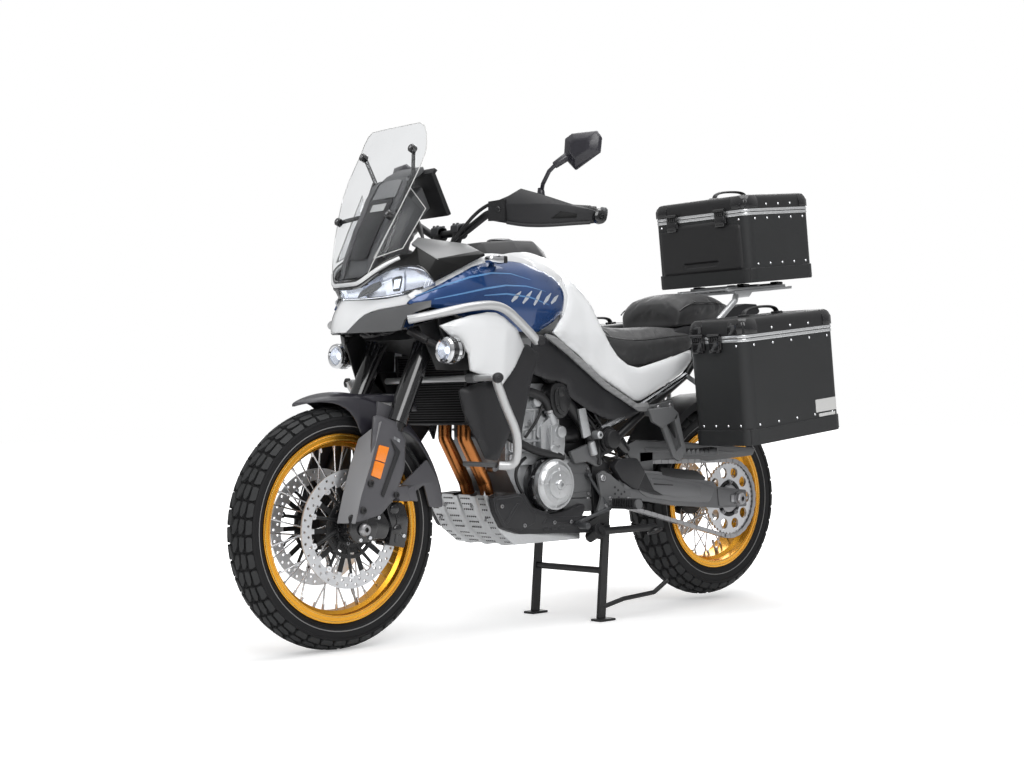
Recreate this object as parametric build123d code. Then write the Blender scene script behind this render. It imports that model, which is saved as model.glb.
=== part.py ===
"""Adventure touring motorcycle with hard luggage, parked on its centre stand.

Millimetres. +X forward, +Y to the rider's left, +Z up. The origin is on the floor, under the
middle of the bounding box. The rear wheel is held just off the floor by the centre stand.
"""
from build123d import *
from math import acos, atan2, cos, radians, sin, sqrt
from typing import NamedTuple
import os

os.makedirs("parts", exist_ok=True)

# ---------------------------------------------------------------- driving dimensions
HALF_LENGTH = 1118.0       # front tyre to the luggage's rear end, halved
WHEELBASE = 1531.0
RAKE = 26.0                # steering axis from vertical, degrees
TRAIL = 106.0
REAR_LIFT = 15.0           # rear tyre's height above the floor on the centre stand
SPOKE_COUNT = 36
RUNNING = 0.05             # radial clearance of an axle in its hub
FRONT_AXLE_BORE_R = 6.0
REAR_AXLE_BORE_R = 8.0


class Wheel(NamedTuple):
    """One wheel's sizes. Radii from the axle, widths across."""
    tyre_r: float
    tyre_w: float
    bead_r: float
    rim_w: float
    hub_r: float
    hub_w: float
    flange_r: float
    axle_r: float


FRONT = Wheel(tyre_r=329, tyre_w=110, bead_r=241.3, rim_w=76, hub_r=27, hub_w=133, flange_r=46,
              axle_r=10)
REAR = Wheel(tyre_r=321, tyre_w=150, bead_r=215.9, rim_w=120, hub_r=36, hub_w=150, flange_r=58,
             axle_r=12.5)

FRONT_X = HALF_LENGTH - FRONT.tyre_r
REAR_X = FRONT_X - WHEELBASE
FRONT_Z = FRONT.tyre_r
REAR_Z = REAR.tyre_r + REAR_LIFT
AXIS_FOOT_X = FRONT_X + TRAIL                      # where the steering axis meets the floor
STEER = Location((AXIS_FOOT_X, 0, 0), (0, -RAKE, 0))
# front axle in the steering frame, whose Z runs up the steering axis
AXLE_LX = -TRAIL * cos(radians(RAKE)) + FRONT_Z * sin(radians(RAKE))
AXLE_LZ = TRAIL * sin(radians(RAKE)) + FRONT_Z * cos(radians(RAKE))
FORK_Y = 107.0             # fork leg's centre from the middle
FORK_LX = AXLE_LX

HALVES = (1, -1)           # left, right


# ---------------------------------------------------------------- helpers
def outline(points, corner=0.0):
    """A closed flat face from its corner points, with every corner rounded by the same radius."""
    face = make_face(Polyline(*points, close=True))
    return fillet(face.vertices(), corner) if corner else face


def side_slab(points, y0, y1, corner=0.0):
    """An (x, z) outline as a slab between two widths."""
    face = Plane.XZ * outline(points, corner)
    return Pos(0, y0, 0) * extrude(face, amount=y1 - y0, dir=(0, 1, 0))


def plan_slab(points, z0, z1, corner=0.0):
    """An (x, y) outline as a slab between two heights."""
    return Pos(0, 0, z0) * extrude(outline(points, corner), amount=z1 - z0, dir=(0, 0, 1))


def front_slab(points, x0, x1, corner=0.0):
    """A (y, z) outline as a slab between two lengths."""
    face = Plane.YZ * outline(points, corner)
    return Pos(x0, 0, 0) * extrude(face, amount=x1 - x0, dir=(1, 0, 0))


def both_sides(half):
    """The outline of a shape that is alike left and right, from its +y half, front to rear."""
    return [*half, *[(a, -b) for a, b in reversed(half)]]


def mirrored(shape):
    """The same shape on the other side of the middle plane."""
    return mirror(shape, about=Plane.XZ)


def pair(shape):
    """A shape and its mirror image."""
    return [shape, mirrored(shape)]


def rod(start, end, diameter):
    """A straight round bar between two points."""
    line = Line(start, end)
    plane = Plane(origin=start, z_dir=line % 0)
    return plane * extrude(Circle(diameter / 2), amount=line.length)


def tube(points, bend, diameter):
    """A round bar along straight runs joined by arcs."""
    path = FilletPolyline(*points, radius=bend)
    plane = Plane(origin=path @ 0, z_dir=path % 0)
    return sweep(plane * Circle(diameter / 2), path=path)


def disc_y(x, z, radius, y0, y1):
    """A round plate or bar whose axis runs across the machine."""
    face = Plane.XZ * (Pos(x, z) * Circle(radius))
    return Pos(0, y0, 0) * extrude(face, amount=y1 - y0, dir=(0, 1, 0))


def block(x0, x1, y0, y1, z0, z1):
    """A plain block between two corners."""
    return Pos((x0 + x1) / 2, (y0 + y1) / 2, (z0 + z1) / 2) * Box(x1 - x0, y1 - y0, z1 - z0)


def at_axle(shape, x, z):
    """A wheel piece, made round the origin, moved to its axle."""
    return Pos(x, 0, z) * shape


def save(name, *shapes):
    """One node's solids, written to its STEP file."""
    solids = [solid for shape in shapes for solid in shape.solids()]
    export_step(solids[0] if len(solids) == 1 else Compound(children=solids), f"parts/{name}.step")


# ---------------------------------------------------------------- wheels
def tyre(wheel):
    """A hollow tyre: crown, shoulders and side walls down to the rim's bead seats."""
    wall = 10
    bead_y = wheel.rim_w / 2 - 5
    shoulder = (0.43 * wheel.tyre_w, wheel.tyre_r - 0.13 * wheel.tyre_w)
    widest = (wheel.tyre_w / 2, wheel.tyre_r - 0.40 * wheel.tyre_w)
    neck = (bead_y - 0.3, wheel.bead_r + 17)
    low = (bead_y - 0.3, wheel.bead_r + 0.3)
    inner_shoulder = (shoulder[0] - wall, shoulder[1] - wall)
    inner_widest = (widest[0] - wall, widest[1])
    inner_neck = (neck[0] - wall, neck[1] + 3)
    inner_low = (low[0] - wall, low[1])

    def flip(point):
        return (-point[0], point[1])

    edges = [ThreePointArc(shoulder, (0, wheel.tyre_r), flip(shoulder)),
             ThreePointArc(inner_shoulder, (0, wheel.tyre_r - wall), flip(inner_shoulder))]
    side = [shoulder, widest, neck, low, inner_low, inner_neck, inner_widest, inner_shoulder]
    for start, end in zip(side, side[1:]):
        edges += [Line(start, end), Line(flip(start), flip(end))]
    return revolve(Plane.YZ * make_face(edges), Axis.Y, 360)


def rim(wheel):
    """A spoked wheel's rim: flanges, bead seats and a deep well."""
    edge = wheel.rim_w / 2
    half = [(edge, wheel.bead_r + 14), (edge - 5, wheel.bead_r + 14), (edge - 5, wheel.bead_r),
            (edge * 0.55, wheel.bead_r - 2), (edge * 0.4, wheel.bead_r - 12)]
    under = [(edge * 0.46, wheel.bead_r - 19), (edge * 0.62, wheel.bead_r - 9),
             (edge, wheel.bead_r - 7)]
    section = [*half, *[(-y, r) for y, r in reversed(half)], *[(-y, r) for y, r in reversed(under)],
               *under]
    return revolve(Plane.YZ * outline(section), Axis.Y, 360)


def spoked_hub(wheel, spoke_d=4.5):
    """The hub barrel with its flanges and crossed spokes, bored for the axle."""
    flange_y = wheel.hub_w / 2 - 24
    end_y = wheel.hub_w / 2
    profile = [(0, wheel.hub_r), (flange_y - 5, wheel.hub_r + 2), (flange_y - 3, wheel.flange_r),
               (flange_y + 3, wheel.flange_r), (flange_y + 5, wheel.hub_r + 8),
               (end_y, wheel.hub_r + 8)]
    section = [*[(-y, r) for y, r in reversed(profile)], *profile[1:], (end_y, wheel.axle_r),
               (-end_y, wheel.axle_r)]
    hub = revolve(Plane.YZ * outline(section), Axis.Y, 360)
    rim_inner = wheel.bead_r - 16
    sweep_angle = 30
    spokes = []
    for i in range(SPOKE_COUNT):
        side = 1 if i % 2 else -1
        lean = sweep_angle if (i // 2) % 2 else -sweep_angle
        a_rim = 360 / SPOKE_COUNT * i
        a_hub = a_rim + lean
        foot = (wheel.flange_r - 4, side * flange_y, a_hub)
        tip = (rim_inner, side * 5, a_rim)
        ends = [(r * cos(radians(a)), y, r * sin(radians(a))) for r, y, a in (foot, tip)]
        spokes.append(rod(ends[0], ends[1], spoke_d))
    return hub + spokes


def brake_disc(outer_r, inner_r, carrier_r, thickness, arms, holes, hole_r):
    """A drilled disc on a star carrier, its axis along Y and centred on the origin."""
    ring = Circle(outer_r) - Circle(inner_r)
    drilled = [PolarLocations(outer_r - (outer_r - inner_r) * f, holes, start_angle=turn * 180 / holes)
               for f, turn in ((0.3, 0), (0.7, 1))]
    for places in drilled:
        ring -= places * Circle(hole_r)
    arm = Pos((inner_r + carrier_r) / 2, 0) * Rectangle(inner_r - carrier_r + 10, 13)
    star = Circle(carrier_r + 2) - Circle(carrier_r - 14)
    star += PolarLocations(0, arms) * arm
    face = Plane.XZ * (ring + star)
    return Pos(0, thickness / 2, 0) * extrude(face, amount=thickness)


def sprocket(pitch_r, teeth, bore_r, thickness):
    """The final drive sprocket: a toothed ring with pockets, round the hub."""
    tooth = Pos(pitch_r, 0) * Circle(4.2)
    plate = Circle(pitch_r) - PolarLocations(0, teeth) * tooth
    plate -= Circle(bore_r)
    plate -= PolarLocations((pitch_r + bore_r) / 2 + 4, 10) * Circle((pitch_r - bore_r) * 0.26)
    face = Plane.XZ * plate
    return Pos(0, thickness / 2, 0) * extrude(face, amount=thickness)


FRONT_DISC_Y = 70.0
SPROCKET_Y = 112.0
SPROCKET_R = 117.0
REAR_DISC_Y = -92.0


def build_wheels():
    """Tyres, rims, hubs, discs and the sprocket."""
    for name, wheel, x, z in (("front", FRONT, FRONT_X, FRONT_Z), ("rear", REAR, REAR_X, REAR_Z)):
        save(f"{name}_tyre", at_axle(tyre(wheel), x, z))
        save(f"{name}_rim", at_axle(rim(wheel), x, z))
        save(f"{name}_hub_spokes", at_axle(spoked_hub(wheel), x, z))
    disc = brake_disc(outer_r=160, inner_r=128, carrier_r=62, thickness=5, arms=10, holes=30, hole_r=4)
    seat = disc_y(0, 0, 48, FRONT.hub_w / 2, FRONT_DISC_Y + 2.5) - disc_y(0, 0, 20, 0, 90)
    left = Pos(0, FRONT_DISC_Y, 0) * disc + seat
    save("front_discs", *[at_axle(half, FRONT_X, FRONT_Z) for half in pair(left)])
    carrier = disc_y(0, 0, 62, REAR.hub_w / 2, SPROCKET_Y - 4) - disc_y(0, 0, 22, 0, 150)
    gear = Pos(0, SPROCKET_Y, 0) * sprocket(pitch_r=SPROCKET_R, teeth=44, bore_r=50, thickness=8)
    rear = brake_disc(outer_r=130, inner_r=98, carrier_r=58, thickness=5, arms=8, holes=24, hole_r=4)
    rear_seat = disc_y(0, 0, 46, REAR_DISC_Y - 2.5, -REAR.hub_w / 2) - disc_y(0, 0, 22, -150, 0)
    rear_plate = Pos(0, REAR_DISC_Y, 0) * rear + rear_seat
    save("rear_sprocket_and_disc", *[at_axle(piece, REAR_X, REAR_Z) for piece in (gear + carrier,
                                                                                  rear_plate)])


# ---------------------------------------------------------------- front end that steers
CLAMP_LOW_LZ = 900.0
CLAMP_TOP_LZ = 1105.0
UPPER_TUBE_R = 27.0
SLIDER_R = 21.5
FORK_OVERLAP_LZ = 655.0
FORK_TOP_LZ = 1131.0
STEM_R = 15.0


def clamp_plate(lz, height, front):
    """One fork clamp in the steering frame: a plate through both legs, bored for them."""
    half = [(front, 60), (FORK_LX + 36, FORK_Y + 20), (FORK_LX + 10, FORK_Y + 40),
            (FORK_LX - 24, FORK_Y + 36),
            (FORK_LX - 38, FORK_Y - 10), (-34, 30)]
    plate = plan_slab(both_sides(half), lz, lz + height, corner=8)
    for side in HALVES:
        plate -= Pos(FORK_LX, side * FORK_Y, lz) * Cylinder(UPPER_TUBE_R + 0.02, 200)
    return plate


def build_fork():
    """Clamps with the stem, upper tubes, sliders with axle feet, axle, callipers and fork guards."""
    low = clamp_plate(CLAMP_LOW_LZ, 32, FORK_LX + 24)
    top = clamp_plate(CLAMP_TOP_LZ, 20, FORK_LX + 24)
    stem = Pos(0, 0, (CLAMP_LOW_LZ + CLAMP_TOP_LZ) / 2 + 10) * Cylinder(STEM_R,
                                                                        CLAMP_TOP_LZ - CLAMP_LOW_LZ + 10)
    save("fork_clamps", STEER * (low + top + stem))
    uppers, lowers = [], []
    for side in HALVES:
        length = FORK_TOP_LZ - FORK_OVERLAP_LZ
        upper = Pos(FORK_LX, side * FORK_Y, FORK_OVERLAP_LZ + length / 2) * Cylinder(UPPER_TUBE_R,
                                                                                     length)
        bore_depth = 130
        upper -= Pos(FORK_LX, side * FORK_Y,
                     FORK_OVERLAP_LZ + bore_depth / 2) * Cylinder(SLIDER_R + 0.1, bore_depth)
        uppers.append(STEER * upper)
        slider_top = FORK_OVERLAP_LZ + bore_depth - 20
        slider = Pos(FORK_LX, side * FORK_Y, (AXLE_LZ + slider_top) / 2) * Cylinder(SLIDER_R,
                                                                                    slider_top - AXLE_LZ)
        foot = Pos(FORK_LX + 4, side * FORK_Y, AXLE_LZ + 12) * Box(62, 40, 84)
        lug = Pos(FORK_LX - 36, side * (FORK_Y - 14), AXLE_LZ + 72) * Box(44, 12, 150)
        leg = slider + foot + lug
        leg -= Pos(AXLE_LX, side * FORK_Y, AXLE_LZ) * Rot(90, 0, 0) * Cylinder(FRONT.axle_r, 60)
        lowers.append(STEER * leg)
    save("fork_tubes", *uppers)
    save("fork_sliders", *lowers)
    axle = disc_y(0, 0, FRONT.axle_r - RUNNING, -FORK_Y - 26, FORK_Y + 26)
    spacer_gap = 1.0
    for side in HALVES:
        inner, outer = FRONT.hub_w / 2 + 10 + spacer_gap, FORK_Y - 22
        axle += disc_y(0, 0, 17, min(side * inner, side * outer), max(side * inner, side * outer))
    save("front_axle", at_axle(axle - disc_y(0, 0, FRONT_AXLE_BORE_R, -200, 200), FRONT_X, FRONT_Z))


FRONT_CALLIPER_ARC = 46.0  # degrees of the disc's edge that one calliper covers


def calliper(disc_y_mid, radius, arc, start, depth=30, slot=7.8):
    """A brake calliper: a short arc of body straddling the disc, open towards the axle."""
    width = 26
    outer = radius + depth
    body = Plane.XZ * (Pos(0, 0) * (Circle(outer) - Circle(radius - depth)))
    body = Pos(0, disc_y_mid + width, 0) * extrude(body, amount=2 * width)
    reach = outer * 2
    wedge = [(0, 0), (reach * cos(radians(start)), reach * sin(radians(start))),
             (reach * cos(radians(start + arc)), reach * sin(radians(start + arc)))]
    body &= side_slab(wedge, disc_y_mid - width, disc_y_mid + width)
    gap = disc_y(0, 0, radius + 27, disc_y_mid - slot, disc_y_mid + slot)
    return body - gap


def build_front_callipers():
    """Radial callipers behind the fork legs."""
    left = calliper(FRONT_DISC_Y, 139, FRONT_CALLIPER_ARC, start=148)
    save("front_callipers", *[at_axle(half, FRONT_X, FRONT_Z) for half in pair(left)])


def build_front_mudguard():
    """Long pointed guard over the tyre, with a flap behind it, carried by the fork legs."""
    inner_r, outer_r, half_w = 349, 356, 74
    section = [(-half_w, inner_r - 42), (-half_w + 6, inner_r - 42), (-half_w + 6, inner_r - 8),
               (-half_w + 26, inner_r),
               (half_w - 26, inner_r), (half_w - 6, inner_r - 8), (half_w - 6, inner_r - 42),
               (half_w, inner_r - 42),
               (half_w, inner_r + 2), (30, outer_r + 12), (0, outer_r + 18), (-30, outer_r + 12),
               (-half_w, inner_r + 2)]
    front_angle, rear_angle = 24, 36
    shell = revolve(Plane.YZ * outline(section), Axis.Y, front_angle + rear_angle)
    shell = at_axle(Rot(0, -rear_angle, 0) * shell, FRONT_X, FRONT_Z)
    tip = [(FRONT_X + 140, 8), (FRONT_X + 95, 44), (FRONT_X + 20, 80), (FRONT_X - 300, 80)]
    shell &= plan_slab(both_sides(tip), 0, 1000)
    flap_in, flap_out, flap_w = 345, 350, 62
    flap_section = [(-flap_w, flap_in - 14), (-flap_w + 5, flap_in - 14), (-flap_w + 5, flap_in - 4),
                    (-flap_w + 16, flap_in),
                    (flap_w - 16, flap_in), (flap_w - 5, flap_in - 4), (flap_w - 5, flap_in - 14),
                    (flap_w, flap_in - 14),
                    (flap_w, flap_out), (-flap_w, flap_out)]
    flap = revolve(Plane.YZ * outline(flap_section), Axis.Y, 48)
    flap = at_axle(Rot(0, -rear_angle - 46, 0) * flap, FRONT_X, FRONT_Z)
    arms = []
    for side in HALVES:
        arms.append(side_slab([(650, 655), (700, 670), (715, 560), (670, 560)],
                              *sorted((side * 72, side * 79.5))))
        arms.append(side_slab([(663, 592), (704, 592), (715, 560), (670, 560)],
                              *sorted((side * 72, side * 85.4))))
        arms.append(side_slab([(660, 470), (640, 420), (478, 486), (484, 506)],
                              *sorted((side * 62, side * 67))))
        arms.append(side_slab([(660, 470), (640, 420), (628, 440), (640, 480)],
                              *sorted((side * 62, side * 84))))
    save("front_mudguard", shell + flap + arms)


def build_fork_guards():
    """Moulded guards wrapped round the front and outside of each slider."""
    face = [(727, 624), (658, 612), (626, 562), (628, 535), (664, 455), (697, 410), (800, 356),
            (846, 356),
            (796, 567), (745, 640)]
    inner = [(700, 700), (655, 625), (600, 562), (604, 535), (646, 455), (690, 340), (836, 345),
             (780, 565), (727, 650)]
    shell = side_slab(face, 84, 136, corner=6) - side_slab(inner, 60, 130)
    save("fork_guards", *pair(shell))


BAR_D = 22.0
BAR_X, BAR_Z = 360.0, 1152.0
RISER_LX = (BAR_X - AXIS_FOOT_X) * cos(radians(RAKE)) + BAR_Z * sin(radians(RAKE))
BAR_LZ = -(BAR_X - AXIS_FOOT_X) * sin(radians(RAKE)) + BAR_Z * cos(radians(RAKE))
BAR_PATH = [(BAR_X, 70, BAR_Z), (352, 160, 1196), (292, 250, 1206), (168, 425, 1186)]


def build_handlebar():
    """Wide bar in two risers, with grips and bar ends, controls, hand guards and mirrors."""
    points = [*[(x, -y, z) for x, y, z in reversed(BAR_PATH)], *BAR_PATH]
    bar = tube(points, 40, BAR_D)
    clamp_top = CLAMP_TOP_LZ + 20
    for side in HALVES:
        bar += STEER * Pos(RISER_LX, side * 44, (clamp_top + BAR_LZ) / 2) * Cylinder(15,
                                                                                     BAR_LZ - clamp_top)
        bar += disc_y(BAR_X, BAR_Z, 20, *sorted((side * 28, side * 60)))
        near, far = Vector(*mirror_point(BAR_PATH[-2], side)), Vector(*mirror_point(BAR_PATH[-1], side))
        along = (far - near).normalized()
        bar += rod(tuple(near + along * 66), tuple(far - along * 14), 34)
    save("handlebar", bar)


def mirror_point(point, side):
    """A point on the given side of the middle plane."""
    return (point[0], side * point[1], point[2])


# the left hand guard's outline from above, its outer face first
GUARD_PLAN = [(184, 432), (208, 438), (308, 368), (372, 282), (384, 238), (372, 234), (360, 276),
              (296, 356), (204, 424)]


def build_bar_fittings():
    """Levers and switch blocks, hand guards, and mirrors on their stalks."""
    controls = []
    guards = []
    mirrors = []
    for side in HALVES:
        near, far = Vector(*mirror_point(BAR_PATH[-2], side)), Vector(*mirror_point(BAR_PATH[-1], side))
        along = (far - near).normalized()
        hub = near + along * 56
        collar = Plane(origin=tuple(hub), z_dir=tuple(along))
        body = collar * Pos(0, 0, -18) * Cylinder(24, 44)
        ahead = Vector(abs(along.Y), side * abs(along.X), 0)
        lever_start = hub + ahead * 42 - Vector(0, 0, 8)
        lever_end = far - along * 70 + ahead * 34
        body += rod(tuple(hub + ahead * 16 - Vector(0, 0, 4)), tuple(lever_start), 20)
        body += rod(tuple(lever_start), tuple(lever_end), 12)
        stalk_foot = hub + Vector(-4, -side * 4, 18)
        body += rod(tuple(stalk_foot), tuple(stalk_foot + Vector(0, 0, 14)), 18)
        controls.append(body - collar * Cylinder(BAR_D / 2 + 0.02, 140))
        plan = [(x, side * y) for x, y in GUARD_PLAN]
        shell = plan_slab(plan, 1158, 1250)
        side_cut = front_slab([(side * 225, 1176), (side * 225, 1230), (side * 285, 1250),
                               (side * 330, 1240),
                               (side * 440, 1206), (side * 440, 1160), (side * 300, 1158)], 100, 420)
        guard = (shell & side_cut) + rod((376, side * 246, 1204), (319, side * 240, 1204), 16)
        guards.append(guard)
        head = Pos(206, side * 400, 1362) * Rot(0, -8, side * 8)
        glass = head * extrude(Plane.YZ * fillet(Trapezoid(132, 96, 76).vertices(), 16), amount=30,
                               dir=(1, 0, 0))
        top = stalk_foot + Vector(0, 0, 17)
        stalk = tube([tuple(top), tuple(top + Vector(-10, side * 14, 40)), (214, side * 372, 1352)], 20,
                     12)
        mirrors.append(glass + stalk)
    save("hand_controls", *controls)
    save("hand_guards", *guards)
    save("mirrors", *mirrors)


def build_steering():
    """Everything that turns with the handlebar."""
    build_fork()
    build_front_callipers()
    build_front_mudguard()
    build_fork_guards()
    build_handlebar()
    build_bar_fittings()


# ---------------------------------------------------------------- chassis
PIVOT_X, PIVOT_Z = -118.0, 430.0       # swingarm pivot
STAND_X, STAND_Z = -122.0, 276.0       # centre stand pivot
FOOT_X = -97.0                         # centre stand's feet, ahead of its pivot
SIDE_STAND = Vector(-63, 174, 272)     # side stand pivot, on a pin that leans outwards
SIDE_AXIS = Vector(0, 0.9005, 0.4348)
SIDE_PIN_R = 6.0
HEAD_R = 27.0


def along_axis(point, start, end, radius):
    """A round bar along the side stand's leaning pin, between two distances from a point."""
    return rod(tuple(point + SIDE_AXIS * start), tuple(point + SIDE_AXIS * end), 2 * radius)


def build_frame():
    """Steering head, side beams, pivot plates and the rear subframe, welded into one."""
    head_length = CLAMP_TOP_LZ - CLAMP_LOW_LZ - 32 - 10
    barrel = Cylinder(HEAD_R, head_length) - Cylinder(STEM_R + RUNNING, head_length)
    head = Pos(0, 0, CLAMP_LOW_LZ + 37 + head_length / 2) * barrel
    frame = STEER * head
    for side in HALVES:
        beam = [(430, side * 18, 935), (380, side * 62, 888), (150, side * 128, 790),
                (-70, side * 128, 570), (-100, side * 128, 494)]
        frame += tube(beam, 30, 34)
        down = [(456, side * 16, 890), (392, side * 62, 820), (322, side * 128, 730),
                (268, side * 134, 560)]
        frame += tube(down, 30, 28)
        plate = side_slab([(-150, 470), (-84, 500), (-76, 420), (-84, 330), (-96, 258), (-146, 258),
                           (-154, 340)],
                          *sorted((side * 120, side * 135)), corner=8)
        frame += plate
        seat_rail = [(60, side * 120, 730), (-240, side * 120, 738), (-480, side * 120, 782),
                     (-800, side * 100, 896)]
        frame += tube(seat_rail, 60, 24)
        stay = [(-96, side * 134, 490), (-286, side * 134, 610), (-520, side * 128, 740),
                (-640, side * 110, 850)]
        frame += tube(stay, 60, 24)
    for x, z, reach in ((-480, 782, 120), (-780, 889, 101)):
        frame += rod((x, -reach, z), (x, reach, z), 22)
    frame -= STEER * Pos(0, 0, 1000) * Cylinder(STEM_R + RUNNING, 400)
    for side in HALVES:
        frame -= disc_y(STAND_X, STAND_Z, 10.05, *sorted((side * 110, side * 140)))
    frame += along_axis(SIDE_STAND, -46, -8.5, 16) + along_axis(SIDE_STAND, -12, 12, SIDE_PIN_R)
    frame += along_axis(SIDE_STAND, 8.5, 13, 10)
    frame += side_slab([(-96, 320), (-54, 300), (-54, 244), (-96, 270)], 128, 146)
    save("frame", frame)


def build_engine():
    """Crankcase with inclined cylinders as one plain mass, and the covers bolted to it."""
    case = side_slab([(-78, 470), (-78, 346), (40, 322), (205, 318), (215, 400), (256, 470), (240, 500),
                      (60, 520)], -112, 112, corner=10)
    cylinders = side_slab([(110, 480), (256, 470), (256, 640), (236, 716), (96, 716), (92, 600)], -112,
                          112, corner=10)
    save("engine_block", case + cylinders)
    left = [
        disc_y(107, 420, 74, 112.2, 168) + disc_y(107, 420, 45, 168, 178),
        side_slab([(24, 473), (-11, 492), (-72, 469), (-74, 385), (13, 383), (22, 400)], 112.2, 119.5,
                  corner=6),
    ]
    right = [disc_y(80, 410, 98, -160, -112.2) + disc_y(80, 410, 60, -170, -160)]
    pump = side_slab([(66, 610), (100, 620), (140, 590), (140, 520), (66, 520)], 112.2, 142, corner=8)
    save("engine_covers", *left, *right, pump)
    rear_side = [(340, 394), (224, 399), (196, 360), (120, 336), (75, 313), (-50, 320), (-50, 268),
                 (238, 282), (296, 300), (330, 352)]
    cover = side_slab(rear_side, 128, 148, corner=8)
    save("lower_engine_covers", cover - disc_y(107, 420, 80, 100, 200),
         mirrored(cover) - disc_y(80, 410, 103, -200, -100))


def build_exhaust():
    """Two header pipes down in front of the engine, under it, and up into the silencer."""
    mouth, tail = Vector(-372, -204, 398), Vector(-742, -204, 458)
    along = (tail - mouth).normalized()
    collector = tube([(60, -30, 288), (-50, -42, 292), (-122, -62, 325), (-190, -90, 331),
                      tuple(mouth - along * 50), tuple(mouth)], 28, 46)
    pipes = collector
    for y in (42, -42):
        path = [(259, y, 640), (350, y, 628), (352, y, 560), (276, y, 430), (246, y, 330),
                (220, y, 292), (150, y * 0.9, 288),
                (40, -30 + y * 0.5, 289)]
        pipes += tube(path, 22, 40)
    save("exhaust_pipes", pipes)
    save("silencer", rod(tuple(mouth), tuple(tail), 104))


def build_skid_plate():
    """Folded sheet guard under the engine, with its nose turned up and sides bent up."""
    thickness = 5
    line = [(352, 398), (330, 345), (296, 292), (238, 250), (-30, 250)]
    inner = [(x + dx, z + dz) for (x, z), (dx, dz) in zip(line,
                                                          ((-5, 2), (-5, 3), (-4, 4), (-2, 5), (0, 5)))]
    sheet = side_slab([*line, *reversed(inner)], -126, 126)
    side = [(352, 398), (330, 345), (296, 292), (238, 250), (-30, 250), (-30, 266), (238, 280),
            (290, 302), (318, 352), (340, 398)]
    flange = side_slab(side, 121, 126)
    save("skid_plate", sheet + pair(flange))


RADIATOR = dict(x0=396.0, x1=434.0, half=165.0, z0=598.0, z1=802.0)


def build_radiator():
    """Finned core between two tanks."""
    r = RADIATOR
    core = block(r["x0"], r["x1"] - 6, -r["half"] + 14, r["half"] - 14, r["z0"] + 6, r["z1"] - 6)
    fins = [block(r["x1"] - 6, r["x1"], -r["half"] + 14, r["half"] - 14, z, z + 4) for z in range(610,
                                                                                                  794,
                                                                                                  12)]
    tanks = [block(r["x0"] - 4, r["x1"], *sorted((s * (r["half"] - 14), s * r["half"])), r["z0"],
                   r["z1"]) for s in HALVES]
    stays = [block(366, r["x0"], *sorted((s * 40, s * 60)), 760, 780) for s in HALVES]
    save("radiator", core + fins + tanks + stays)


def build_cowls():
    """White cowls beside the radiator and the dark panels below and behind them."""
    cowl = side_slab([(596, 869), (406, 908), (376, 896), (278, 819), (372, 720), (417, 740),
                      (483, 745), (500, 805)],
                     150, 262, corner=8)
    plan = [(620, 214), (600, 240), (480, 258), (360, 250), (270, 205), (270, 196), (360, 238),
            (480, 246), (590, 226), (600, 205)]
    save("radiator_cowls", *pair(cowl & plan_slab(plan, 700, 920)))
    low = side_slab([(480, 700), (376, 719), (290, 596), (361, 500), (406, 507), (470, 640)], 170, 215,
                    corner=8)
    low &= plan_slab([(500, 176), (420, 205), (280, 196), (280, 184), (420, 190), (495, 170)], 400, 800)
    high = side_slab([(328, 730), (276, 790), (220, 810), (205, 800), (228, 724), (271, 553),
                      (300, 610), (372, 715)], 170, 195, corner=5)
    save("radiator_side_panels", *pair(low),
         *pair(high - plan_slab([(500, 176), (420, 205), (280, 196), (280, 150)], 400, 800)))


def build_tank():
    """Fuel tank from its side, plan and front outlines, with a filler console on top."""
    side = [(344, 1060), (330, 1095), (298, 1122), (200, 1132), (144, 1136), (85, 1115), (24, 1097),
            (-26, 1066),
            (-90, 1017), (-145, 958), (-163, 914), (-92, 910), (-60, 852), (60, 850), (240, 860),
            (360, 930)]
    plan = [(344, 70), (300, 158), (200, 180), (90, 156), (0, 134), (-90, 106), (-165, 78)]
    front = [(0, 1145), (62, 1138), (120, 1098), (165, 1040), (190, 960), (190, 880), (150, 845),
             (0, 845)]
    tank = side_slab(side, -200, 200, corner=6) & plan_slab(both_sides(plan), 800, 1200, corner=6)
    tank &= front_slab([*front[:-1], *[(-y, z) for y, z in reversed(front[1:-1])]], -400, 500, corner=6)
    hollow = [(x, z) for x, z in ((330, 930), (235, 870), (60, 840), (60, 800), (420, 800), (420, 930))]
    tank -= side_slab(hollow, -146, 146)
    save("fuel_tank", tank)
    console = plan_slab([(290, 50), (230, 62), (70, 56), (60, 40), (60, -40), (70, -56), (230, -62),
                         (290, -50)], 1100, 1170)
    console &= side_slab([(290, 1140), (230, 1158), (110, 1165), (60, 1150), (60, 1100), (290, 1100)],
                         -80, 80)
    save("tank_console", console - tank)


WING_PLAN = [(660, 196), (560, 222), (420, 230), (220, 212), (50, 168)]


def plan_strip(line, thickness):
    """The plan outline of a wall whose outside follows a line of (x, y) points."""
    return [*line, *[(x, y - thickness) for x, y in reversed(line)]]


def tank_wing():
    """The left blue wing that runs from the headlight back along the tank."""
    side = [(671, 933), (609, 971), (536, 1001), (424, 1042), (345, 1058), (215, 1042), (110, 1026),
            (71, 1004), (51, 969),
            (60, 925), (150, 870), (200, 868), (350, 912), (388, 936), (575, 933)]
    wing = side_slab(side, 100, 240, corner=5) & plan_slab(plan_strip(WING_PLAN, 14), 800, 1100)
    return wing


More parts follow.
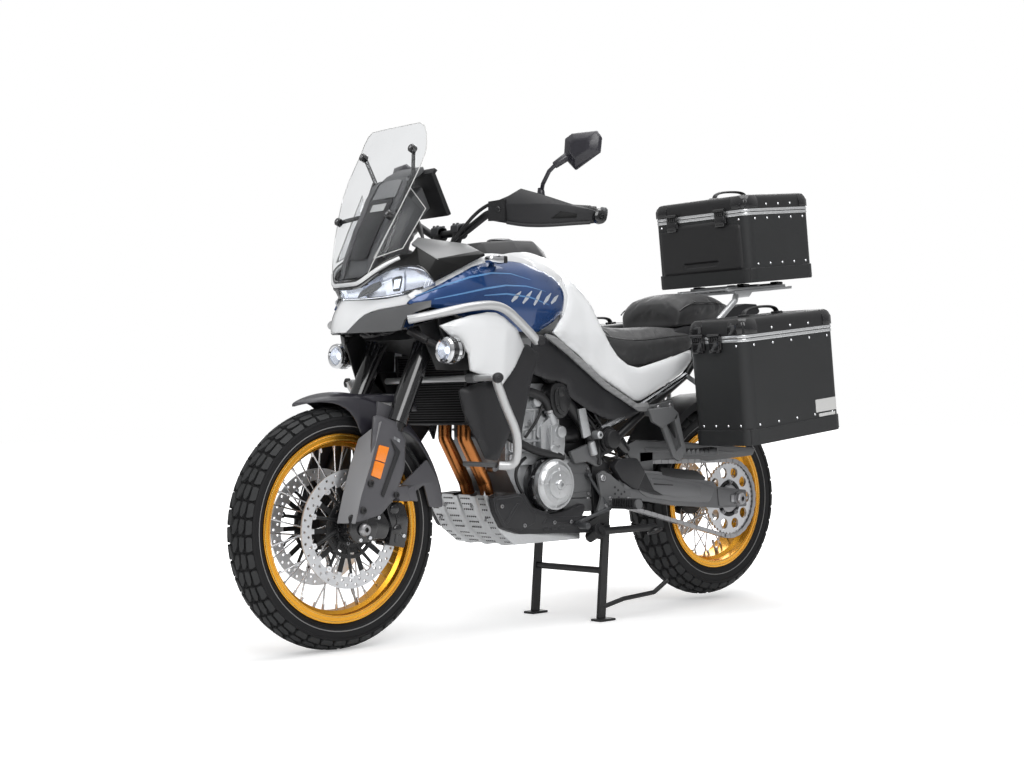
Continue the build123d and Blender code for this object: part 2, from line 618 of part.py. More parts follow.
def build_side_covers():
    """White covers sweeping down and back under the seat, and the dark covers beneath them."""
    side = [(140, 862), (60, 918), (20, 972), (-6, 1000), (-70, 940), (-112, 862), (-168, 792),
            (-219, 771), (-264, 762),
            (-347, 781), (-514, 818), (-528, 789), (-488, 757), (-298, 669), (-252, 663), (-120, 731),
            (92, 852)]
    plan = [(150, 205), (40, 168), (-120, 150), (-300, 166), (-530, 160)]
    white = side_slab(side, 60, 240, corner=4) & plan_slab(plan_strip(plan, 12), 600, 1100)
    save("side_covers", *pair(white))
    low = [(180, 845), (112, 848), (92, 846), (-120, 726), (-250, 657), (-300, 650), (-294, 641),
           (-266, 636), (-216, 602), (-120, 649), (0, 681), (102, 740), (163, 749)]
    low_plan = [(200, 196), (40, 162), (-120, 152), (-320, 160)]
    dark = side_slab(low, 60, 240) & plan_slab(plan_strip(low_plan, 8), 500, 900)
    save("lower_side_covers", *pair(dark))


def build_fairing():
    """White beak, the grey intake under it, the headlight and its black surround."""
    beak_plan = [(818, 10), (806, 60), (742, 140), (668, 215), (560, 238), (480, 240), (480, 222),
                 (560, 218), (655, 190), (720, 120), (760, 40), (764, 10)]
    whole = [*beak_plan, *[(x, -y) for x, y in reversed(beak_plan)]]
    beak_side = [(826, 858), (812, 905), (790, 948), (700, 948), (560, 972), (470, 986), (560, 938),
                 (700, 905), (760, 862), (800, 852)]
    beak = plan_slab(whole, 800, 1000) & side_slab(beak_side, -260, 260, corner=4)
    wings = pair(tank_wing())
    save("beak", beak - wings)
    intake_side = [(792, 852), (752, 862), (700, 903), (575, 934), (490, 936), (500, 915), (620, 892),
                   (660, 850), (700, 842)]
    intake_plan = [(800, 10), (790, 60), (730, 130), (655, 196), (560, 214), (490, 216), (490, 190),
                   (640, 150), (700, 100), (700, 10)]
    intake = plan_slab([*intake_plan, *[(x, -y) for x, y in reversed(intake_plan)]], 800, 1000)
    intake &= side_slab(intake_side, -260, 260)
    save("beak_intake", intake - wings)
    lamp_plan = [(788, 24), (762, 80), (716, 150), (640, 208), (600, 214), (600, 150), (650, 60),
                 (650, 0)]
    lamp = plan_slab(both_sides(lamp_plan[:-1]), 900, 1100, corner=6)
    lamp &= side_slab([(792, 952), (792, 978), (700, 1006), (640, 1030), (590, 1036), (580, 1000),
                       (640, 974), (700, 951)], -230, 230)
    save("headlight", lamp)
    shroud_plan = [(786, 20), (740, 100), (680, 170), (600, 205), (440, 205), (380, 190), (380, 162),
                   (520, 158), (640, 40), (640, 0)]
    shroud = plan_slab(both_sides(shroud_plan[:-1]), 900, 1200)
    shroud &= side_slab([(788, 982), (740, 1010), (640, 1076), (560, 1110), (370, 1104), (370, 1070),
                         (440, 1046), (560, 1040), (640, 1036), (704, 1012)], -230, 230)
    save("headlight_surround", shroud)


SCREEN_R = 280.0
SCREEN_FOOT = (786.0, 985.0)
SCREEN_TOP = (556.0, 1454.0)


def build_windscreen():
    """Clear curved screen, leaning back."""
    thickness = 4
    lean = Vector(SCREEN_TOP[0] - SCREEN_FOOT[0], 0, SCREEN_TOP[1] - SCREEN_FOOT[1])
    ring = Circle(SCREEN_R) - Circle(SCREEN_R - thickness)
    ring &= Pos(SCREEN_R / 2 + 40, 0) * Rectangle(SCREEN_R, 420)
    ring = Pos(SCREEN_FOOT[0] - SCREEN_R, 0) * ring
    below = 120
    start = Vector(SCREEN_FOOT[0], 0, SCREEN_FOOT[1]) - lean.normalized() * below
    shell = Pos(start.X - SCREEN_FOOT[0], 0, start.Z) * extrude(ring, amount=lean.length + below,
                                                                dir=tuple(lean.normalized()))
    half = [(0, 1454), (100, 1450), (118, 1438), (146, 1362), (132, 1272), (134, 1190), (126, 1120),
            (110, 1040), (60, 1000), (0, 992)]
    shell &= front_slab([*half[:-1], half[-1], *[(-y, z) for y, z in reversed(half[1:-1])]], 300, 900,
                        corner=0)
    save("windscreen", shell)


def build_instruments():
    """Tower behind the screen with the display, and the arms that carry the screen."""
    mast = side_slab([(620, 1040), (592, 1110), (520, 1250), (500, 1250), (500, 1180), (540, 1090),
                      (560, 1040)], -50, 50, corner=6)
    display = side_slab([(504, 1358), (516, 1348), (448, 1222), (434, 1228)], -92, 92, corner=3)
    neck = side_slab([(520, 1250), (500, 1180), (470, 1250), (484, 1294)], -30, 30)
    arms = []
    for side in HALVES:
        arms.append(tube([(560, side * 46, 1120), (600, side * 104, 1180), (656, side * 108, 1184)], 12,
                         14))
        arms.append(tube([(505, side * 46, 1240), (520, side * 104, 1330), (566, side * 107, 1366)], 12,
                         14))
    save("instrument_tower", mast + display + neck + arms)


def build_seats():
    """Rider's and passenger's seats."""
    rider = [(-92, 906), (-158, 898), (-203, 886), (-340, 892), (-478, 896), (-478, 822), (-340, 787),
             (-240, 768), (-182, 783), (-118, 834)]
    plan = [(-88, 66), (-150, 92), (-240, 135), (-340, 152), (-478, 146)]
    seat = side_slab(rider, -180, 180, corner=5) & plan_slab(both_sides(plan), 700, 1000, corner=5)
    save("rider_seat", seat)
    passenger = [(-484, 900), (-484, 940), (-506, 992), (-600, 1000), (-760, 992), (-786, 958),
                 (-760, 930), (-600, 905)]
    plan = [(-482, 138), (-600, 146), (-788, 110)]
    pillion = side_slab(passenger, -160, 160, corner=5) & plan_slab(both_sides(plan), 850, 1050,
                                                                    corner=5)
    save("passenger_seat", pillion)


TILT = 5.5                                         # luggage sits nose down by this angle


class Case(NamedTuple):
    """One luggage case. Centre of the shut box, its size, and the lid's height."""
    x: float
    y: float
    z: float
    length: float
    width: float
    height: float
    lid: float


TOP_CASE = Case(x=188.4 - HALF_LENGTH, y=0, z=1203, length=345, width=405, height=290, lid=58)
PANNIER = Case(x=-630, y=362.5, z=733, length=456, width=225, height=386, lid=62)


def case_box(case, z0, z1, inset, corner):
    """A rounded box over part of a case's height, in the case's own frame."""
    face = RectangleRounded(case.length - 2 * inset, case.width - 2 * inset, corner)
    return Pos(0, 0, z0) * extrude(face, amount=z1 - z0)


def case_place(case):
    """Where a case's own frame stands."""
    return Location((case.x, case.y, case.z), (0, TILT, 0))


HINGE_R = 5.0
HINGE_OUT = HINGE_R + 0.6                          # hinge pin's centre behind the case's rear wall


def knuckle(case, y0, y1, z_side):
    """One hinge barrel behind the rear wall at the seam, on a tab that lies above or below it."""
    seam = case.height / 2 - case.lid
    x = -case.length / 2 - HINGE_OUT
    barrel = disc_y(x, seam, HINGE_R, y0, y1)
    tab_z = sorted((seam + z_side * 1.5, seam + z_side * 22))
    return barrel + block(x - HINGE_R, -case.length / 2 + 0.5, y0, y1, *tab_z)


def case_body(case, wall=4.0, corner=34.0):
    """The open-topped lower shell, with corner castings at its foot."""
    low, seam = -case.height / 2, case.height / 2 - case.lid
    shell = case_box(case, low, seam, 0, corner)
    foot = case_box(case, low, low + 46, -3, corner + 3)
    shell = shell + foot - case_box(case, low + wall, seam + 1, wall, corner - wall)
    return shell + knuckle(case, -60, -20, -1) + knuckle(case, 20, 60, -1)


def case_lid(case, wall=4.0, corner=34.0):
    """The lid, a shallow shell with a carry handle on top."""
    seam, top = case.height / 2 - case.lid + 0.4, case.height / 2
    lid = case_box(case, seam, top, 0, corner)
    rim_edge = [edge for edge in lid.edges() if edge.center().Z > top - 1]
    lid = chamfer(rim_edge, 9)
    lid -= case_box(case, seam - 1, top - wall - 5, wall + 5, corner - wall - 5)
    lid -= case_box(case, seam - 1, top - 24, wall, corner - wall)
    span, rise = 75, 24
    handle = tube([(-span, 0, top - 2), (-span, 0, top + rise), (span, 0, top + rise),
                   (span, 0, top - 2)], 14, 9)
    return lid + handle + knuckle(case, -18, 18, 1)


def build_luggage():
    """Top case and two panniers, each an open shell and its lid."""
    place = case_place(TOP_CASE)
    save("top_case", place * case_body(TOP_CASE))
    save("top_case_lid", place * case_lid(TOP_CASE))
    place = case_place(PANNIER)
    body = place * case_body(PANNIER)
    lid = place * case_lid(PANNIER)
    save("panniers", *pair(body))
    save("left_pannier_lid", lid)
    save("right_pannier_lid", mirrored(lid))


def build_rack():
    """Luggage plate behind the seat on two arms, and the pannier carriers."""
    plate = side_slab([(-790, 1021), (-1096, 1050), (-1096, 1041), (-790, 1012)], -118, 118)
    for x0, x1, y in ((-1060, -960, 34), (-930, -830, 34)):
        plate -= block(x0, x1, y, 96, 900, 1150) + block(x0, x1, -96, -y, 900, 1150)
    rack = plate
    for side in HALVES:
        rack += tube([(-810, side * 104, 1006), (-740, side * 156, 984), (-640, side * 170, 920),
                      (-620, side * 128, 842)], 18, 20)
        hoop = [(-600, 874), (-440, 860), (-470, 615), (-850, 650), (-820, 895), (-600, 875)]
        rack += tube([(x, side * 232, z) for x, z in hoop], 30, 16)
        rack += rod((-640, side * 232, 877), (-640, side * 166, 918), 16)
        rack += rod((-520, side * 140, 735), (-480, side * 232, 700), 16)
    save("rear_rack", rack)


def build_crash_bars():
    """Bars round the cowls and the engine, their ends plugged."""
    bars = None
    for side in HALVES:
        upper = tube([(242, side * 250, 836), (280, side * 256, 872), (400, side * 268, 930),
                      (590, side * 262, 906), (650, side * 232, 895)], 30, 25)
        lower = tube([(486, side * 326, 735), (440, side * 318, 680), (396, side * 290, 590),
                      (386, side * 270, 530), (430, side * 200, 492), (440, side * 130, 492)], 24, 25)
        half = upper + lower
        bars = half if bars is None else bars + half
    cross = rod((470, -334, 729), (470, 334, 729), 18)
    save("crash_bars", bars + cross)


def build_lamps():
    """Fog lamps, indicators and the tail."""
    fog = []
    for side in HALVES:
        lamp = Pos(592, side * 241, 807) * Rot(0, 90, 0) * Cylinder(35, 58)
        arm = rod((575, side * 230, 800), (590, side * 190, 880), 14)
        fog.append(lamp + arm)
    tail = side_slab([(-800, 900), (-800, 960), (-900, 985), (-960, 985), (-980, 960), (-880, 905)],
                     -70, 70, corner=6)
    plate_holder = side_slab([(-900, 905), (-960, 960), (-1010, 700), (-1002, 696)], -40, 40)
    plate = side_slab([(-985, 830), (-979, 832), (-1012, 680), (-1018, 681)], -110, 110)
    save("tail_section", tail + plate_holder + plate)
    signals = []
    for side in HALVES:
        signals.append(rod((344, side * 140, 1086), (344, side * 190, 1086), 12) + Pos(344, side * 204,
                                                                                       1084) * Box(66,
                                                                                                   36,
                                                                                                   20))
        signals.append(rod((-975, side * 41, 820), (-975, side * 140, 820), 10) + Pos(-975, side * 158,
                                                                                      820) * Box(44, 40,
                                                                                                 24))
    save("lamps", *fog, *signals)


def build_footpegs():
    """Riders' hanger plates and pegs, and the passenger's hangers."""
    pieces = []
    for side in HALVES:
        plate = side_slab([(-98, 452), (-76, 440), (-90, 372), (-74, 330), (-92, 322), (-122, 342),
                           (-210, 342), (-222, 378), (-130, 440)],
                          *sorted((side * 152, side * 160)), corner=6)
        peg = rod((-140, side * 160, 350), (-140, side * 268, 352), 30)
        pieces.append(plate + peg)
        hanger = side_slab([(-292, 646), (-385, 661), (-432, 500), (-416, 482), (-330, 615)],
                           *sorted((side * 176, side * 190)), corner=6)
        window = side_slab([(-330, 618), (-374, 634), (-404, 528)], *sorted((side * 170, side * 195)),
                           corner=4)
        passenger_peg = rod((-414, side * 190, 494), (-480, side * 290, 500), 24)
        link = rod((-320, side * 150, 640), (-345, side * 180, 640), 18)
        pieces.append(hanger - window + passenger_peg + link)
    save("footpegs", *pieces)


def build_swingarm():
    """Two-sided arm from the pivot to the rear axle."""
    arm = disc_y(PIVOT_X, PIVOT_Z, 30, -117, 117)
    outer = [(-236, 470), (-284, 446), (-353, 440), (-627, 396), (-640, 380), (-790, 362), (-790, 308),
             (-645, 310), (-421, 330), (-282, 353), (-200, 372), (-180, 384), (-180, 436)]
    bowed = [(-232, 500), (-330, 500), (-480, 470), (-627, 396), (-640, 380), (-790, 362), (-790, 308),
             (-690, 310), (-560, 366),
             (-421, 408), (-282, 412), (-180, 396), (-180, 436)]
    for side, edge in ((1, outer), (-1, bowed)):
        low, high = sorted((side * 127, side * 149))
        beam = side_slab(edge, low, high, corner=6)
        root = side_slab([(-110, 440), (-232, 440), (-232, 384), (-110, 384)],
                         *sorted((side * 84, side * 117)))
        step = side_slab([(-186, 440), (-232, 440), (-232, 384), (-186, 384)],
                         *sorted((side * 84, side * 140)))
        arm += beam + root + step
        arm -= disc_y(REAR_X, REAR_Z, REAR.axle_r, *sorted((side * 120, side * 155)))
    brace = block(-250, -210, -100, 100, 384, 440)
    arm += brace
    save("swingarm", arm)
    axle = disc_y(0, 0, REAR.axle_r - RUNNING, -168, 168)
    left_inner, right_inner = SPROCKET_Y - 4 + 1.0, REAR_DISC_Y - 2.5 - 1.0
    axle += disc_y(0, 0, 20, left_inner, 126.9) + disc_y(0, 0, 20, -126.9, right_inner)
    axle += disc_y(0, 0, 22, 149.1, 160) + disc_y(0, 0, 22, -160, -149.1)
    save("rear_axle", at_axle(axle - disc_y(0, 0, REAR_AXLE_BORE_R, -200, 200), REAR_X, REAR_Z))
    guard = side_slab([(-240, 520), (-300, 535), (-870, 494), (-850, 470), (-600, 466), (-400, 474),
                       (-250, 492)], 122, 126, corner=4)
    top = side_slab([(-300, 535), (-870, 494), (-870, 490), (-300, 531)], 98, 126)
    mount = side_slab([(-300, 500), (-360, 500), (-360, 441), (-300, 444)], 122, 126.9)
    save("chain_guard", guard + top + mount)


CHAIN_GAP = 1.5
CHAIN_T = 12.0
ENGINE_SPROCKET = (-40.0, 432.0, 36.0)


def build_chain():
    """The drive chain as a closed band round the rear sprocket, ending in the engine's cover."""
    fx, fz, fr = ENGINE_SPROCKET

    def belt(extra):
        front, rear = fr + extra, SPROCKET_R + extra
        dx, dz = REAR_X - fx, REAR_Z - fz
        gap = sqrt(dx * dx + dz * dz)
        base = atan2(dz, dx)
        lean = acos((front - rear) / gap)
        points = []
        for sign in (1, -1):
            angle = base + sign * lean
            points.append(((fx + front * cos(angle), fz + front * sin(angle)),
                           (REAR_X + rear * cos(angle), REAR_Z + rear * sin(angle))))
        (f1, r1), (f2, r2) = points
        rear_mid = (REAR_X + rear * cos(base), REAR_Z + rear * sin(base))
        return make_face([Line(f1, r1), ThreePointArc(r1, rear_mid, r2), Line(r2, f2), Line(f2, f1)])

    band = Plane.XZ * (belt(CHAIN_GAP + CHAIN_T) - belt(CHAIN_GAP))
    chain = Pos(0, SPROCKET_Y + 7, 0) * extrude(band, amount=14)
    chain &= block(-1000, -79, 50, 150, 100, 700)
    save("drive_chain", chain)


def build_shock():
    """Rear spring and damper, from the frame to the swingarm."""
    low, high = (-236, 0, 462), (-190, 0, 700)
    damper = rod(low, high, 46)
    for i in range(6):
        t0 = 0.18 + 0.12 * i
        a = tuple(low[k] + (high[k] - low[k]) * t0 for k in range(3))
        b = tuple(low[k] + (high[k] - low[k]) * (t0 + 0.05) for k in range(3))
        damper += rod(a, b, 72)
    save("rear_shock", damper)


def build_rear_calliper():
    """Single calliper over the rear disc, on the arm's upper side."""
    body = calliper(REAR_DISC_Y, 110, 38, start=24, depth=28)
    save("rear_calliper", at_axle(body, REAR_X, REAR_Z))


# ---------------------------------------------------------------- stands
def build_stands():
    """Centre stand, down and over centre, and side stand, folded up."""
    stand = disc_y(STAND_X, STAND_Z, 15, -119, 119)
    for side in HALVES:
        stand += disc_y(STAND_X, STAND_Z, 10, *sorted((side * 118, side * 134)))
        leg = side_slab([(STAND_X - 16, STAND_Z + 12), (STAND_X + 12, STAND_Z + 12), (FOOT_X + 14, 6),
                         (FOOT_X - 14, 6)],
                        *sorted((side * 137, side * 149)), corner=4)
        neck = disc_y(STAND_X, STAND_Z, 16, *sorted((side * 136, side * 149)))
        axle = disc_y(STAND_X, STAND_Z, 10, *sorted((side * 110, side * 149)))
        foot = block(FOOT_X - 38, FOOT_X + 26, *sorted((side * 126, side * 168)), 0, 7)
        stand += leg + neck + axle + foot
    stand += rod((-110, -143, 150), (-110, 143, 150), 20)
    tang = tube([(FOOT_X - 6, 143, 40), (-180, 160, 60), (-300, 176, 70), (-352, 186, 104)], 20, 14)
    stand += tang
    save("centre_stand", stand)
    leg_end = SIDE_STAND + Vector(-238, 8, 0)
    side = along_axis(SIDE_STAND, -8, 8, 22) + rod(tuple(SIDE_STAND + Vector(-17.5, 0, 0)),
                                                   tuple(leg_end), 22)
    pad = Cylinder(24, 6)
    side += Location(tuple(leg_end - Vector(2, 0, 14)), (24, 0, 0)) * Pos(0, 0, 0) * pad
    save("side_stand", side - along_axis(SIDE_STAND, -60, 60, SIDE_PIN_R + RUNNING))


build_wheels()
build_steering()
build_frame()
build_engine()
build_exhaust()
build_skid_plate()
build_radiator()
build_cowls()
build_tank()
save("tank_wings", *pair(tank_wing()))
build_side_covers()
build_fairing()
build_windscreen()
build_instruments()
build_seats()
build_luggage()
build_rack()
build_crash_bars()
build_lamps()
build_footpegs()
build_swingarm()
build_chain()
build_shock()
build_rear_calliper()
build_stands()
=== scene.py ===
"""Looks of an adventure touring motorcycle with hard luggage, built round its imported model.

Sizes are in millimetres, in the model's own frame: +X forward, +Y to the rider's left, +Z up.
Every piece is scaled to metres when it is handed over.
"""
import logging
import math
import random
from dataclasses import dataclass
from enum import Enum
from functools import partial
from typing import Callable, Iterable, Optional, Sequence

import bmesh
import bpy
from mathutils import Matrix, Vector


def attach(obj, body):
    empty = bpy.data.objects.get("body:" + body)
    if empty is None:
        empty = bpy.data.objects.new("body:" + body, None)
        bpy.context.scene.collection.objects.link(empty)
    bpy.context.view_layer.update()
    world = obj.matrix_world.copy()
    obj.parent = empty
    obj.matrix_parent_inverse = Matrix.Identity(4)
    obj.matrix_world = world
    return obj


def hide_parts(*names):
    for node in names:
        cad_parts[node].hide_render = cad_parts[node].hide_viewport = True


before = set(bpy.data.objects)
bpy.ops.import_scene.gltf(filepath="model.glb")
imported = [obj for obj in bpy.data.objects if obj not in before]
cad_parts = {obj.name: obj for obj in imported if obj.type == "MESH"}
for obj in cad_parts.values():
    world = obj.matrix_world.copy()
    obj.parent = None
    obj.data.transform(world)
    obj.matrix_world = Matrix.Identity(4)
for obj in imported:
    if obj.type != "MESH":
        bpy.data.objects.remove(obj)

LOG = logging.getLogger("motorcycle")
MM = 0.001
SHARP = math.radians(34)
SIDES = (1, -1)
SEED = 41

Point2 = tuple[float, float]
Point3 = tuple[float, float, float]
Row = tuple[float, float, float, float]
Colour = tuple[float, float, float]
BMesh = bmesh.types.BMesh

# the wheels' axles, seen from the side
FRONT_AXLE = (789.0, 329.0)
REAR_AXLE = (-742.0, 336.0)


# ---------------------------------------------------------------- finishes
class Texture(Enum):
    """What the surface of a finish feels like."""

    SMOOTH = "smooth"
    PEBBLED = "pebbled"
    CAST = "cast"
    BRUSHED = "brushed"
    HIDE = "hide"


@dataclass(frozen=True)
class Finish:
    """One surface finish, with the values its material is made from."""

    name: str
    colour: Colour
    roughness: float
    slot: str
    metallic: float = 0.0
    coat: float = 0.0
    coat_roughness: float = 0.08
    transmission: float = 0.0
    ior: float = 1.5
    texture: Texture = Texture.SMOOTH
    scale: float = 900.0
    bump: float = 0.05
    mottle: float = 0.06
    # edge: share of the paler grey painted along sharp edges, partly as wear and partly as painted highlight
    edge: float = 0.0
    bevel: float = 0.0
    sheen: float = 0.0
    glow: float = 0.0
    specular: float = 0.5


@dataclass(frozen=True)
class Zone:
    """A round part of a wheel node that has another colour than the rest of it."""

    centre: Point2
    radius: float
    colour: Colour
    roughness: float
    metallic: float


class Finishes:
    """Every finish on the machine."""

    TYRE = Finish("tyre_rubber", (0.034, 0.035, 0.036), 0.66, "tyre_rubber", texture=Texture.PEBBLED,
                  scale=500, bump=0.12, mottle=0.3, specular=0.32)
    TYRE_WALL = Finish("tyre_wall_rubber", (0.009, 0.009, 0.010), 0.62, "tyre_rubber", specular=0.3)
    MOULD_LINE = Finish("tyre_mould_line", (0.22, 0.22, 0.22), 0.6, "tyre_rubber", specular=0.3)
    GOLD = Finish("gold_anodised", (0.92, 0.43, 0.035), 0.27, "gold_rim", metallic=0.95, coat=0.2, mottle=0.0)
    # a brighter gold for the painted highlight rings on the rim's flanges
    GOLD_HIGHLIGHT = Finish("gold_painted_highlight", (1.0, 0.62, 0.14), 0.22, "gold_rim", metallic=0.8, coat=0.4,
                       mottle=0.0)
    SPOKES = Finish("spoke_steel", (0.66, 0.67, 0.69), 0.25, "wheel_steel", metallic=1.0, mottle=0.04)
    DISC = Finish("disc_steel", (0.74, 0.75, 0.77), 0.36, "wheel_steel", metallic=0.9, mottle=0.03)
    BLACK_STEEL = Finish("black_powder_coat", (0.011, 0.011, 0.012), 0.38, "black_steel",
                         texture=Texture.PEBBLED, scale=1500, bump=0.05, bevel=1.2, edge=0.25)
    DARK_ALLOY = Finish("dark_grey_alloy", (0.055, 0.057, 0.061), 0.40, "dark_alloy", metallic=0.25,
                        texture=Texture.PEBBLED, scale=1300, bump=0.05, bevel=2.0, edge=0.3)
    CAST = Finish("silver_casting", (0.50, 0.51, 0.52), 0.42, "engine_alloy", metallic=0.8,
                  texture=Texture.CAST, scale=420, bump=0.16, bevel=2.0, edge=0.2, mottle=0.14)
    TURNED = Finish("turned_cover", (0.62, 0.63, 0.64), 0.30, "engine_alloy", metallic=0.85,
                    texture=Texture.BRUSHED, scale=160, bump=0.04, bevel=1.5, mottle=0.08)
    BRONZE = Finish("heat_tinted_pipe", (0.50, 0.19, 0.06), 0.26, "bronze_steel", metallic=1.0, mottle=0.10)
    STEEL = Finish("brushed_steel", (0.42, 0.42, 0.43), 0.34, "brushed_steel", metallic=1.0,
                   texture=Texture.BRUSHED, scale=200, bump=0.04, bevel=0.8)
    ALUMINIUM = Finish("brushed_aluminium", (0.58, 0.59, 0.60), 0.36, "brushed_aluminium", metallic=0.85,
                       texture=Texture.BRUSHED, scale=180, bump=0.06, bevel=1.2, mottle=0.08)
    RADIATOR = Finish("radiator_black", (0.006, 0.006, 0.007), 0.5, "radiator_black", metallic=0.2, bevel=0.6,
                      specular=0.3)
    FIN = Finish("radiator_fin", (0.06, 0.06, 0.062), 0.42, "radiator_black", metallic=0.5)
    WHITE = Finish("pearl_white", (0.80, 0.81, 0.82), 0.30, "white_plastic", coat=0.8, mottle=0.015,
                   bevel=3.0)
    BLUE = Finish("deep_blue", (0.006, 0.050, 0.190), 0.30, "blue_plastic", metallic=0.35, coat=1.0,
                  coat_roughness=0.04, mottle=0.22, scale=2600, bevel=2.5)
    # painted highlight bands on the blue wings
    BLUE_HIGHLIGHT = Finish("blue_painted_highlight", (0.10, 0.26, 0.52), 0.3, "blue_plastic", coat=0.8)
    SILVER_LINE = Finish("silver_line", (0.62, 0.66, 0.72), 0.35, "blue_plastic", metallic=0.4, coat=0.6)
    DARK = Finish("grained_dark_plastic", (0.021, 0.021, 0.023), 0.44, "dark_plastic",
                  texture=Texture.PEBBLED, scale=1100, bump=0.10, bevel=2.0, edge=0.25, specular=0.38)
    GREY = Finish("mid_grey_plastic", (0.105, 0.107, 0.110), 0.40, "dark_plastic", texture=Texture.PEBBLED,
                  scale=1100, bump=0.06, bevel=2.0, edge=0.2)
    PALE_GREY = Finish("pale_grey_plastic", (0.24, 0.242, 0.245), 0.40, "dark_plastic",
                       texture=Texture.PEBBLED, scale=1100, bump=0.05, bevel=2.0)
    ARM = Finish("swingarm_grey", (0.15, 0.152, 0.157), 0.36, "dark_alloy", metallic=0.3,
                 texture=Texture.PEBBLED, scale=1300, bump=0.05, bevel=2.0, edge=0.3)
    GLOSS = Finish("gloss_black", (0.012, 0.012, 0.013), 0.12, "dark_plastic", coat=0.6, bevel=1.0)
    GRAPHITE = Finish("graphite_plastic", (0.022, 0.021, 0.028), 0.30, "graphite_plastic", coat=0.35,
                      coat_roughness=0.25, bevel=3.0, edge=0.15, texture=Texture.PEBBLED, scale=1600,
                      bump=0.03)
    BLACK = Finish("matt_black_plastic", (0.006, 0.006, 0.006), 0.5, "graphite_plastic", specular=0.2,
                   bevel=2.0)
    GUARD = Finish("guard_grey_plastic", (0.085, 0.084, 0.092), 0.36, "graphite_plastic", bevel=2.0,
                   texture=Texture.PEBBLED, scale=1600, bump=0.03)
    # a lighter copy of the graphite plastic: painted light on the fork guards' front faces
    GRAPHITE_LIT = Finish("graphite_painted_lit_face", (0.23, 0.23, 0.238), 0.34, "graphite_plastic", coat=0.2,
                            coat_roughness=0.3, bevel=2.0, texture=Texture.PEBBLED, scale=1600, bump=0.03)
    SCREEN = Finish("clear_screen", (0.82, 0.83, 0.84), 0.03, "clear_screen", transmission=1.0, ior=1.2)
    LENS = Finish("clear_lens", (0.95, 0.97, 1.0), 0.03, "headlight_glass", transmission=1.0, ior=1.25)
    VINYL = Finish("seat_vinyl", (0.018, 0.018, 0.019), 0.50, "seat_vinyl", texture=Texture.HIDE, scale=420,
                   bump=0.16, sheen=0.25, mottle=0.12)
    SILVER = Finish("silver_tube", (0.56, 0.565, 0.57), 0.34, "silver_steel", metallic=0.55, coat=0.25,
                    texture=Texture.PEBBLED, scale=1500, bump=0.02, mottle=0.05)
    CHROME = Finish("chrome", (0.80, 0.81, 0.83), 0.07, "lamp_chrome", metallic=1.0, mottle=0.02)
    REFLECTOR = Finish("lamp_reflector", (0.62, 0.64, 0.70), 0.24, "lamp_chrome", metallic=0.85, mottle=0.04)
    FORK = Finish("fork_gloss_black", (0.010, 0.010, 0.011), 0.16, "fork_black", coat=0.8, mottle=0.02)
    SLIDER = Finish("slider_chrome", (0.55, 0.56, 0.58), 0.14, "slider_chrome", metallic=1.0)
    CASE = Finish("case_black_metal", (0.028, 0.029, 0.030), 0.44, "case_black", metallic=0.1, specular=0.4,
                  texture=Texture.PEBBLED, scale=1700, bump=0.07, bevel=1.5, edge=0.15, mottle=0.1)
    CASE_MOULDED = Finish("case_moulded_black", (0.016, 0.016, 0.017), 0.40, "case_black",
                          texture=Texture.PEBBLED, scale=1300, bump=0.06, bevel=1.5, edge=0.2)
    SEAM = Finish("bright_seam", (0.74, 0.75, 0.76), 0.26, "brushed_aluminium", metallic=0.7,
                  texture=Texture.BRUSHED, scale=140, bump=0.03)
    AMBER = Finish("amber_lens", (0.95, 0.26, 0.02), 0.22, "lamp_chrome", coat=0.6, mottle=0.12, scale=500)
    RED = Finish("red_lens", (0.45, 0.01, 0.012), 0.14, "lamp_chrome", coat=0.8)
    MIRROR = Finish("mirror_glass", (0.75, 0.77, 0.80), 0.04, "lamp_chrome", metallic=1.0)
    BEAM = Finish("lamp_beam", (0.85, 0.92, 1.0), 0.2, "lamp_chrome", glow=1.1)
    HOSE = Finish("rubber_hose", (0.012, 0.012, 0.013), 0.50, "dark_plastic", texture=Texture.PEBBLED,
                  scale=900, bump=0.05)
    DISPLAY = Finish("display_glass", (0.008, 0.009, 0.011), 0.08, "dark_plastic", coat=0.9)
    BADGE = Finish("blank_badge", (0.62, 0.62, 0.61), 0.4, "dark_plastic")


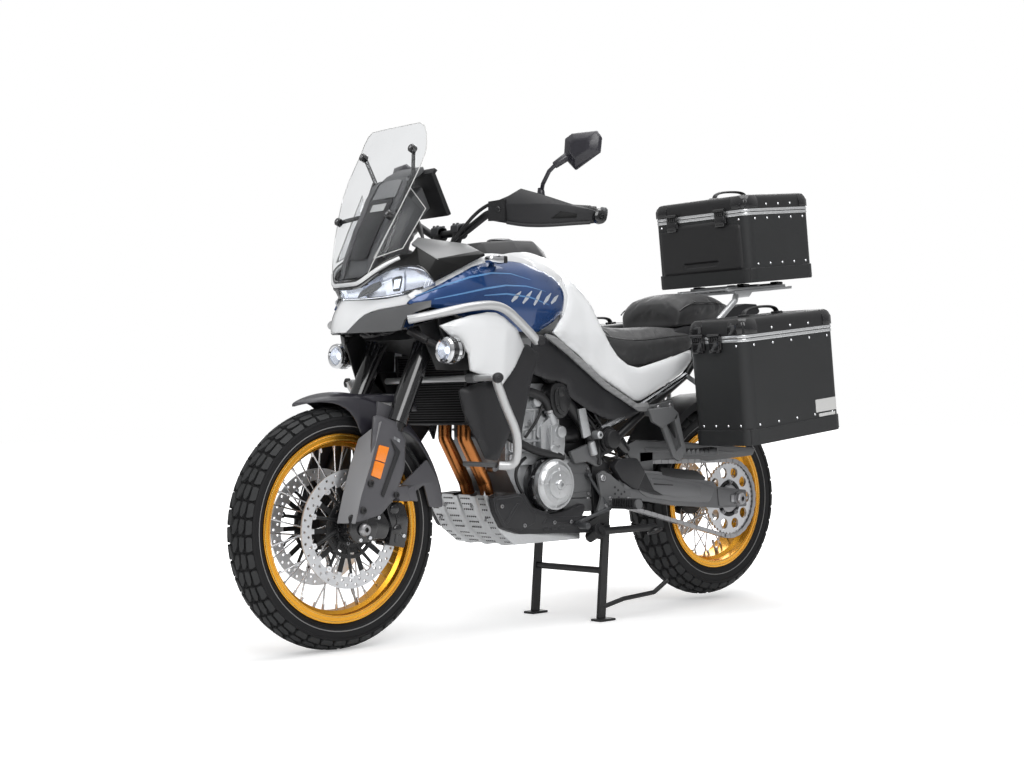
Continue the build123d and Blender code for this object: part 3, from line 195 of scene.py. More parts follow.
class SurfaceGroups:
    """The shader node groups that the materials share."""

    BROAD_SCALE = 7.0
    # the paler grey on sharp edges: partly wear, partly painted highlight
    WEAR_AND_HIGHLIGHT_COLOUR = (0.42, 0.42, 0.43, 1)

    def __init__(self) -> None:
        """Builds each group once."""
        self.tone = self._tone()
        self.relief = self._relief()
        self.edge = self._edge()
        self.ring = self._ring()

    @staticmethod
    def _new(name: str, inputs: dict[str, tuple[str, object]], outputs: dict[str, str]):
        """Makes an empty group with its sockets.

        Args:
            name: The group's name.
            inputs: Each input's socket type and start value.
            outputs: Each output's socket type.

        Returns:
            The tree, its input node and its output node.
        """
        tree = bpy.data.node_groups.new(name, "ShaderNodeTree")
        for label, (kind, value) in inputs.items():
            socket = tree.interface.new_socket(label, in_out="INPUT", socket_type="NodeSocket" + kind)
            if value is not None:
                socket.default_value = value
        for label, kind in outputs.items():
            tree.interface.new_socket(label, in_out="OUTPUT", socket_type="NodeSocket" + kind)
        return tree, tree.nodes.new("NodeGroupInput"), tree.nodes.new("NodeGroupOutput")

    def _tone(self):
        """Slow and fine changes of colour and roughness over a surface, and a paler grey along sharp edges
        that is partly wear, partly painted highlight.
        """
        tree, start, end = self._new(
            "surface_tone",
            {"Vector": ("Vector", None), "Colour": ("Color", (0.5, 0.5, 0.5, 1)),
             "Amount": ("Float", 0.1), "Scale": ("Float", 900.0),
             "Roughness": ("Float", 0.4), "Wear": ("Float", 0.0),
             "Edge": ("Float", 0.0)},
            {"Colour": "Color", "Roughness": "Float"})
        link = tree.links.new
        broad = tree.nodes.new("ShaderNodeTexNoise")
        broad.inputs["Scale"].default_value = self.BROAD_SCALE
        broad.inputs["Detail"].default_value = 3.0
        fine = tree.nodes.new("ShaderNodeTexNoise")
        fine.inputs["Detail"].default_value = 1.0
        for noise in (broad, fine):
            link(start.outputs["Vector"], noise.inputs["Vector"])
        link(start.outputs["Scale"], fine.inputs["Scale"])
        both = self._math(tree, "ADD", broad.outputs["Fac"], fine.outputs["Fac"])
        centred = self._math(tree, "SUBTRACT", both, 1.0)
        swing = self._math(tree, "MULTIPLY", centred, start.outputs["Amount"])
        gain = self._math(tree, "ADD", self._math(tree, "MULTIPLY", swing, 2.2), 1.0)
        shade = self._vector(tree, "SCALE", start.outputs["Colour"])
        link(gain, shade.inputs["Scale"])
        lift = tree.nodes.new("ShaderNodeMix")
        lift.data_type = "RGBA"
        lift.inputs["B"].default_value = self.WEAR_AND_HIGHLIGHT_COLOUR
        # paler edges, partly wear and partly painted highlight
        wear_and_highlight = self._math(tree, "MULTIPLY", start.outputs["Edge"], start.outputs["Wear"])
        patchy = self._math(tree, "MULTIPLY", wear_and_highlight, broad.outputs["Fac"])
        link(patchy, lift.inputs["Factor"])
        link(shade.outputs["Vector"], lift.inputs["A"])
        link(lift.outputs["Result"], end.inputs["Colour"])
        rough = self._math(tree, "ADD", start.outputs["Roughness"], self._math(tree, "MULTIPLY", swing, 0.8))
        link(rough, end.inputs["Roughness"])
        return tree

    @staticmethod
    def _fed(tree, kind: str, operation: str, *feeds):
        """A node that works on sockets or fixed values, fed in order.

        Returns:
            The node.
        """
        node = tree.nodes.new(kind)
        node.operation = operation
        for socket, feed in zip(node.inputs, feeds):
            if isinstance(feed, bpy.types.NodeSocket):
                tree.links.new(feed, socket)
            else:
                socket.default_value = feed
        return node

    def _math(self, tree, operation: str, first, second):
        """The result of a math node fed by two sockets or numbers."""
        return self._fed(tree, "ShaderNodeMath", operation, first, second).outputs[0]

    def _vector(self, tree, operation: str, *feeds):
        """A vector math node fed by sockets or vectors."""
        return self._fed(tree, "ShaderNodeVectorMath", operation, *feeds)

    def _relief(self):
        """Fine relief as a height: pebbles, sand casting or brush lines."""
        tree, start, end = self._new(
            "surface_relief",
            {"Vector": ("Vector", None), "Scale": ("Float", 900.0),
             "Cells": ("Float", 0.5), "Stretch": ("Vector", (1.0, 1.0, 1.0))},
            {"Height": "Float"})
        link = tree.links.new
        pulled = self._vector(tree, "MULTIPLY", start.outputs["Vector"], start.outputs["Stretch"])
        noise = tree.nodes.new("ShaderNodeTexNoise")
        noise.inputs["Detail"].default_value = 2.0
        cells = tree.nodes.new("ShaderNodeTexVoronoi")
        for texture in (noise, cells):
            link(pulled.outputs["Vector"], texture.inputs["Vector"])
            link(start.outputs["Scale"], texture.inputs["Scale"])
        share = self._math(tree, "MULTIPLY", cells.outputs["Distance"], start.outputs["Cells"])
        rest = self._math(tree, "SUBTRACT", 1.0, start.outputs["Cells"])
        other = self._math(tree, "MULTIPLY", noise.outputs["Fac"], rest)
        link(self._math(tree, "ADD", share, other), end.inputs["Height"])
        return tree

    def _edge(self):
        """Rounded normals along sharp edges, and a mask of those edges, which the tone paints paler as wear
        and as painted highlight.
        """
        tree, start, end = self._new(
            "rounded_edge", {"Radius": ("Float", 0.002)},
            {"Normal": "Vector", "Edge": "Float"})
        link = tree.links.new
        bevel = tree.nodes.new("ShaderNodeBevel")
        bevel.samples = 4
        link(start.outputs["Radius"], bevel.inputs["Radius"])
        geometry = tree.nodes.new("ShaderNodeNewGeometry")
        dot = self._vector(tree, "DOT_PRODUCT", bevel.outputs["Normal"], geometry.outputs["Normal"])
        turned = self._math(tree, "SUBTRACT", 1.0, dot.outputs["Value"])
        mask = self._math(tree, "MULTIPLY", turned, 6.0)
        link(self._math(tree, "MINIMUM", mask, 1.0), end.inputs["Edge"])
        link(bevel.outputs["Normal"], end.inputs["Normal"])
        return tree

    def _ring(self):
        """A mask of everything nearer than a radius to a line across the machine."""
        tree, start, end = self._new(
            "ring_zone",
            {"Vector": ("Vector", None), "Centre": ("Vector", (0.0, 0.0, 0.0)),
             "Radius": ("Float", 0.06)},
            {"Inside": "Float"})
        link = tree.links.new
        away = self._vector(tree, "SUBTRACT", start.outputs["Vector"], start.outputs["Centre"])
        flat = self._vector(tree, "MULTIPLY", away.outputs["Vector"], (1.0, 0.0, 1.0))
        length = self._vector(tree, "LENGTH", flat.outputs["Vector"])
        inside = self._math(tree, "LESS_THAN", length.outputs["Value"], start.outputs["Radius"])
        link(inside, end.inputs["Inside"])
        return tree


class Paint:
    """Makes each finish's material once and hands it out."""

    BUMP_GAIN = 2
    BUMP_DISTANCE = 0.0006
    # each texture's share of cells against noise, and how it is stretched
    RELIEF = {Texture.PEBBLED: (0.5, (1, 1, 1)), Texture.CAST: (0.15, (1, 1, 1)),
              Texture.BRUSHED: (0.0, (0.04, 1, 1)), Texture.HIDE: (0.85, (1, 1, 1))}

    def __init__(self) -> None:
        """Builds the shared groups."""
        self.groups = SurfaceGroups()
        self.made: dict[str, bpy.types.Material] = {}

    def __call__(self, finish: Finish, zone: Optional[Zone] = None, tag: str = "") -> bpy.types.Material:
        """The material of a finish.

        Args:
            finish: The finish.
            zone: A round part with another colour.
            tag: Added to the name when there is a zone.

        Returns:
            The material, made once.
        """
        name = finish.name + tag
        if name not in self.made:
            self.made[name] = self._make(name, finish, zone)
        return self.made[name]

    def _make(self, name: str, finish: Finish, zone: Optional[Zone]) -> bpy.types.Material:
        """Builds the node tree of one finish."""
        material = bpy.data.materials.new(name)
        material.use_nodes = True
        tree = material.node_tree
        link = tree.links.new
        shader = tree.nodes["Principled BSDF"]
        for socket, value in (("Metallic", finish.metallic), ("Coat Weight", finish.coat),
                              ("Coat Roughness", finish.coat_roughness), ("IOR", finish.ior),
                              ("Transmission Weight", finish.transmission), ("Sheen Weight", finish.sheen),
                              ("Specular IOR Level", finish.specular)):
            shader.inputs[socket].default_value = value
        place = tree.nodes.new("ShaderNodeTexCoord").outputs["Object"]
        tone = self._group(tree, self.groups.tone, Vector=place, Colour=(*finish.colour, 1),
                           Amount=finish.mottle, Scale=finish.scale, Roughness=finish.roughness,
                           Wear=finish.edge)
        normal = None
        if finish.bevel:
            edge = self._group(tree, self.groups.edge, Radius=finish.bevel * MM)
            link(edge.outputs["Edge"], tone.inputs["Edge"])
            normal = edge.outputs["Normal"]
        if finish.texture is not Texture.SMOOTH:
            cells, stretch = self.RELIEF[finish.texture]
            relief = self._group(tree, self.groups.relief, Vector=place, Scale=finish.scale, Cells=cells,
                                 Stretch=stretch)
            bump = tree.nodes.new("ShaderNodeBump")
            bump.inputs["Strength"].default_value = finish.bump * self.BUMP_GAIN
            bump.inputs["Distance"].default_value = self.BUMP_DISTANCE
            link(relief.outputs["Height"], bump.inputs["Height"])
            if normal:
                link(normal, bump.inputs["Normal"])
            normal = bump.outputs["Normal"]
        if normal:
            link(normal, shader.inputs["Normal"])
        colour, rough = tone.outputs["Colour"], tone.outputs["Roughness"]
        if zone:
            colour, rough = self._zone(tree, shader, zone, place, colour, rough, finish)
        link(colour, shader.inputs["Base Color"])
        link(rough, shader.inputs["Roughness"])
        if finish.glow:
            link(colour, shader.inputs["Emission Color"])
            shader.inputs["Emission Strength"].default_value = finish.glow
        return material

    def _zone(self, tree, shader, zone: Zone, place, colour, rough, finish: Finish):
        """Mixes a zone's colour, roughness and metal into a material.

        Returns:
            The mixed colour and roughness sockets.
        """
        x, z = zone.centre
        ring = self._group(tree, self.groups.ring, Vector=place, Centre=(x * MM, 0, z * MM),
                           Radius=zone.radius * MM)
        inside = ring.outputs["Inside"]
        mixed = []
        for kind, first, second in (("RGBA", colour, (*zone.colour, 1)), ("FLOAT", rough, zone.roughness),
                                    ("FLOAT", finish.metallic, zone.metallic)):
            mix = tree.nodes.new("ShaderNodeMix")
            mix.data_type = kind
            low, high = [s for s in mix.inputs if s.enabled and s.name in ("A", "B")]
            if isinstance(first, float):
                low.default_value = first
            else:
                tree.links.new(first, low)
            high.default_value = second
            tree.links.new(inside, [s for s in mix.inputs if s.enabled and s.name == "Factor"][0])
            mixed.append([s for s in mix.outputs if s.enabled][0])
        tree.links.new(mixed[2], shader.inputs["Metallic"])
        return mixed[0], mixed[1]

    @staticmethod
    def _group(tree, group, **values):
        """Places a node group with its own values.

        Returns:
            The group's node.
        """
        node = tree.nodes.new("ShaderNodeGroup")
        node.node_tree = group
        for label, value in values.items():
            if isinstance(value, bpy.types.NodeSocket):
                tree.links.new(value, node.inputs[label])
            else:
                node.inputs[label].default_value = value
        return node


# ---------------------------------------------------------------- shapes
def blend_along(table: Sequence[Point2], at: float) -> float:
    """Reads a value off a table of points, with straight runs between them.

    Args:
        table: Pairs of place and value, in rising order of place.
        at: The place to read.

    Returns:
        The value there, held at the ends.
    """
    if at <= table[0][0]:
        return table[0][1]
    for (a, low), (b, high) in zip(table, table[1:]):
        if at <= b:
            return low + (high - low) * (at - a) / (b - a)
    return table[-1][1]


def eased(value: float) -> float:
    """A soft step from 0 to 1."""
    held = min(1.0, max(0.0, value))
    return held * held * (3 - 2 * held)


def around(centre: Point2, radius: float, turn: float, y: float) -> Point3:
    """A point on a circle round a line across the machine."""
    return (centre[0] + radius * math.cos(turn), y, centre[1] + radius * math.sin(turn))


def turns(count: int, shift: float = 0.0) -> list[float]:
    """Evenly spaced angles, the first moved on by a share of the spacing."""
    return [math.tau * (i + shift) / count for i in range(count)]


def extruded(bm: BMesh, by: Sequence[float]) -> None:
    """Gives every face thickness: a copy of it moved by a vector, with walls between."""
    new = bmesh.ops.extrude_face_region(bm, geom=list(bm.faces))
    bmesh.ops.translate(bm, vec=by, verts=[v for v in new["geom"] if isinstance(v, bmesh.types.BMVert)])
    bmesh.ops.recalc_face_normals(bm, faces=bm.faces)


def cut(bm: BMesh, place: Sequence[float], normal: Sequence[float], dist: float = 0.01) -> None:
    """Cuts every face where a plane meets it."""
    bmesh.ops.bisect_plane(bm, geom=[*bm.verts, *bm.edges, *bm.faces], dist=dist, plane_co=place,
                           plane_no=normal)


def rounded(bm: BMesh, face: bmesh.types.BMFace, width: float, segments: int) -> None:
    """Rounds the corners of a flat face."""
    bmesh.ops.bevel(bm, geom=list(face.verts), offset=width, segments=segments, profile=0.5,
                    affect="VERTICES", material=-1, clamp_overlap=True)


def soften(bm: BMesh, width: float, segments: int = 2, angle: float = 30.0) -> None:
    """Bevels every edge that is sharper than an angle."""
    limit = math.radians(angle)
    edges = [e for e in bm.edges if len(e.link_faces) == 2 and e.calc_face_angle(0.0) > limit]
    bmesh.ops.bevel(bm, geom=edges, offset=width, segments=segments, profile=0.5, affect="EDGES",
                    material=-1, clamp_overlap=True)


def box(low: Point3, high: Point3, bevel: float = 0.0) -> BMesh:
    """A block between two corners, with soft edges."""
    bm = bmesh.new()
    size = [b - a for a, b in zip(low, high)]
    middle = [(a + b) / 2 for a, b in zip(low, high)]
    bmesh.ops.create_cube(bm, size=1.0, matrix=Matrix.Translation(middle) @ Matrix.Diagonal((*size, 1)))
    if bevel:
        soften(bm, bevel)
    return bm


def bar(start: Point3, end: Point3, r0: float, r1: Optional[float] = None, sides: int = 20,
        bevel: float = 0.0) -> BMesh:
    """A round bar or cone between two points."""
    a, b = Vector(start), Vector(end)
    along = b - a
    turn = along.to_track_quat("Z", "Y").to_matrix().to_4x4()
    bm = bmesh.new()
    bmesh.ops.create_cone(bm, cap_ends=True, segments=sides, radius1=r0, radius2=r0 if r1 is None else r1,
                          depth=along.length, matrix=Matrix.Translation((a + b) / 2) @ turn)
    if bevel:
        soften(bm, bevel, angle=50)
    return bm


def turned(profile: Sequence[Point2], centre: Point3, axis: Point3 = (0, 1, 0), steps: int = 48) -> BMesh:
    """A closed profile of (radius, distance along the axis) spun right round an axis."""
    bm = bmesh.new()
    line = Vector(axis).normalized()
    out = line.orthogonal().normalized()
    verts = [bm.verts.new(Vector(centre) + out * r + line * d) for r, d in profile]
    edges = [bm.edges.new((verts[i], verts[(i + 1) % len(verts)])) for i in range(len(verts))]
    bmesh.ops.spin(bm, geom=[*verts, *edges], cent=centre, axis=line, angle=math.tau, steps=steps,
                   use_merge=True)
    bmesh.ops.recalc_face_normals(bm, faces=bm.faces)
    return bm


def ring(centre: Point3, axis: Point3, radius: float, tube: float, steps: int = 40) -> BMesh:
    """A round ring of round section."""
    profile = [(radius + tube * math.cos(a), tube * math.sin(a)) for a in turns(8)]
    return turned(profile, centre, axis, steps)


def slab(outline: Sequence[Point2], low: float, high: float, plane: str = "xz", bevel: float = 0.0,
         corner: float = 0.0) -> BMesh:
    """A flat outline given thickness.

    Args:
        outline: The corners, in the plane's two directions.
        low: Where the thickness starts.
        high: Where it ends.
        plane: "xz" seen from the side, "xy" from above, "yz" from the front.
        bevel: Soft edge's width.
        corner: How far each corner of the outline is rounded.

    Returns:
        The mesh.
    """
    bm = bmesh.new()
    order = {"xz": lambda a, b: (a, low, b), "xy": lambda a, b: (a, b, low), "yz": lambda a,
             b: (low, a, b)}[plane]
    along = {"xz": (0, high - low, 0), "xy": (0, 0, high - low), "yz": (high - low, 0, 0)}[plane]
    face = bm.faces.new([bm.verts.new(order(a, b)) for a, b in outline])
    if corner:
        rounded(bm, face, corner, 4)
    extruded(bm, along)
    if bevel:
        soften(bm, bevel)
    return bm


def pipe(points: Sequence[Point3], radius: float, sides: int = 4, smooth: bool = True) -> BMesh:
    """A round hose or tube along a smooth line through its control points."""
    curve = bpy.data.curves.new("line", "CURVE")
    curve.dimensions = "3D"
    curve.bevel_depth = radius
    curve.bevel_resolution = sides
    curve.use_fill_caps = True
    spline = curve.splines.new("NURBS" if smooth else "POLY")
    spline.points.add(len(points) - 1)
    for point, place in zip(spline.points, points):
        point.co = (*place, 1)
    if smooth:
        spline.order_u = 3
        spline.use_endpoint_u = True
        spline.resolution_u = 8
    holder = bpy.data.objects.new("line", curve)
    mesh = bpy.data.meshes.new_from_object(holder)
    bm = bmesh.new()
    bm.from_mesh(mesh)
    bpy.data.objects.remove(holder)
    bpy.data.meshes.remove(mesh)
    bpy.data.curves.remove(curve)
    bmesh.ops.remove_doubles(bm, verts=bm.verts, dist=0.01)
    return bm


def finished(name: str, bm: BMesh) -> bpy.types.Mesh:
    """A mesh that objects can use, from one that is used up."""
    mesh = bpy.data.meshes.new(name)
    bm.to_mesh(mesh)
    bm.free()
    return mesh


def placed(name: str, data: bpy.types.ID) -> bpy.types.Object:
    """A new object in the scene."""
    thing = bpy.data.objects.new(name, data)
    bpy.context.scene.collection.objects.link(thing)
    return thing


def joined(parts: Iterable[BMesh]) -> BMesh:
    """Several meshes as one."""
    whole = bmesh.new()
    for part in parts:
        mesh = finished("part", part)
        whole.from_mesh(mesh)
        bpy.data.meshes.remove(mesh)
    return whole


def moved(bm: BMesh, matrix: Matrix) -> BMesh:
    """The same mesh, moved in place."""
    bmesh.ops.transform(bm, matrix=matrix, verts=bm.verts)
    return bm


def mirrored(bm: BMesh) -> BMesh:
    """The same mesh, turned into its mirror image on the machine's other side."""
    bmesh.ops.scale(bm, vec=(1, -1, 1), verts=bm.verts)
    bmesh.ops.reverse_faces(bm, faces=bm.faces)
    return bm


def twin(bm: BMesh) -> BMesh:
    """The mesh and its mirror image on the machine's other side."""
    return joined([bm, mirrored(bm.copy())])


def panel(outline: Sequence[Point2], out: Callable[[float, float], float], thickness: float,
          roll: float = 8.0, reach: float = 22.0, cell: float = 16.0, corner: float = 6.0) -> BMesh:
    """A moulded side panel: an outline seen from the side, curved outwards, its rim rolled in.

    Args:
        outline: (x, z) corners.
        out: How far out from the middle plane the panel's skin is at (x, z).
        thickness: The wall's thickness.
        roll: How far the rim turns in.
        reach: How wide the rolled band is.
        cell: The mesh's spacing.
        corner: How far each corner of the outline is rounded.

    Returns:
        The mesh of the left panel.
    """
    bm = bmesh.new()
    face = bm.faces.new([bm.verts.new((x, 0, z)) for x, z in outline])
    if corner:
        rounded(bm, face, corner, 3)
    rim = [(v.co.x, v.co.z) for v in list(bm.faces)[0].verts]
    for axis, index in (((1, 0, 0), 0), ((0, 0, 1), 1)):
        low, high = min(p[index] for p in rim), max(p[index] for p in rim)
        for step in range(1, int((high - low) / cell) + 1):
            place = low + (high - low) * step / (int((high - low) / cell) + 1)
            cut(bm, (place, 0, place), axis)
    bmesh.ops.triangulate(bm, faces=[f for f in bm.faces if len(f.verts) > 4])
    for vert in bm.verts:
        near = rim_distance(rim, vert.co.x, vert.co.z)
        turned_in = roll * (1 - math.sqrt(max(0.0, 1 - (1 - min(1.0, near / reach)) ** 2)))
        vert.co.y = out(vert.co.x, vert.co.z) - turned_in
    bmesh.ops.recalc_face_normals(bm, faces=bm.faces)
    if sum(f.normal.y for f in bm.faces) < 0:
        bmesh.ops.reverse_faces(bm, faces=bm.faces)
    extruded(bm, (0, -thickness, 0))
    return bm


def rim_distance(rim: Sequence[Point2], x: float, z: float) -> float:
    """How far a point is from an outline's nearest edge."""
    best = math.inf
    for (ax, az), (bx, bz) in zip(rim, [*rim[1:], rim[0]]):
        dx, dz = bx - ax, bz - az
        along = ((x - ax) * dx + (z - az) * dz) / max(1e-9, dx * dx + dz * dz)
        along = min(1.0, max(0.0, along))
        best = min(best, math.hypot(x - ax - along * dx, z - az - along * dz))
    return best


def loft(sections: Sequence[Sequence[Point3]]) -> BMesh:
    """A closed skin through rings with equal counts of points, capped at both ends."""
    bm = bmesh.new()
    loops = []
    for section in sections:
        verts = [bm.verts.new(p) for p in section]
        loops.append([bm.edges.new((verts[i], verts[(i + 1) % len(verts)])) for i in range(len(verts))])
    for first, second in zip(loops, loops[1:]):
        bmesh.ops.bridge_loops(bm, edges=[*first, *second])
    for end in (loops[0], loops[-1]):
        bmesh.ops.contextual_create(bm, geom=end)
    bmesh.ops.recalc_face_normals(bm, faces=bm.faces)
    return bm


def facets(points: Sequence[Point3], faces: Sequence[Sequence[int]], depth: float) -> BMesh:
    """Flat faces over numbered points, given thickness away from the outside, with soft edges."""
    bm = bmesh.new()
    verts = [bm.verts.new(p) for p in points]
    for face in faces:
        bm.faces.new([verts[i] for i in face])
    bmesh.ops.recalc_face_normals(bm, faces=bm.faces)
    extruded(bm, (-depth * 0.5, -depth * 0.4, -depth * 0.6))
    soften(bm, min(1.6, depth * 0.3), 2, 20)
    return bm


def bolt(place: Point3, axis: Point3, radius: float, height: float) -> BMesh:
    """A domed screw head with a six-sided recess."""
    depth = height * 0.55
    profile = [(radius * 0.45, height - depth), (radius * 0.5, height), (radius * 0.8, height),
               (radius, height * 0.6), (radius, 0), (radius * 0.3, 0)]
    head = turned(profile, place, axis, 12)
    line = Vector(axis).normalized()
    floor = Vector(place) + line * (height - depth)
    plug = bar(tuple(floor - line * depth), tuple(floor), radius * 0.5, sides=6)
    return joined([head, plug])


class Assembly:
    """Hands finished pieces over to the frame."""

    def __init__(self, paint: Paint) -> None:
        """Keeps the paint that dresses each piece."""
        self.paint = paint
        self.count = 0

    def add(self, name: str, bm: BMesh, finish: Finish, stands_for: Sequence[str] = (), body: str = "chassis",
            subdivide: int = 0) -> bpy.types.Object:
        """Makes a piece from a mesh in millimetres.

        Args:
            name: The piece's name.
            bm: Its mesh, which is used up.
            finish: Its finish.
            stands_for: The model's nodes that it replaces.
            body: The body that it rides on.
            subdivide: Levels of subdivision surface.

        Returns:
            The new object.
        """
        bmesh.ops.scale(bm, vec=(MM, MM, MM), verts=bm.verts)
        mesh = finished(name, bm)
        mesh.shade_smooth()
        mesh.set_sharp_from_angle(angle=SHARP)
        mesh.materials.append(self.paint(finish))
        piece = placed(name, mesh)
        if subdivide:
            surface = piece.modifiers.new("smooth", "SUBSURF")
            surface.levels = surface.render_levels = subdivide
        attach(piece, body)
        if stands_for:
            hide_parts(*stands_for)
        self.count += 1
        LOG.info("piece %s on %s, %d faces", name, body, len(mesh.polygons))
        return piece


# ---------------------------------------------------------------- wheels
@dataclass(frozen=True)
class WheelSize:
    """One wheel's place and sizes."""

    name: str
    body: str
    centre: Point2
    radius: float
    bead: float
    rim_width: float
    crown: float
    reach: float
    pitches: int


class Wheels:
    """Tyres with their tread, and the small parts on the rims, hubs and discs."""

    FRONT = WheelSize("front", "front_wheel", FRONT_AXLE, 329, 241.3, 76, 68, 0.92, 44)
    REAR = WheelSize("rear", "rear_wheel", REAR_AXLE, 321, 215.9, 120, 88, 0.95, 40)
    GROOVE = 8.0
    # one pitch of the left half: (share of the pitch, share of the half tread)
    BLOCKS = (
        ((0.06, 0.03), (0.56, 0.03), (0.96, 0.20), (0.90, 0.36), (0.40, 0.33), (0.05, 0.15)),
        ((0.12, 0.42), (0.50, 0.40), (0.98, 0.46), (0.90, 0.66), (0.30, 0.64), (0.04, 0.52)),
        ((0.04, 0.71), (0.86, 0.73), (0.94, 0.84), (0.86, 1.00), (0.12, 1.00), (0.02, 0.84)),
    )

    def build(self, shop: Assembly) -> None:
        """Builds both wheels."""
        for wheel in (self.FRONT, self.REAR):
            for name, bm, finish, nodes in (
                    ("tyre_body", self.carcass(wheel), Finishes.TYRE_WALL, [f"{wheel.name}_tyre"]),
                    ("tyre_tread", self.tread(wheel), Finishes.TYRE, ()),
                    ("tyre_lines", self.mould_lines(wheel), Finishes.MOULD_LINE, ()),
                    ("rim_edges", self.rim_edges(wheel), Finishes.GOLD_HIGHLIGHT, ()),
                    ("spoke_nipples", self.nipples(wheel), Finishes.SPOKES, ()),
                    ("valve", self.valve(wheel), Finishes.STEEL, ())):
                shop.add(f"{wheel.name}_{name}", bm, finish, nodes, wheel.body)
        self.front_parts(shop)
        self.rear_parts(shop)

    def crown(self, wheel: WheelSize, arc: float, rise: float) -> Point2:
        """Width and radius of a point on the tread.

        Args:
            wheel: The wheel.
            arc: Angle round the crown, in radians.
            rise: Height over the tread's outside.

        Returns:
            Distance from the middle plane, and from the axle.
        """
        around = wheel.crown + rise
        return around * math.sin(arc), wheel.radius - wheel.crown + around * math.cos(arc)

    def carcass(self, wheel: WheelSize) -> BMesh:
        """The tyre under its tread, with a ridge and a rim guard on each wall."""
        half = [self.crown(wheel, wheel.reach * i / 5, -self.GROOVE) for i in range(6)]
        shoulder_y, shoulder_r = self.crown(wheel, wheel.reach, -2)
        wall = shoulder_r - wheel.bead - 14
        bead_y = wheel.rim_width / 2 - 6
        half += [(shoulder_y, shoulder_r - 1), (shoulder_y + 1.2, shoulder_r - 0.16 * wall),
                 (shoulder_y - 1.6, shoulder_r - 0.18 * wall), (shoulder_y - 2.2, shoulder_r - 0.42 * wall),
                 (shoulder_y - 7, shoulder_r - 0.66 * wall), (shoulder_y - 9, shoulder_r - 0.74 * wall),
                 (shoulder_y - 7.6, shoulder_r - 0.78 * wall), (bead_y + 1, wheel.bead + 15),
                 (bead_y, wheel.bead + 2)]
        inner = [(bead_y - 8, wheel.bead + 2), (shoulder_y - 22, shoulder_r - 0.5 * wall),
                 (0, wheel.radius - 24)]
        profile = [(r, y) for y, r in half + inner] + [(r, -y) for y, r in reversed(half + inner[:-1])
                                                       if y > 0.01]
        x, z = wheel.centre
        return turned(profile, (x, 0, z), steps=96)

    def mould_lines(self, wheel: WheelSize) -> BMesh:
        """The thin pale line round each wall of a tyre."""
        x, z = wheel.centre
        shoulder_y, shoulder_r = self.crown(wheel, wheel.reach, -2)
        wall = shoulder_r - wheel.bead - 14
        return joined(ring((x, side * (shoulder_y - 5), z), (0, 1, 0), shoulder_r - 0.56 * wall, 1.5, 96)
                      for side in SIDES)

    @staticmethod
    def rim_edges(wheel: WheelSize) -> BMesh:
        """Bright gold rings round the rim's flanges: painted highlight along their turned edges."""
        x, z = wheel.centre
        return joined(ring((x, side * (wheel.rim_width / 2 + out), z), (0, 1, 0), wheel.bead + grow, 1.6, 96)
                      for side in SIDES for out, grow in ((0.6, 9), (0.4, -3)))

    def tread(self, wheel: WheelSize) -> BMesh:
        """Interlocking blocks round the crown and over the shoulders."""
        whole = bmesh.new()
        for side in SIDES:
            mesh = finished("pattern", joined(self.block(points, side) for points in self.BLOCKS))
            for pitch in range(wheel.pitches):
                start = len(whole.verts)
                whole.from_mesh(mesh)
                whole.verts.ensure_lookup_table()
                for vert in whole.verts[start:]:
                    along, across, rise = vert.co
                    share = along + pitch + (0.5 if side < 0 else 0.0)
                    turn = math.tau * share / wheel.pitches
                    width, away = self.crown(wheel, across * wheel.reach, rise)
                    vert.co = around(wheel.centre, away, turn, width)
            bpy.data.meshes.remove(mesh)
        bmesh.ops.recalc_face_normals(whole, faces=whole.faces)
        return whole

    def block(self, points: Sequence[Point2], side: int) -> BMesh:
        """One tread block, flat: along the pitch, across the tread and up."""
        bm = bmesh.new()
        face = bm.faces.new([bm.verts.new((u, side * v, -self.GROOVE - 0.5)) for u, v in points])
        top = bmesh.ops.extrude_face_region(bm, geom=[face])
        lifted = [v for v in top["geom"] if isinstance(v, bmesh.types.BMVert)]
        middle = sum((v.co for v in lifted), Vector()) / len(lifted)
        for vert in lifted:
            vert.co = middle + (vert.co - middle) * 0.93
            vert.co.z = -0.02
        places = sorted(abs(v) for _, v in points)
        cut(bm, (0, side * (places[0] + places[-1]) / 2, 0), (0, 1, 0), 1e-4)
        return bm

    @staticmethod
    def nipples(wheel: WheelSize) -> BMesh:
        """A nipple on the rim at each spoke."""
        x, z = wheel.centre
        parts = []
        for i, turn in enumerate(turns(36)):
            side = 5 if i % 2 else -5
            line = Vector((math.cos(turn), 0, math.sin(turn)))
            foot = Vector((x, side, z)) + line * (wheel.bead - 34)
            parts.append(bar(tuple(foot), tuple(foot + line * 24), 3.4, 4.4, sides=8))
        return joined(parts)

    @staticmethod
    def valve(wheel: WheelSize) -> BMesh:
        """The valve stem and its cap, low on the rim."""
        x, z = wheel.centre
        line = Vector((math.cos(-1.9), 0, math.sin(-1.9)))
        foot = Vector((x, 0, z)) + line * (wheel.bead - 58)
        return joined([bar(tuple(foot), tuple(foot + line * 42), 3.2, sides=12),
                       bar(tuple(foot - line * 4), tuple(foot + line * 12), 4.6, sides=10)])

    @staticmethod
    def bobbins(centre: Point2, reach: float, y: float, size: float, sides: Sequence[int],
                count: int) -> BMesh:
        """Round heads that hold a disc on its carrier.

        Args:
            centre: The wheel's axle.
            reach: How far they lie from it.
            y: How far they lie from the middle plane.
            size: The radius of a head's face.
            sides: 1 for the left side, -1 for the right.
            count: How many there are on a side.

        Returns:
            The mesh.
        """
        foot = 3.0 - size
        profile = [(2.5, 2.5), (size, 2.5), (size + 1, 0), (size + 1, foot), (2.5, foot)]
        return joined(turned(profile, around(centre, reach, turn, side * y), (0, side, 0), 12)
                      for side in sides for turn in turns(count, 0.5))

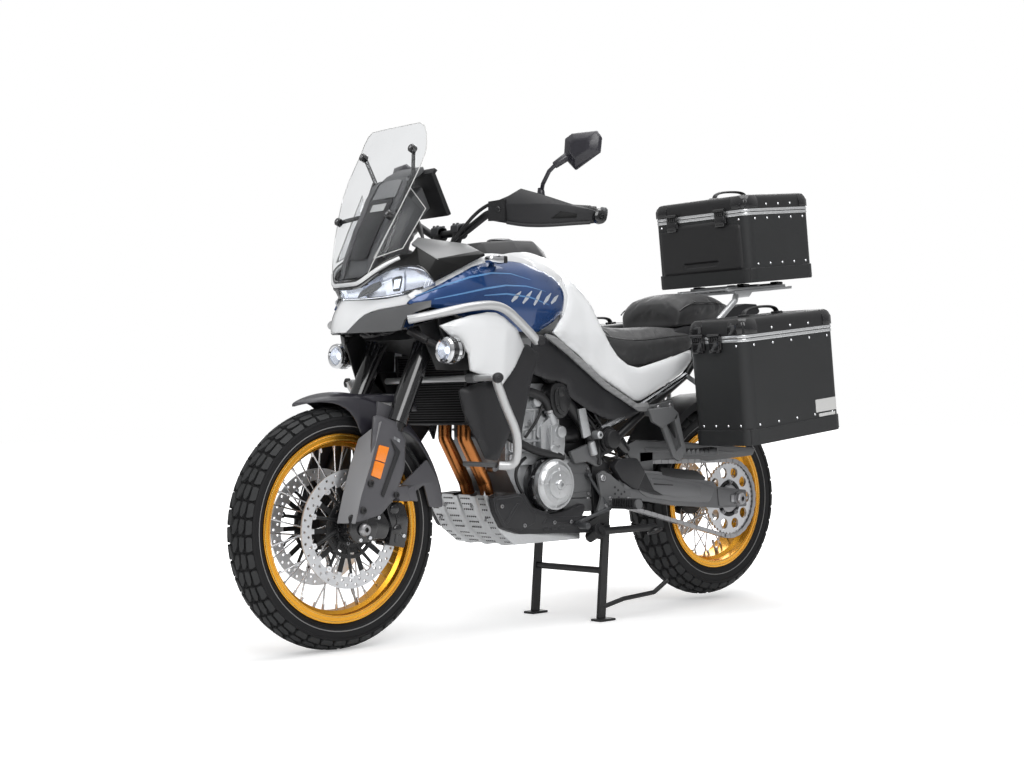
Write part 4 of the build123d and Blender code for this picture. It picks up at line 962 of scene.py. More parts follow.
    def front_parts(self, shop: Assembly) -> None:
        """Disc carriers, bobbins and bolts, the sensor's ring and the axle's nuts."""
        centre = self.FRONT.centre
        x, z = centre
        bolts = [bolt(around(centre, 40, turn, side * 73.5), (0, side, 0), 6, 5) for side in SIDES
                 for turn in turns(5)]
        toothed = []
        for turn in turns(48):
            spot = Matrix.Translation(around(centre, 51, turn, 77))
            toothed.append(moved(box((-5, -1.5, -1.6), (5, 1.5, 1.6)), spot @ Matrix.Rotation(-turn, 4, "Y")))
        toothed.append(turned([(34, 78.4), (48, 78.4), (48, 75.4), (34, 75.4)], (x, 0, z), steps=48))
        carriers = [turned([(70, 70), (80, 70), (80, 75), (70, 75)], (x, 0, z), steps=60)]
        carriers += [bar(around(centre, 50, turn + 0.22, 72.5), around(centre, 119, turn, 72.5), 6, 4.5,
                         sides=6)
                     for turn in turns(10, 0.5)]
        nut = [(6.5, 12), (13, 12), (16, 9), (18, 0), (6.5, 0)]
        nuts = [turned(nut, (x, side * 133, z), (0, side, 0), 32) for side in SIDES]
        add = partial(shop.add, body=self.FRONT.body)
        add("front_disc_carriers", twin(joined(carriers)), Finishes.BLACK_STEEL)
        add("front_disc_bobbins", self.bobbins(centre, 126, 73, 8, SIDES, 10), Finishes.CHROME)
        add("front_disc_bolts", joined(bolts), Finishes.STEEL)
        add("front_sensor_ring", joined(toothed), Finishes.BLACK_STEEL)
        shop.add("front_axle_nuts", joined(nuts), Finishes.STEEL, body="steering")

    def rear_parts(self, shop: Assembly) -> None:
        """Sprocket bolts and collar, disc bobbins, hub webs and the axle's nuts."""
        centre = self.REAR.centre
        x, z = centre
        bolts = [bolt(around(centre, 54, turn, 116), (0, 1, 0), 8, 8) for turn in turns(5, 0.3)]
        collar = turned([(26, 121), (40, 121), (46, 116.5), (26, 116.5)], (x, 0, z), steps=40)
        webs = []
        for turn in turns(6, 0.5):
            spot = Matrix.Translation(around(centre, 58, turn, 66))
            webs.append(moved(box((-7, -28, -5), (7, 34, 5), 2), spot @ Matrix.Rotation(-turn, 4, "Y")))
        add = partial(shop.add, body=self.REAR.body)
        add("sprocket_bolts", joined([*bolts, collar]), Finishes.STEEL)
        add("rear_disc_bobbins", self.bobbins(centre, 97, 95, 7, (-1,), 8), Finishes.CHROME)
        add("rear_hub_webs", joined(webs), Finishes.CAST)
        nuts = [turned([(8.5, 14), (17, 14), (21, 10), (21, 0), (8.5, 0)], (x, side * 160, z), (0, side, 0),
                       6)
                for side in SIDES]
        shop.add("rear_axle_nuts", joined(nuts), Finishes.STEEL)


# ---------------------------------------------------------------- bodywork
@dataclass(frozen=True)
class PanelShape:
    """A side panel seen from the side, with how its skin runs from above and from the front."""

    outline: tuple[Point2, ...]
    plan: tuple[Point2, ...]
    lean: tuple[Point2, ...] = ((0.0, 0.0),)
    thickness: float = 6.0
    roll: float = 10.0
    reach: float = 24.0
    corner: float = 8.0
    cell: float = 14.0

    def out(self, x: float, z: float) -> float:
        """How far from the middle plane the skin is."""
        return blend_along(self.plan, x) + blend_along(self.lean, z)

    def mesh(self) -> BMesh:
        """The left panel's mesh."""
        return panel(self.outline, self.out, self.thickness, self.roll, self.reach, self.cell, self.corner)


class Bodywork:
    """Moulded panels: tank, wings, side covers and cowls."""

    COVER = PanelShape(
        outline=((140, 862), (60, 918), (30, 968), (20, 1018), (-12, 1030), (-46, 1000), (-82, 952),
                 (-112, 892), (-142, 838), (-178, 796), (-219, 771), (-264, 762), (-347, 781), (-440, 802),
                 (-520, 822), (-528, 789), (-488, 757), (-400, 714), (-298, 669), (-276, 661), (-252, 663),
                 (-120, 731),
                 (0, 802)),
        plan=((-530, 158), (-430, 170), (-300, 172), (-200, 165), (-120, 156), (-40, 160), (60, 178),
              (150, 208)),
        lean=((660, -10), (760, 0), (860, 4), (940, -8), (1000, -26), (1040, -42)), roll=9, reach=26)
    STRIP = PanelShape(
        outline=((176, 858), (132, 852), (92, 838), (-20, 780), (-140, 710), (-252, 652), (-296, 656),
                 (-306, 640), (-292, 628), (-262, 628), (-120, 700), (60, 800), (180, 850)),
        plan=((-306, 176), (-120, 162), (60, 184), (180, 214)), lean=((620, -4), (860, 0)), roll=5, reach=10)
    LOWER = PanelShape(
        outline=((212, 858), (150, 850), (92, 826), (-20, 770), (-140, 698), (-246, 640), (-294, 634),
                 (-262, 618), (-205, 600), (-143, 607), (-60, 634), (28, 676), (44, 712), (86, 722),
                 (150, 728), (206, 742), (222, 790)),
        plan=((-306, 162), (-120, 150), (60, 164), (220, 198)), lean=((600, -8), (850, 0)), roll=5, reach=14,
                       corner=5)
    WING = PanelShape(
        outline=((654, 932), (645, 944), (620, 960), (568, 985), (502, 1014), (440, 1040), (374, 1057),
                 (310, 1066), (254, 1067), (193, 1062), (132, 1048), (87, 1033), (64, 1016), (50, 991),
                 (50, 966), (66, 926), (110, 896), (180, 864), (289, 862), (339, 880), (400, 893), (487, 897),
                 (560, 916), (610, 926)),
        plan=((50, 166), (120, 188), (220, 210), (330, 222), (420, 228), (500, 224), (566, 210), (620, 190),
              (654, 172)),
        lean=((860, -16), (930, 0), (980, -4), (1030, -26), (1067, -54)), roll=6, reach=12, thickness=8,
                      corner=3)
    BAND = PanelShape(
        outline=((652, 955), (626, 974), (590, 998), (545, 1022), (459, 1060), (393, 1080), (330, 1086),
                 (250, 1086), (190, 1080), (126, 1066), (76, 1048), (42, 1026), (26, 994), (26, 960),
                 (40, 906), (64, 880), (66, 926), (54, 966), (54, 989), (70, 1014), (92, 1028), (136, 1042),
                 (195, 1056),
                 (254, 1060), (310, 1059), (374, 1050), (440, 1033), (502, 1008), (568, 979), (620, 954),
                 (642, 940)),
        plan=((26, 156), (120, 181), (220, 203), (330, 215), (420, 221), (500, 217), (566, 204), (620, 186),
              (654, 168)),
        lean=((860, -16), (930, 0), (980, -6), (1030, -28), (1085, -62)), roll=3, reach=8, corner=2, cell=16)
    COWL = PanelShape(
        outline=((592, 871), (552, 886), (500, 900), (440, 910), (406, 910), (370, 896), (310, 864),
                 (246, 822), (306, 764), (384, 700), (400, 722), (440, 734), (470, 742), (494, 750),
                 (504, 796), (530, 826), (566, 848)),
        plan=((244, 200), (320, 238), (380, 256), (460, 260), (540, 250), (592, 228)),
        lean=((700, -18), (770, -10), (820, -6), (868, 4), (910, -6)), roll=6, reach=10, thickness=7, cell=10,
                      corner=3)

    def build(self, shop: Assembly) -> None:
        """Builds every panel, left and right."""
        shop.add("side_cover_shells", twin(self.COVER.mesh()), Finishes.WHITE, ["side_covers"])
        shop.add("side_cover_strips", twin(self.STRIP.mesh()), Finishes.PALE_GREY)
        shop.add("lower_cover_shells", twin(self.LOWER.mesh()), Finishes.DARK, ["lower_side_covers"])
        shop.add("tank_wing_shells", twin(self.WING.mesh()), Finishes.BLUE, ["tank_wings"])
        shop.add("wing_edge_bands", twin(self.BAND.mesh()), Finishes.WHITE)
        shop.add("cowl_shells", twin(self.COWL.mesh()), Finishes.WHITE, ["radiator_cowls"])
        self.tank(shop)
        self.stripes(shop)

    # the tank's cross sections: place along, half width, top, bottom, shoulder height
    TANK = ((332, 96, 1066, 950, 1010), (300, 146, 1086, 906, 1024), (240, 166, 1106, 872, 1034),
            (160, 172, 1124, 856, 1044), (90, 160, 1121, 852, 1040), (30, 140, 1110, 856, 1026),
            (-20, 116, 1090, 864, 996), (-70, 96, 1054, 880, 950), (-110, 84, 1010, 896, 920),
            (-150, 70, 960, 905, 915))

    def tank(self, shop: Assembly) -> None:
        """The tank as one smooth skin, with the filler console, cap and vents."""
        rings = []
        for x, half, top, low, shoulder in self.TANK:
            fall = top - shoulder
            left = [(0, top), (half * 0.34, top - fall * 0.05), (half * 0.62, top - fall * 0.36),
                    (half * 0.86, top - fall * 0.7), (half, shoulder - 24),
                    (half * 0.99, (shoulder + low) / 2 - 10),
                    (half * 0.9, low + 12), (half * 0.6, low)]
            right = [(-y, z) for y, z in reversed(left[1:])]
            rings.append([(x, y, z) for y, z in [*left, *right]])
        shop.add("tank_skin", loft(rings), Finishes.WHITE, ["fuel_tank"], subdivide=2)
        rows = ((312, 56, 1066, 42, 1094), (274, 82, 1076, 50, 1130), (160, 92, 1092, 54, 1142),
                (62, 78, 1098, 42, 1147), (4, 46, 1086, 28, 1120))
        console = loft([[(x, -base, z), (x, base, z), (x, top, high - 5), (x, top * 0.8, high),
                         (x, -top * 0.8, high), (x, -top, high - 5)] for x, base, z, top, high in rows])
        soften(console, 4, 3, 24)
        shop.add("filler_console", console, Finishes.DARK, ["tank_console"])
        cap = turned([(0.5, 0), (30, 0), (34, 2), (36, 6), (34, 9), (12, 11), (0.5, 11)], (160, 0, 1138),
                     (0, 0, 1), 40)
        shop.add("filler_cap", cap, Finishes.GLOSS)
        shop.add("filler_cap_ring", ring((160, 0, 1143), (0, 0, 1), 37.5, 2.2), Finishes.STEEL)

    def stripes(self, shop: Assembly) -> None:
        """Light-blue bands of painted highlight, and plain slanted bars, on the blue wings."""
        # the light-blue bands: painted highlight on the blue paint
        lines = (
            ((640, 952), (560, 982), (470, 1008), (380, 1024), (300, 1026), (220, 1012)),
            ((590, 944), (500, 962), (420, 978), (340, 990), (250, 992), (160, 980)),
            ((430, 958), (340, 966), (240, 960), (150, 942)),
        )
        shop.add("wing_light_lines", twin(joined(self.ribbon(line, 5.0) for line in lines)),
                 Finishes.BLUE_HIGHLIGHT)
        bars = []
        for x in (300, 252, 204, 156, 116):
            tall = blend_along(((116, 26), (204, 44), (300, 30)), x)
            bars.append(self.ribbon(((x + 22, 960 - tall / 2), (x, 960), (x - 22, 960 + tall / 2)), 13.0))
        shop.add("wing_slanted_bars", twin(joined(bars)), Finishes.SILVER_LINE)

    def ribbon(self, line: Sequence[Point2], width: float) -> BMesh:
        """A thin painted band that lies on the blue wing.

        Args:
            line: Its middle line, seen from the side.
            width: Its width.

        Returns:
            The mesh on the left wing.
        """
        ahead = [Vector((b[0] - a[0], b[1] - a[1])).normalized() for a, b in zip(line, line[1:])]
        ahead.append(ahead[-1])
        upper, lower = [], []
        for i, ((x, z), way) in enumerate(zip(line, ahead)):
            taper = width / 2 * (0.12 + 0.88 * math.sin(math.pi * min(1.0, 0.12 + i / (len(line) - 1)
                                                                      * 0.86)))
            upper.append((x - way.y * taper, z + way.x * taper))
            lower.append((x + way.y * taper, z - way.x * taper))
        bm = bmesh.new()
        bm.faces.new([bm.verts.new((x, 0, z)) for x, z in [*upper, *reversed(lower)]])
        for axis in ((1, 0, 0), (0, 0, 1)):
            for place in range(40, 1100, 12):
                cut(bm, (place, 0, place), axis)
        for vert in bm.verts:
            vert.co.y = self.WING.out(vert.co.x, vert.co.z) + 0.5
        bmesh.ops.recalc_face_normals(bm, faces=bm.faces)
        if sum(f.normal.y for f in bm.faces) < 0:
            bmesh.ops.reverse_faces(bm, faces=bm.faces)
        extruded(bm, (0, -1.0, 0))
        return bm


# ---------------------------------------------------------------- luggage
@dataclass(frozen=True)
class CaseSize:
    """One luggage case in its own frame, which tilts nose down."""

    name: str
    centre: Point3
    length: float
    width: float
    height: float
    lid: float
    latches: tuple[float, float]

    @property
    def lid_part(self) -> str:
        """The lid's body, which has the name of its node too."""
        return f"{self.name}_lid"


# the two panniers' middle, length, width, height, lid and latches
PANNIER = ((-630, 362.5, 733), 456, 225, 386, 62, (-62, 4))


@dataclass(frozen=True)
class Luggage:
    """The trim of the three cases: lids, bright seams, castings, rivets, latches and handles."""

    tilt: float = 5.5
    corner: float = 34.0
    top: CaseSize = CaseSize("top_case", (-929.6, 0, 1203), 345, 405, 290, 58, (-112, 98))
    left: CaseSize = CaseSize("left_pannier", *PANNIER)
    right: CaseSize = CaseSize("right_pannier", *PANNIER)

    def build(self, shop: Assembly) -> None:
        """Builds the trim of each case."""
        for case in (self.top, self.left, self.right):
            for name, bm, finish, body, nodes in self.pieces(case):
                moved(bm, Matrix.Translation(case.centre) @ Matrix.Rotation(math.radians(self.tilt), 4, "Y"))
                if case is self.right:
                    mirrored(bm)
                shop.add(f"{case.name}_{name}", bm, finish, nodes, body)

    def pieces(self, case: CaseSize) -> list[tuple[str, BMesh, Finish, str, Sequence[str]]]:
        """Every piece of one case, in its own frame, with its finish, body and replaced nodes."""
        low, seam, top = -case.height / 2, case.height / 2 - case.lid, case.height / 2
        lid_levels = ((seam + 13, -2.6), (top - 24, -2.6), (top - 11, 1.5), (top - 3.5, 8))
        foot_levels = ((low + 4, -2.6), (low + 47, -2.6), (low + 48, -1))
        lids = joined(self.cap(case, lid_levels, x, y) for x in SIDES for y in SIDES)
        feet = joined(self.cap(case, foot_levels, x, y, 74) for x in SIDES for y in SIDES)
        pieces = [
            ("lid_shell", self.lid_shell(case), Finishes.CASE_MOULDED, case.lid_part, [case.lid_part]),
            ("lid_band", self.band(case, seam + 1.6, seam + 10), Finishes.SEAM, case.lid_part, ()),
            ("lower_band", self.band(case, seam - 10, seam - 1.2), Finishes.SEAM, "chassis", ()),
            ("lid_castings", lids, Finishes.GLOSS, case.lid_part, ()),
            ("foot_castings", feet, Finishes.CASE_MOULDED, "chassis", ()),
            ("lid_rivets", self.rivets(case, (seam + 24,)), Finishes.CHROME, case.lid_part, ()),
            ("rivets", self.rivets(case, (seam - 22, low + 60)), Finishes.CHROME, "chassis", ()),
            ("handle", self.handle(case), Finishes.CASE_MOULDED, case.lid_part, ()),
            ("latches", joined(self.latch(case, y) for y in case.latches), Finishes.GLOSS, "chassis", ()),
        ]
        if case is self.top:
            pieces.append(("front_pad", self.front_pad(case), Finishes.CASE_MOULDED, "chassis", ()))
        else:
            out = case.width / 2
            plate = slab([(-98, -88), (-204, -88), (-204, -128), (-98, -128)], out - 0.5, out + 1.4, corner=3)
            strip = slab([(-112, -133), (-196, -133), (-196, -143), (-112, -143)], out - 0.5, out + 1.2,
                         corner=2)
            pieces.append(("blank_plate", joined([plate, strip]), Finishes.BADGE, "chassis", ()))
        return pieces

    def rim(self, case: CaseSize, inset: float, z: float) -> list[Point3]:
        """A level ring round the case, pulled in by an inset."""
        hx, hy = case.length / 2 - inset, case.width / 2 - inset
        r = max(4.0, self.corner - inset)
        steps = 7
        points = []
        for cx, cy, start in ((hx - r, hy - r, 0), (r - hx, hy - r, 90), (r - hx, r - hy, 180),
                              (hx - r, r - hy, 270)):
            for i in range(steps + 1):
                a = math.radians(start + 90 * i / steps)
                points.append((cx + r * math.cos(a), cy + r * math.sin(a), z))
        return points

    def lid_shell(self, case: CaseSize) -> BMesh:
        """The lid, hollow below, with a rolled upper edge, a raised top and hinge knuckles."""
        seam, top = case.height / 2 - case.lid + 0.4, case.height / 2
        levels = ((46, top - 8), (10, top - 14), (5, seam + 14), (4, seam), (0, seam), (0, top - 26),
                  (1.6, top - 14), (6, top - 6), (13, top - 1.5), (22, top), (52, top), (54, top - 2.4),
                  (60, top - 2.4), (62, top - 1))
        shell = loft([self.rim(case, inset, z) for inset, z in levels])
        x = -case.length / 2 - 5.6
        knuckle = bar((x, -18, seam - 0.4), (x, 18, seam - 0.4), 5, sides=16)
        return joined([shell, knuckle, box((x - 5, -18, seam + 1.1), (x + 6, 18, seam + 21), 1)])

    def band(self, case: CaseSize, low: float, high: float) -> BMesh:
        """A bright strip round the seam, proud of the wall."""
        rings = [self.rim(case, inset, z) for inset, z in ((1, low), (-1.6, low), (-2, low + 1),
                                                           (-2, high - 1), (-1.6, high), (1, high))]
        bm = loft(rings)
        caps = [f for f in bm.faces if len(f.verts) > 4]
        bmesh.ops.delete(bm, geom=caps, context="FACES")
        return bm

    def cap(self, case: CaseSize, levels: Sequence[Point2], sx: int, sy: int, reach: float = 62) -> BMesh:
        """A corner casting wrapped round one upright corner.

        Args:
            case: The case.
            levels: Pairs of height and how far in from the wall it lies there.
            sx: 1 at the front, -1 at the rear.
            sy: 1 on the outer side, -1 on the inner.
            reach: How far it runs along each wall.

        Returns:
            The mesh.
        """
        rings = []
        hx, hy, r = case.length / 2, case.width / 2, self.corner
        reach = min(reach, hy * 0.62)
        for z, inset in levels:
            line = [(hx - reach, hy - inset)]
            for i in range(9):
                a = math.radians(90 - 90 * i / 8)
                line.append((hx - r + (r - inset) * math.cos(a), hy - r + (r - inset) * math.sin(a)))
            line.append((hx - inset, hy - reach))
            inner = [(hx - reach, hy - inset - 4), (hx - inset - 9, hy - inset - 9),
                     (hx - inset - 4, hy - reach)]
            rings.append([(sx * x, sy * y, z) for x, y in [*line, *reversed(inner)]])
        bm = loft(rings)
        soften(bm, 1.2, 2, 50)
        return bm

    def rivets(self, case: CaseSize, heights: Sequence[float]) -> BMesh:
        """Rows of domed rivets on the two sides and the rear, and at the front's edges."""
        hx, hy = case.length / 2, case.width / 2
        spots = []
        along = [-hx + 44 + (2 * hx - 88) * i / 4 for i in range(5)]
        across = [-hy + 40 + (2 * hy - 80) * i / 3 for i in range(4)]
        for z in heights:
            spots += [((x, s * hy, z), (0, s, 0)) for x in along for s in SIDES]
            spots += [((-hx, y, z), (-1, 0, 0)) for y in across]
            spots += [((hx, y, z), (1, 0, 0)) for y in (across if z < 0 else (across[0] - 6, across[-1] + 6))]
        dome = [(0.3, 2.6), (2.4, 2.2), (3.9, 0.6), (3.9, -1), (0.3, -1)]
        return joined(turned(dome, place, axis, 12) for place, axis in spots)

    @staticmethod
    def handle(case: CaseSize) -> BMesh:
        """The arched carry handle on the lid, on two feet."""
        top = case.height / 2
        arc = pipe([(-84, 0, top - 2), (-82, 0, top + 12), (-60, 0, top + 22), (-20, 0, top + 25),
                    (20, 0, top + 25), (60, 0, top + 22), (82, 0, top + 12), (84, 0, top - 2)], 4.2, 3)
        bmesh.ops.scale(arc, vec=(1, 2.4, 1), verts=arc.verts)
        feet = [box((s * 84 - 14, -14, top - 3), (s * 84 + 14, 14, top + 6), 3) for s in SIDES]
        return joined([arc, *feet])

    @staticmethod
    def latch(case: CaseSize, y: float) -> BMesh:
        """A front latch: keeper, slotted lever and hinge."""
        front, seam = case.length / 2, case.height / 2 - case.lid
        parts = [box((front - 1, y - 24, seam - 30), (front + 10, y + 24, seam + 12), 2),
                 box((front + 2, y - 20, seam - 40), (front + 15, y + 20, seam - 6), 3),
                 bar((front + 11, y - 23, seam + 14), (front + 11, y + 23, seam + 14), 6, sides=14)]
        parts += [box((front + 8, y - 18 + 9 * i, seam - 3), (front + 13, y - 13 + 9 * i, seam + 8), 1)
                  for i in range(5)]
        parts.append(box((front + 14, y - 14, seam - 36), (front + 17, y + 14, seam - 31), 1))
        return joined(parts)

    @staticmethod
    def front_pad(case: CaseSize) -> BMesh:
        """The bare moulded pad on the top case's front, with a slot near its foot."""
        def skin(a: float, z: float) -> float:
            slot = eased((78 + (z + 60) * 0.7 - abs(a)) / 7) * eased((9 - abs(z + 62)) / 4)
            return 9.0 - 5.5 * slot
        outline = [(-172, -92), (172, -92), (176, -70), (174, 60), (132, 62), (124, 76), (-78, 78), (-86, 64),
                   (-174, 60), (-176, -70)]
        bm = panel(outline, skin, 8, roll=7, reach=14, cell=7, corner=12)
        front = Matrix.Translation((case.length / 2 - 1.5, 0, -10))
        return moved(bm, front @ Matrix.Rotation(math.radians(-90), 4, "Z"))


class Rack:
    """Small parts of the luggage carriers, the tail and the base under both seats."""

    def build(self, shop: Assembly) -> None:
        """Builds the rack's pads, plate and screws, the tail's lenses and plate, and the seats' base."""
        pads = [box((x - 16, side * 96 - 16, 1043 - (x + 900) * 0.08), (x + 16, side * 96 + 16,
                                                                        1052 - (x + 900) * 0.08), 3)
                for x in (-1040, -860) for side in SIDES]
        shop.add("rack_pads", joined(pads), Finishes.DARK)
        shop.add("rack_plate", self.plate(), Finishes.ALUMINIUM)
        screws = [bolt((x, y, 1019 - (x + 790) * 0.095), (0, 0, 1), 6, 4) for x in (-806, -850, -915)
                  for y in (-62, 0, 62)]
        clamps = [bolt((x, side * 248, z), (0, side, 0), 9, 5) for side in SIDES
                  for x, z in ((-600, 864), (-475, 640), (-825, 660))]
        shop.add("rack_screws", joined([*screws, *clamps]), Finishes.STEEL)
        lens = slab([(-946, 964), (-972, 948), (-952, 934), (-930, 950)], -64, 64, bevel=4)
        shop.add("tail_lens", lens, Finishes.RED)
        reflector = slab([(-1000, 812), (-1005, 790), (-1010, 790), (-1005, 812)], -28, 28, bevel=1)
        shop.add("rear_reflector", reflector, Finishes.RED)
        shop.add("blank_number_plate", slab([(-986, 820), (-1013, 688), (-1016.5, 688), (-989.5, 820)], -100,
                                            100, bevel=0.8), Finishes.BADGE)
        base = loft([[(x, y * half, low + (top - low) * share) for y, share in (
            (1, 0.5), (0.96, 1), (-0.96, 1), (-1, 0.5), (-0.9, 0), (0.9, 0))] for x, half, low, top in (
                (-470, 134, 800, 884), (-530, 130, 812, 899), (-640, 120, 846, 908), (-740, 106, 880, 922),
                (-792, 92, 904, 936))])
        soften(base, 5, 2)
        shop.add("seat_base", base, Finishes.DARK)

    @staticmethod
    def plate() -> BMesh:
        """The adapter plate under the top case: a ribbed sheet between two rails."""
        parts = [slab([(-768, 1028), (-1058, 1051), (-1058, 1045), (-768, 1022)], -98, 98, bevel=1.5)]
        for side in SIDES:
            parts.append(slab([(-760, 1030), (-1072, 1056), (-1072, 1044), (-990, 1030), (-760, 1018)],
                              *sorted((side * 98, side * 110)), bevel=2))
            parts.append(slab([(-790, 1020), (-900, 1026), (-880, 1006), (-820, 1000)],
                              *sorted((side * 100, side * 106)), bevel=1.5))
        parts += [box((x - 7, -98, 1030 - (x + 800) * 0.08), (x + 7, 98, 1040 - (x + 800) * 0.08), 2)
                  for x in (-820, -940, -1040)]
        return joined(parts)


# ---------------------------------------------------------------- seats
@dataclass(frozen=True)
class Seats:
    """The two padded seats: place along, half width, top and foot of each cross section."""

    swell: float = 7.0
    # the height over a pad's foot at which it may swell in full
    settled: float = 20.0
    voxel: float = 6.0
    pressure: float = 4.0
    frames: int = 20
    rider: tuple[Row, ...] = (
        (-96, 52, 898, 862), (-118, 74, 902, 836), (-150, 96, 898, 802), (-190, 120, 890, 776),
                              (-240, 142, 885, 762), (-300, 155, 884, 766), (-360, 158, 887, 778),
                              (-420, 158, 891, 790), (-480, 155, 890, 806), (-530, 149, 888, 820),
                              (-556, 140, 884, 832), (-566, 126, 874, 842))
    passenger: tuple[Row, ...] = (
        (-490, 118, 928, 896), (-498, 130, 968, 894), (-520, 136, 992, 897), (-570, 139, 1003, 903),
        (-640, 137, 1005, 909), (-700, 129, 1001, 917), (-748, 115, 992, 928), (-772, 99, 978, 938),
        (-780, 84, 962, 944))

    def build(self, shop: Assembly) -> None:
        """Builds both seats with their piping."""
        for name, rows, node in (("rider_pad", self.rider, "rider_seat"), ("passenger_pad", self.passenger,
                                                                           "passenger_seat")):
            bm = self.inflated(name, self.skin(rows), rows)
            pad = shop.add(name, bm, Finishes.VINYL, [node], subdivide=1)
            shop.add(f"{name}_piping", self.piping(rows), Finishes.GLOSS)

    @staticmethod
    def skin(rows: Sequence[Row]) -> BMesh:
        """The pad's closed skin before it is padded."""
        rings = []
        for x, half, top, low in rows:
            tall = top - low
            left = [(0, top), (half * 0.4, top - 0.01 * tall), (half * 0.72, top - 0.07 * tall),
                    (half * 0.92, top - 0.24 * tall), (half, top - 0.46 * tall),
                    (half * 0.99, low + 0.24 * tall),
                    (half * 0.93, low + 0.04 * tall), (half * 0.5, low)]
            rings.append([(x, y, z) for y, z in [*left, *[(-y, z) for y, z in reversed(left[1:])]]])
        return loft(rings)

    def inflated(self, name: str, bm: BMesh, rows: Sequence[Row]) -> BMesh:
        """The skin swelled by cloth pressure, with no point moved further than the cap.

        Args:
            name: The pad's name.
            bm: The skin in millimetres, which is used up.
            rows: The pad's cross sections, whose feet rest on the seat base.

        Returns:
            The padded skin in millimetres.
        """
        bmesh.ops.scale(bm, vec=(MM, MM, MM), verts=bm.verts)
        work = placed(name + "_start", finished(name + "_start", bm))
        remesh = work.modifiers.new("even", "REMESH")
        remesh.mode, remesh.voxel_size = "VOXEL", self.voxel * MM
        smooth = work.modifiers.new("soft", "SMOOTH")
        smooth.iterations = 4
        start = self.evaluated(work)
        first = [v.co.copy() for v in start.vertices]
        work.modifiers.clear()
        work.data = start
        cloth = work.modifiers.new("cloth", "CLOTH")
        cloth.settings.use_pressure = True
        cloth.settings.uniform_pressure_force = self.pressure
        cloth.settings.effector_weights.gravity = 0.0
        for step in range(1, self.frames + 1):
            bpy.context.scene.frame_set(step)
        start = self.evaluated(work)
        work.modifiers.clear()
        bpy.context.scene.frame_set(1)
        done = bmesh.new()
        done.from_mesh(start)
        bpy.data.objects.remove(work)
        done.verts.ensure_lookup_table()
        for vert, old in zip(done.verts, first):
            step = vert.co - old
            foot = blend_along([(r[0], r[3]) for r in reversed(rows)], old.x / MM) * MM
            reach = self.swell * MM * eased((old.z - foot) / (self.settled * MM))
            vert.co = old + step * min(1.0, reach / max(step.length, 1e-9))
        bmesh.ops.scale(done, vec=(1 / MM, 1 / MM, 1 / MM), verts=done.verts)
        return done

    @staticmethod
    def evaluated(work: bpy.types.Object) -> bpy.types.Mesh:
        """The object's mesh with its modifiers applied."""
        seen = work.evaluated_get(bpy.context.evaluated_depsgraph_get())
        return bpy.data.meshes.new_from_object(seen)

    @staticmethod
    def piping(rows: Sequence[Row]) -> BMesh:
        """Piping along both upper edges and a stitched seam across the pad."""
        lines = []
        for side in SIDES:
            lines.append(pipe([(x, side * half * 0.985, top - 0.30 * (top - low)) for x, half, top,
                               low in rows[1:-1]],
                              2.4, 3))
        x, half, top, low = rows[3]
        lines.append(pipe([(x, y * half, top - drop * (top - low) + 1.5) for y, drop in (
            (-0.96, 0.3), (-0.72, 0.06), (-0.4, 0.0), (0.4, 0.0), (0.72, 0.06), (0.96, 0.3))], 1.8, 3))
        return joined(lines)


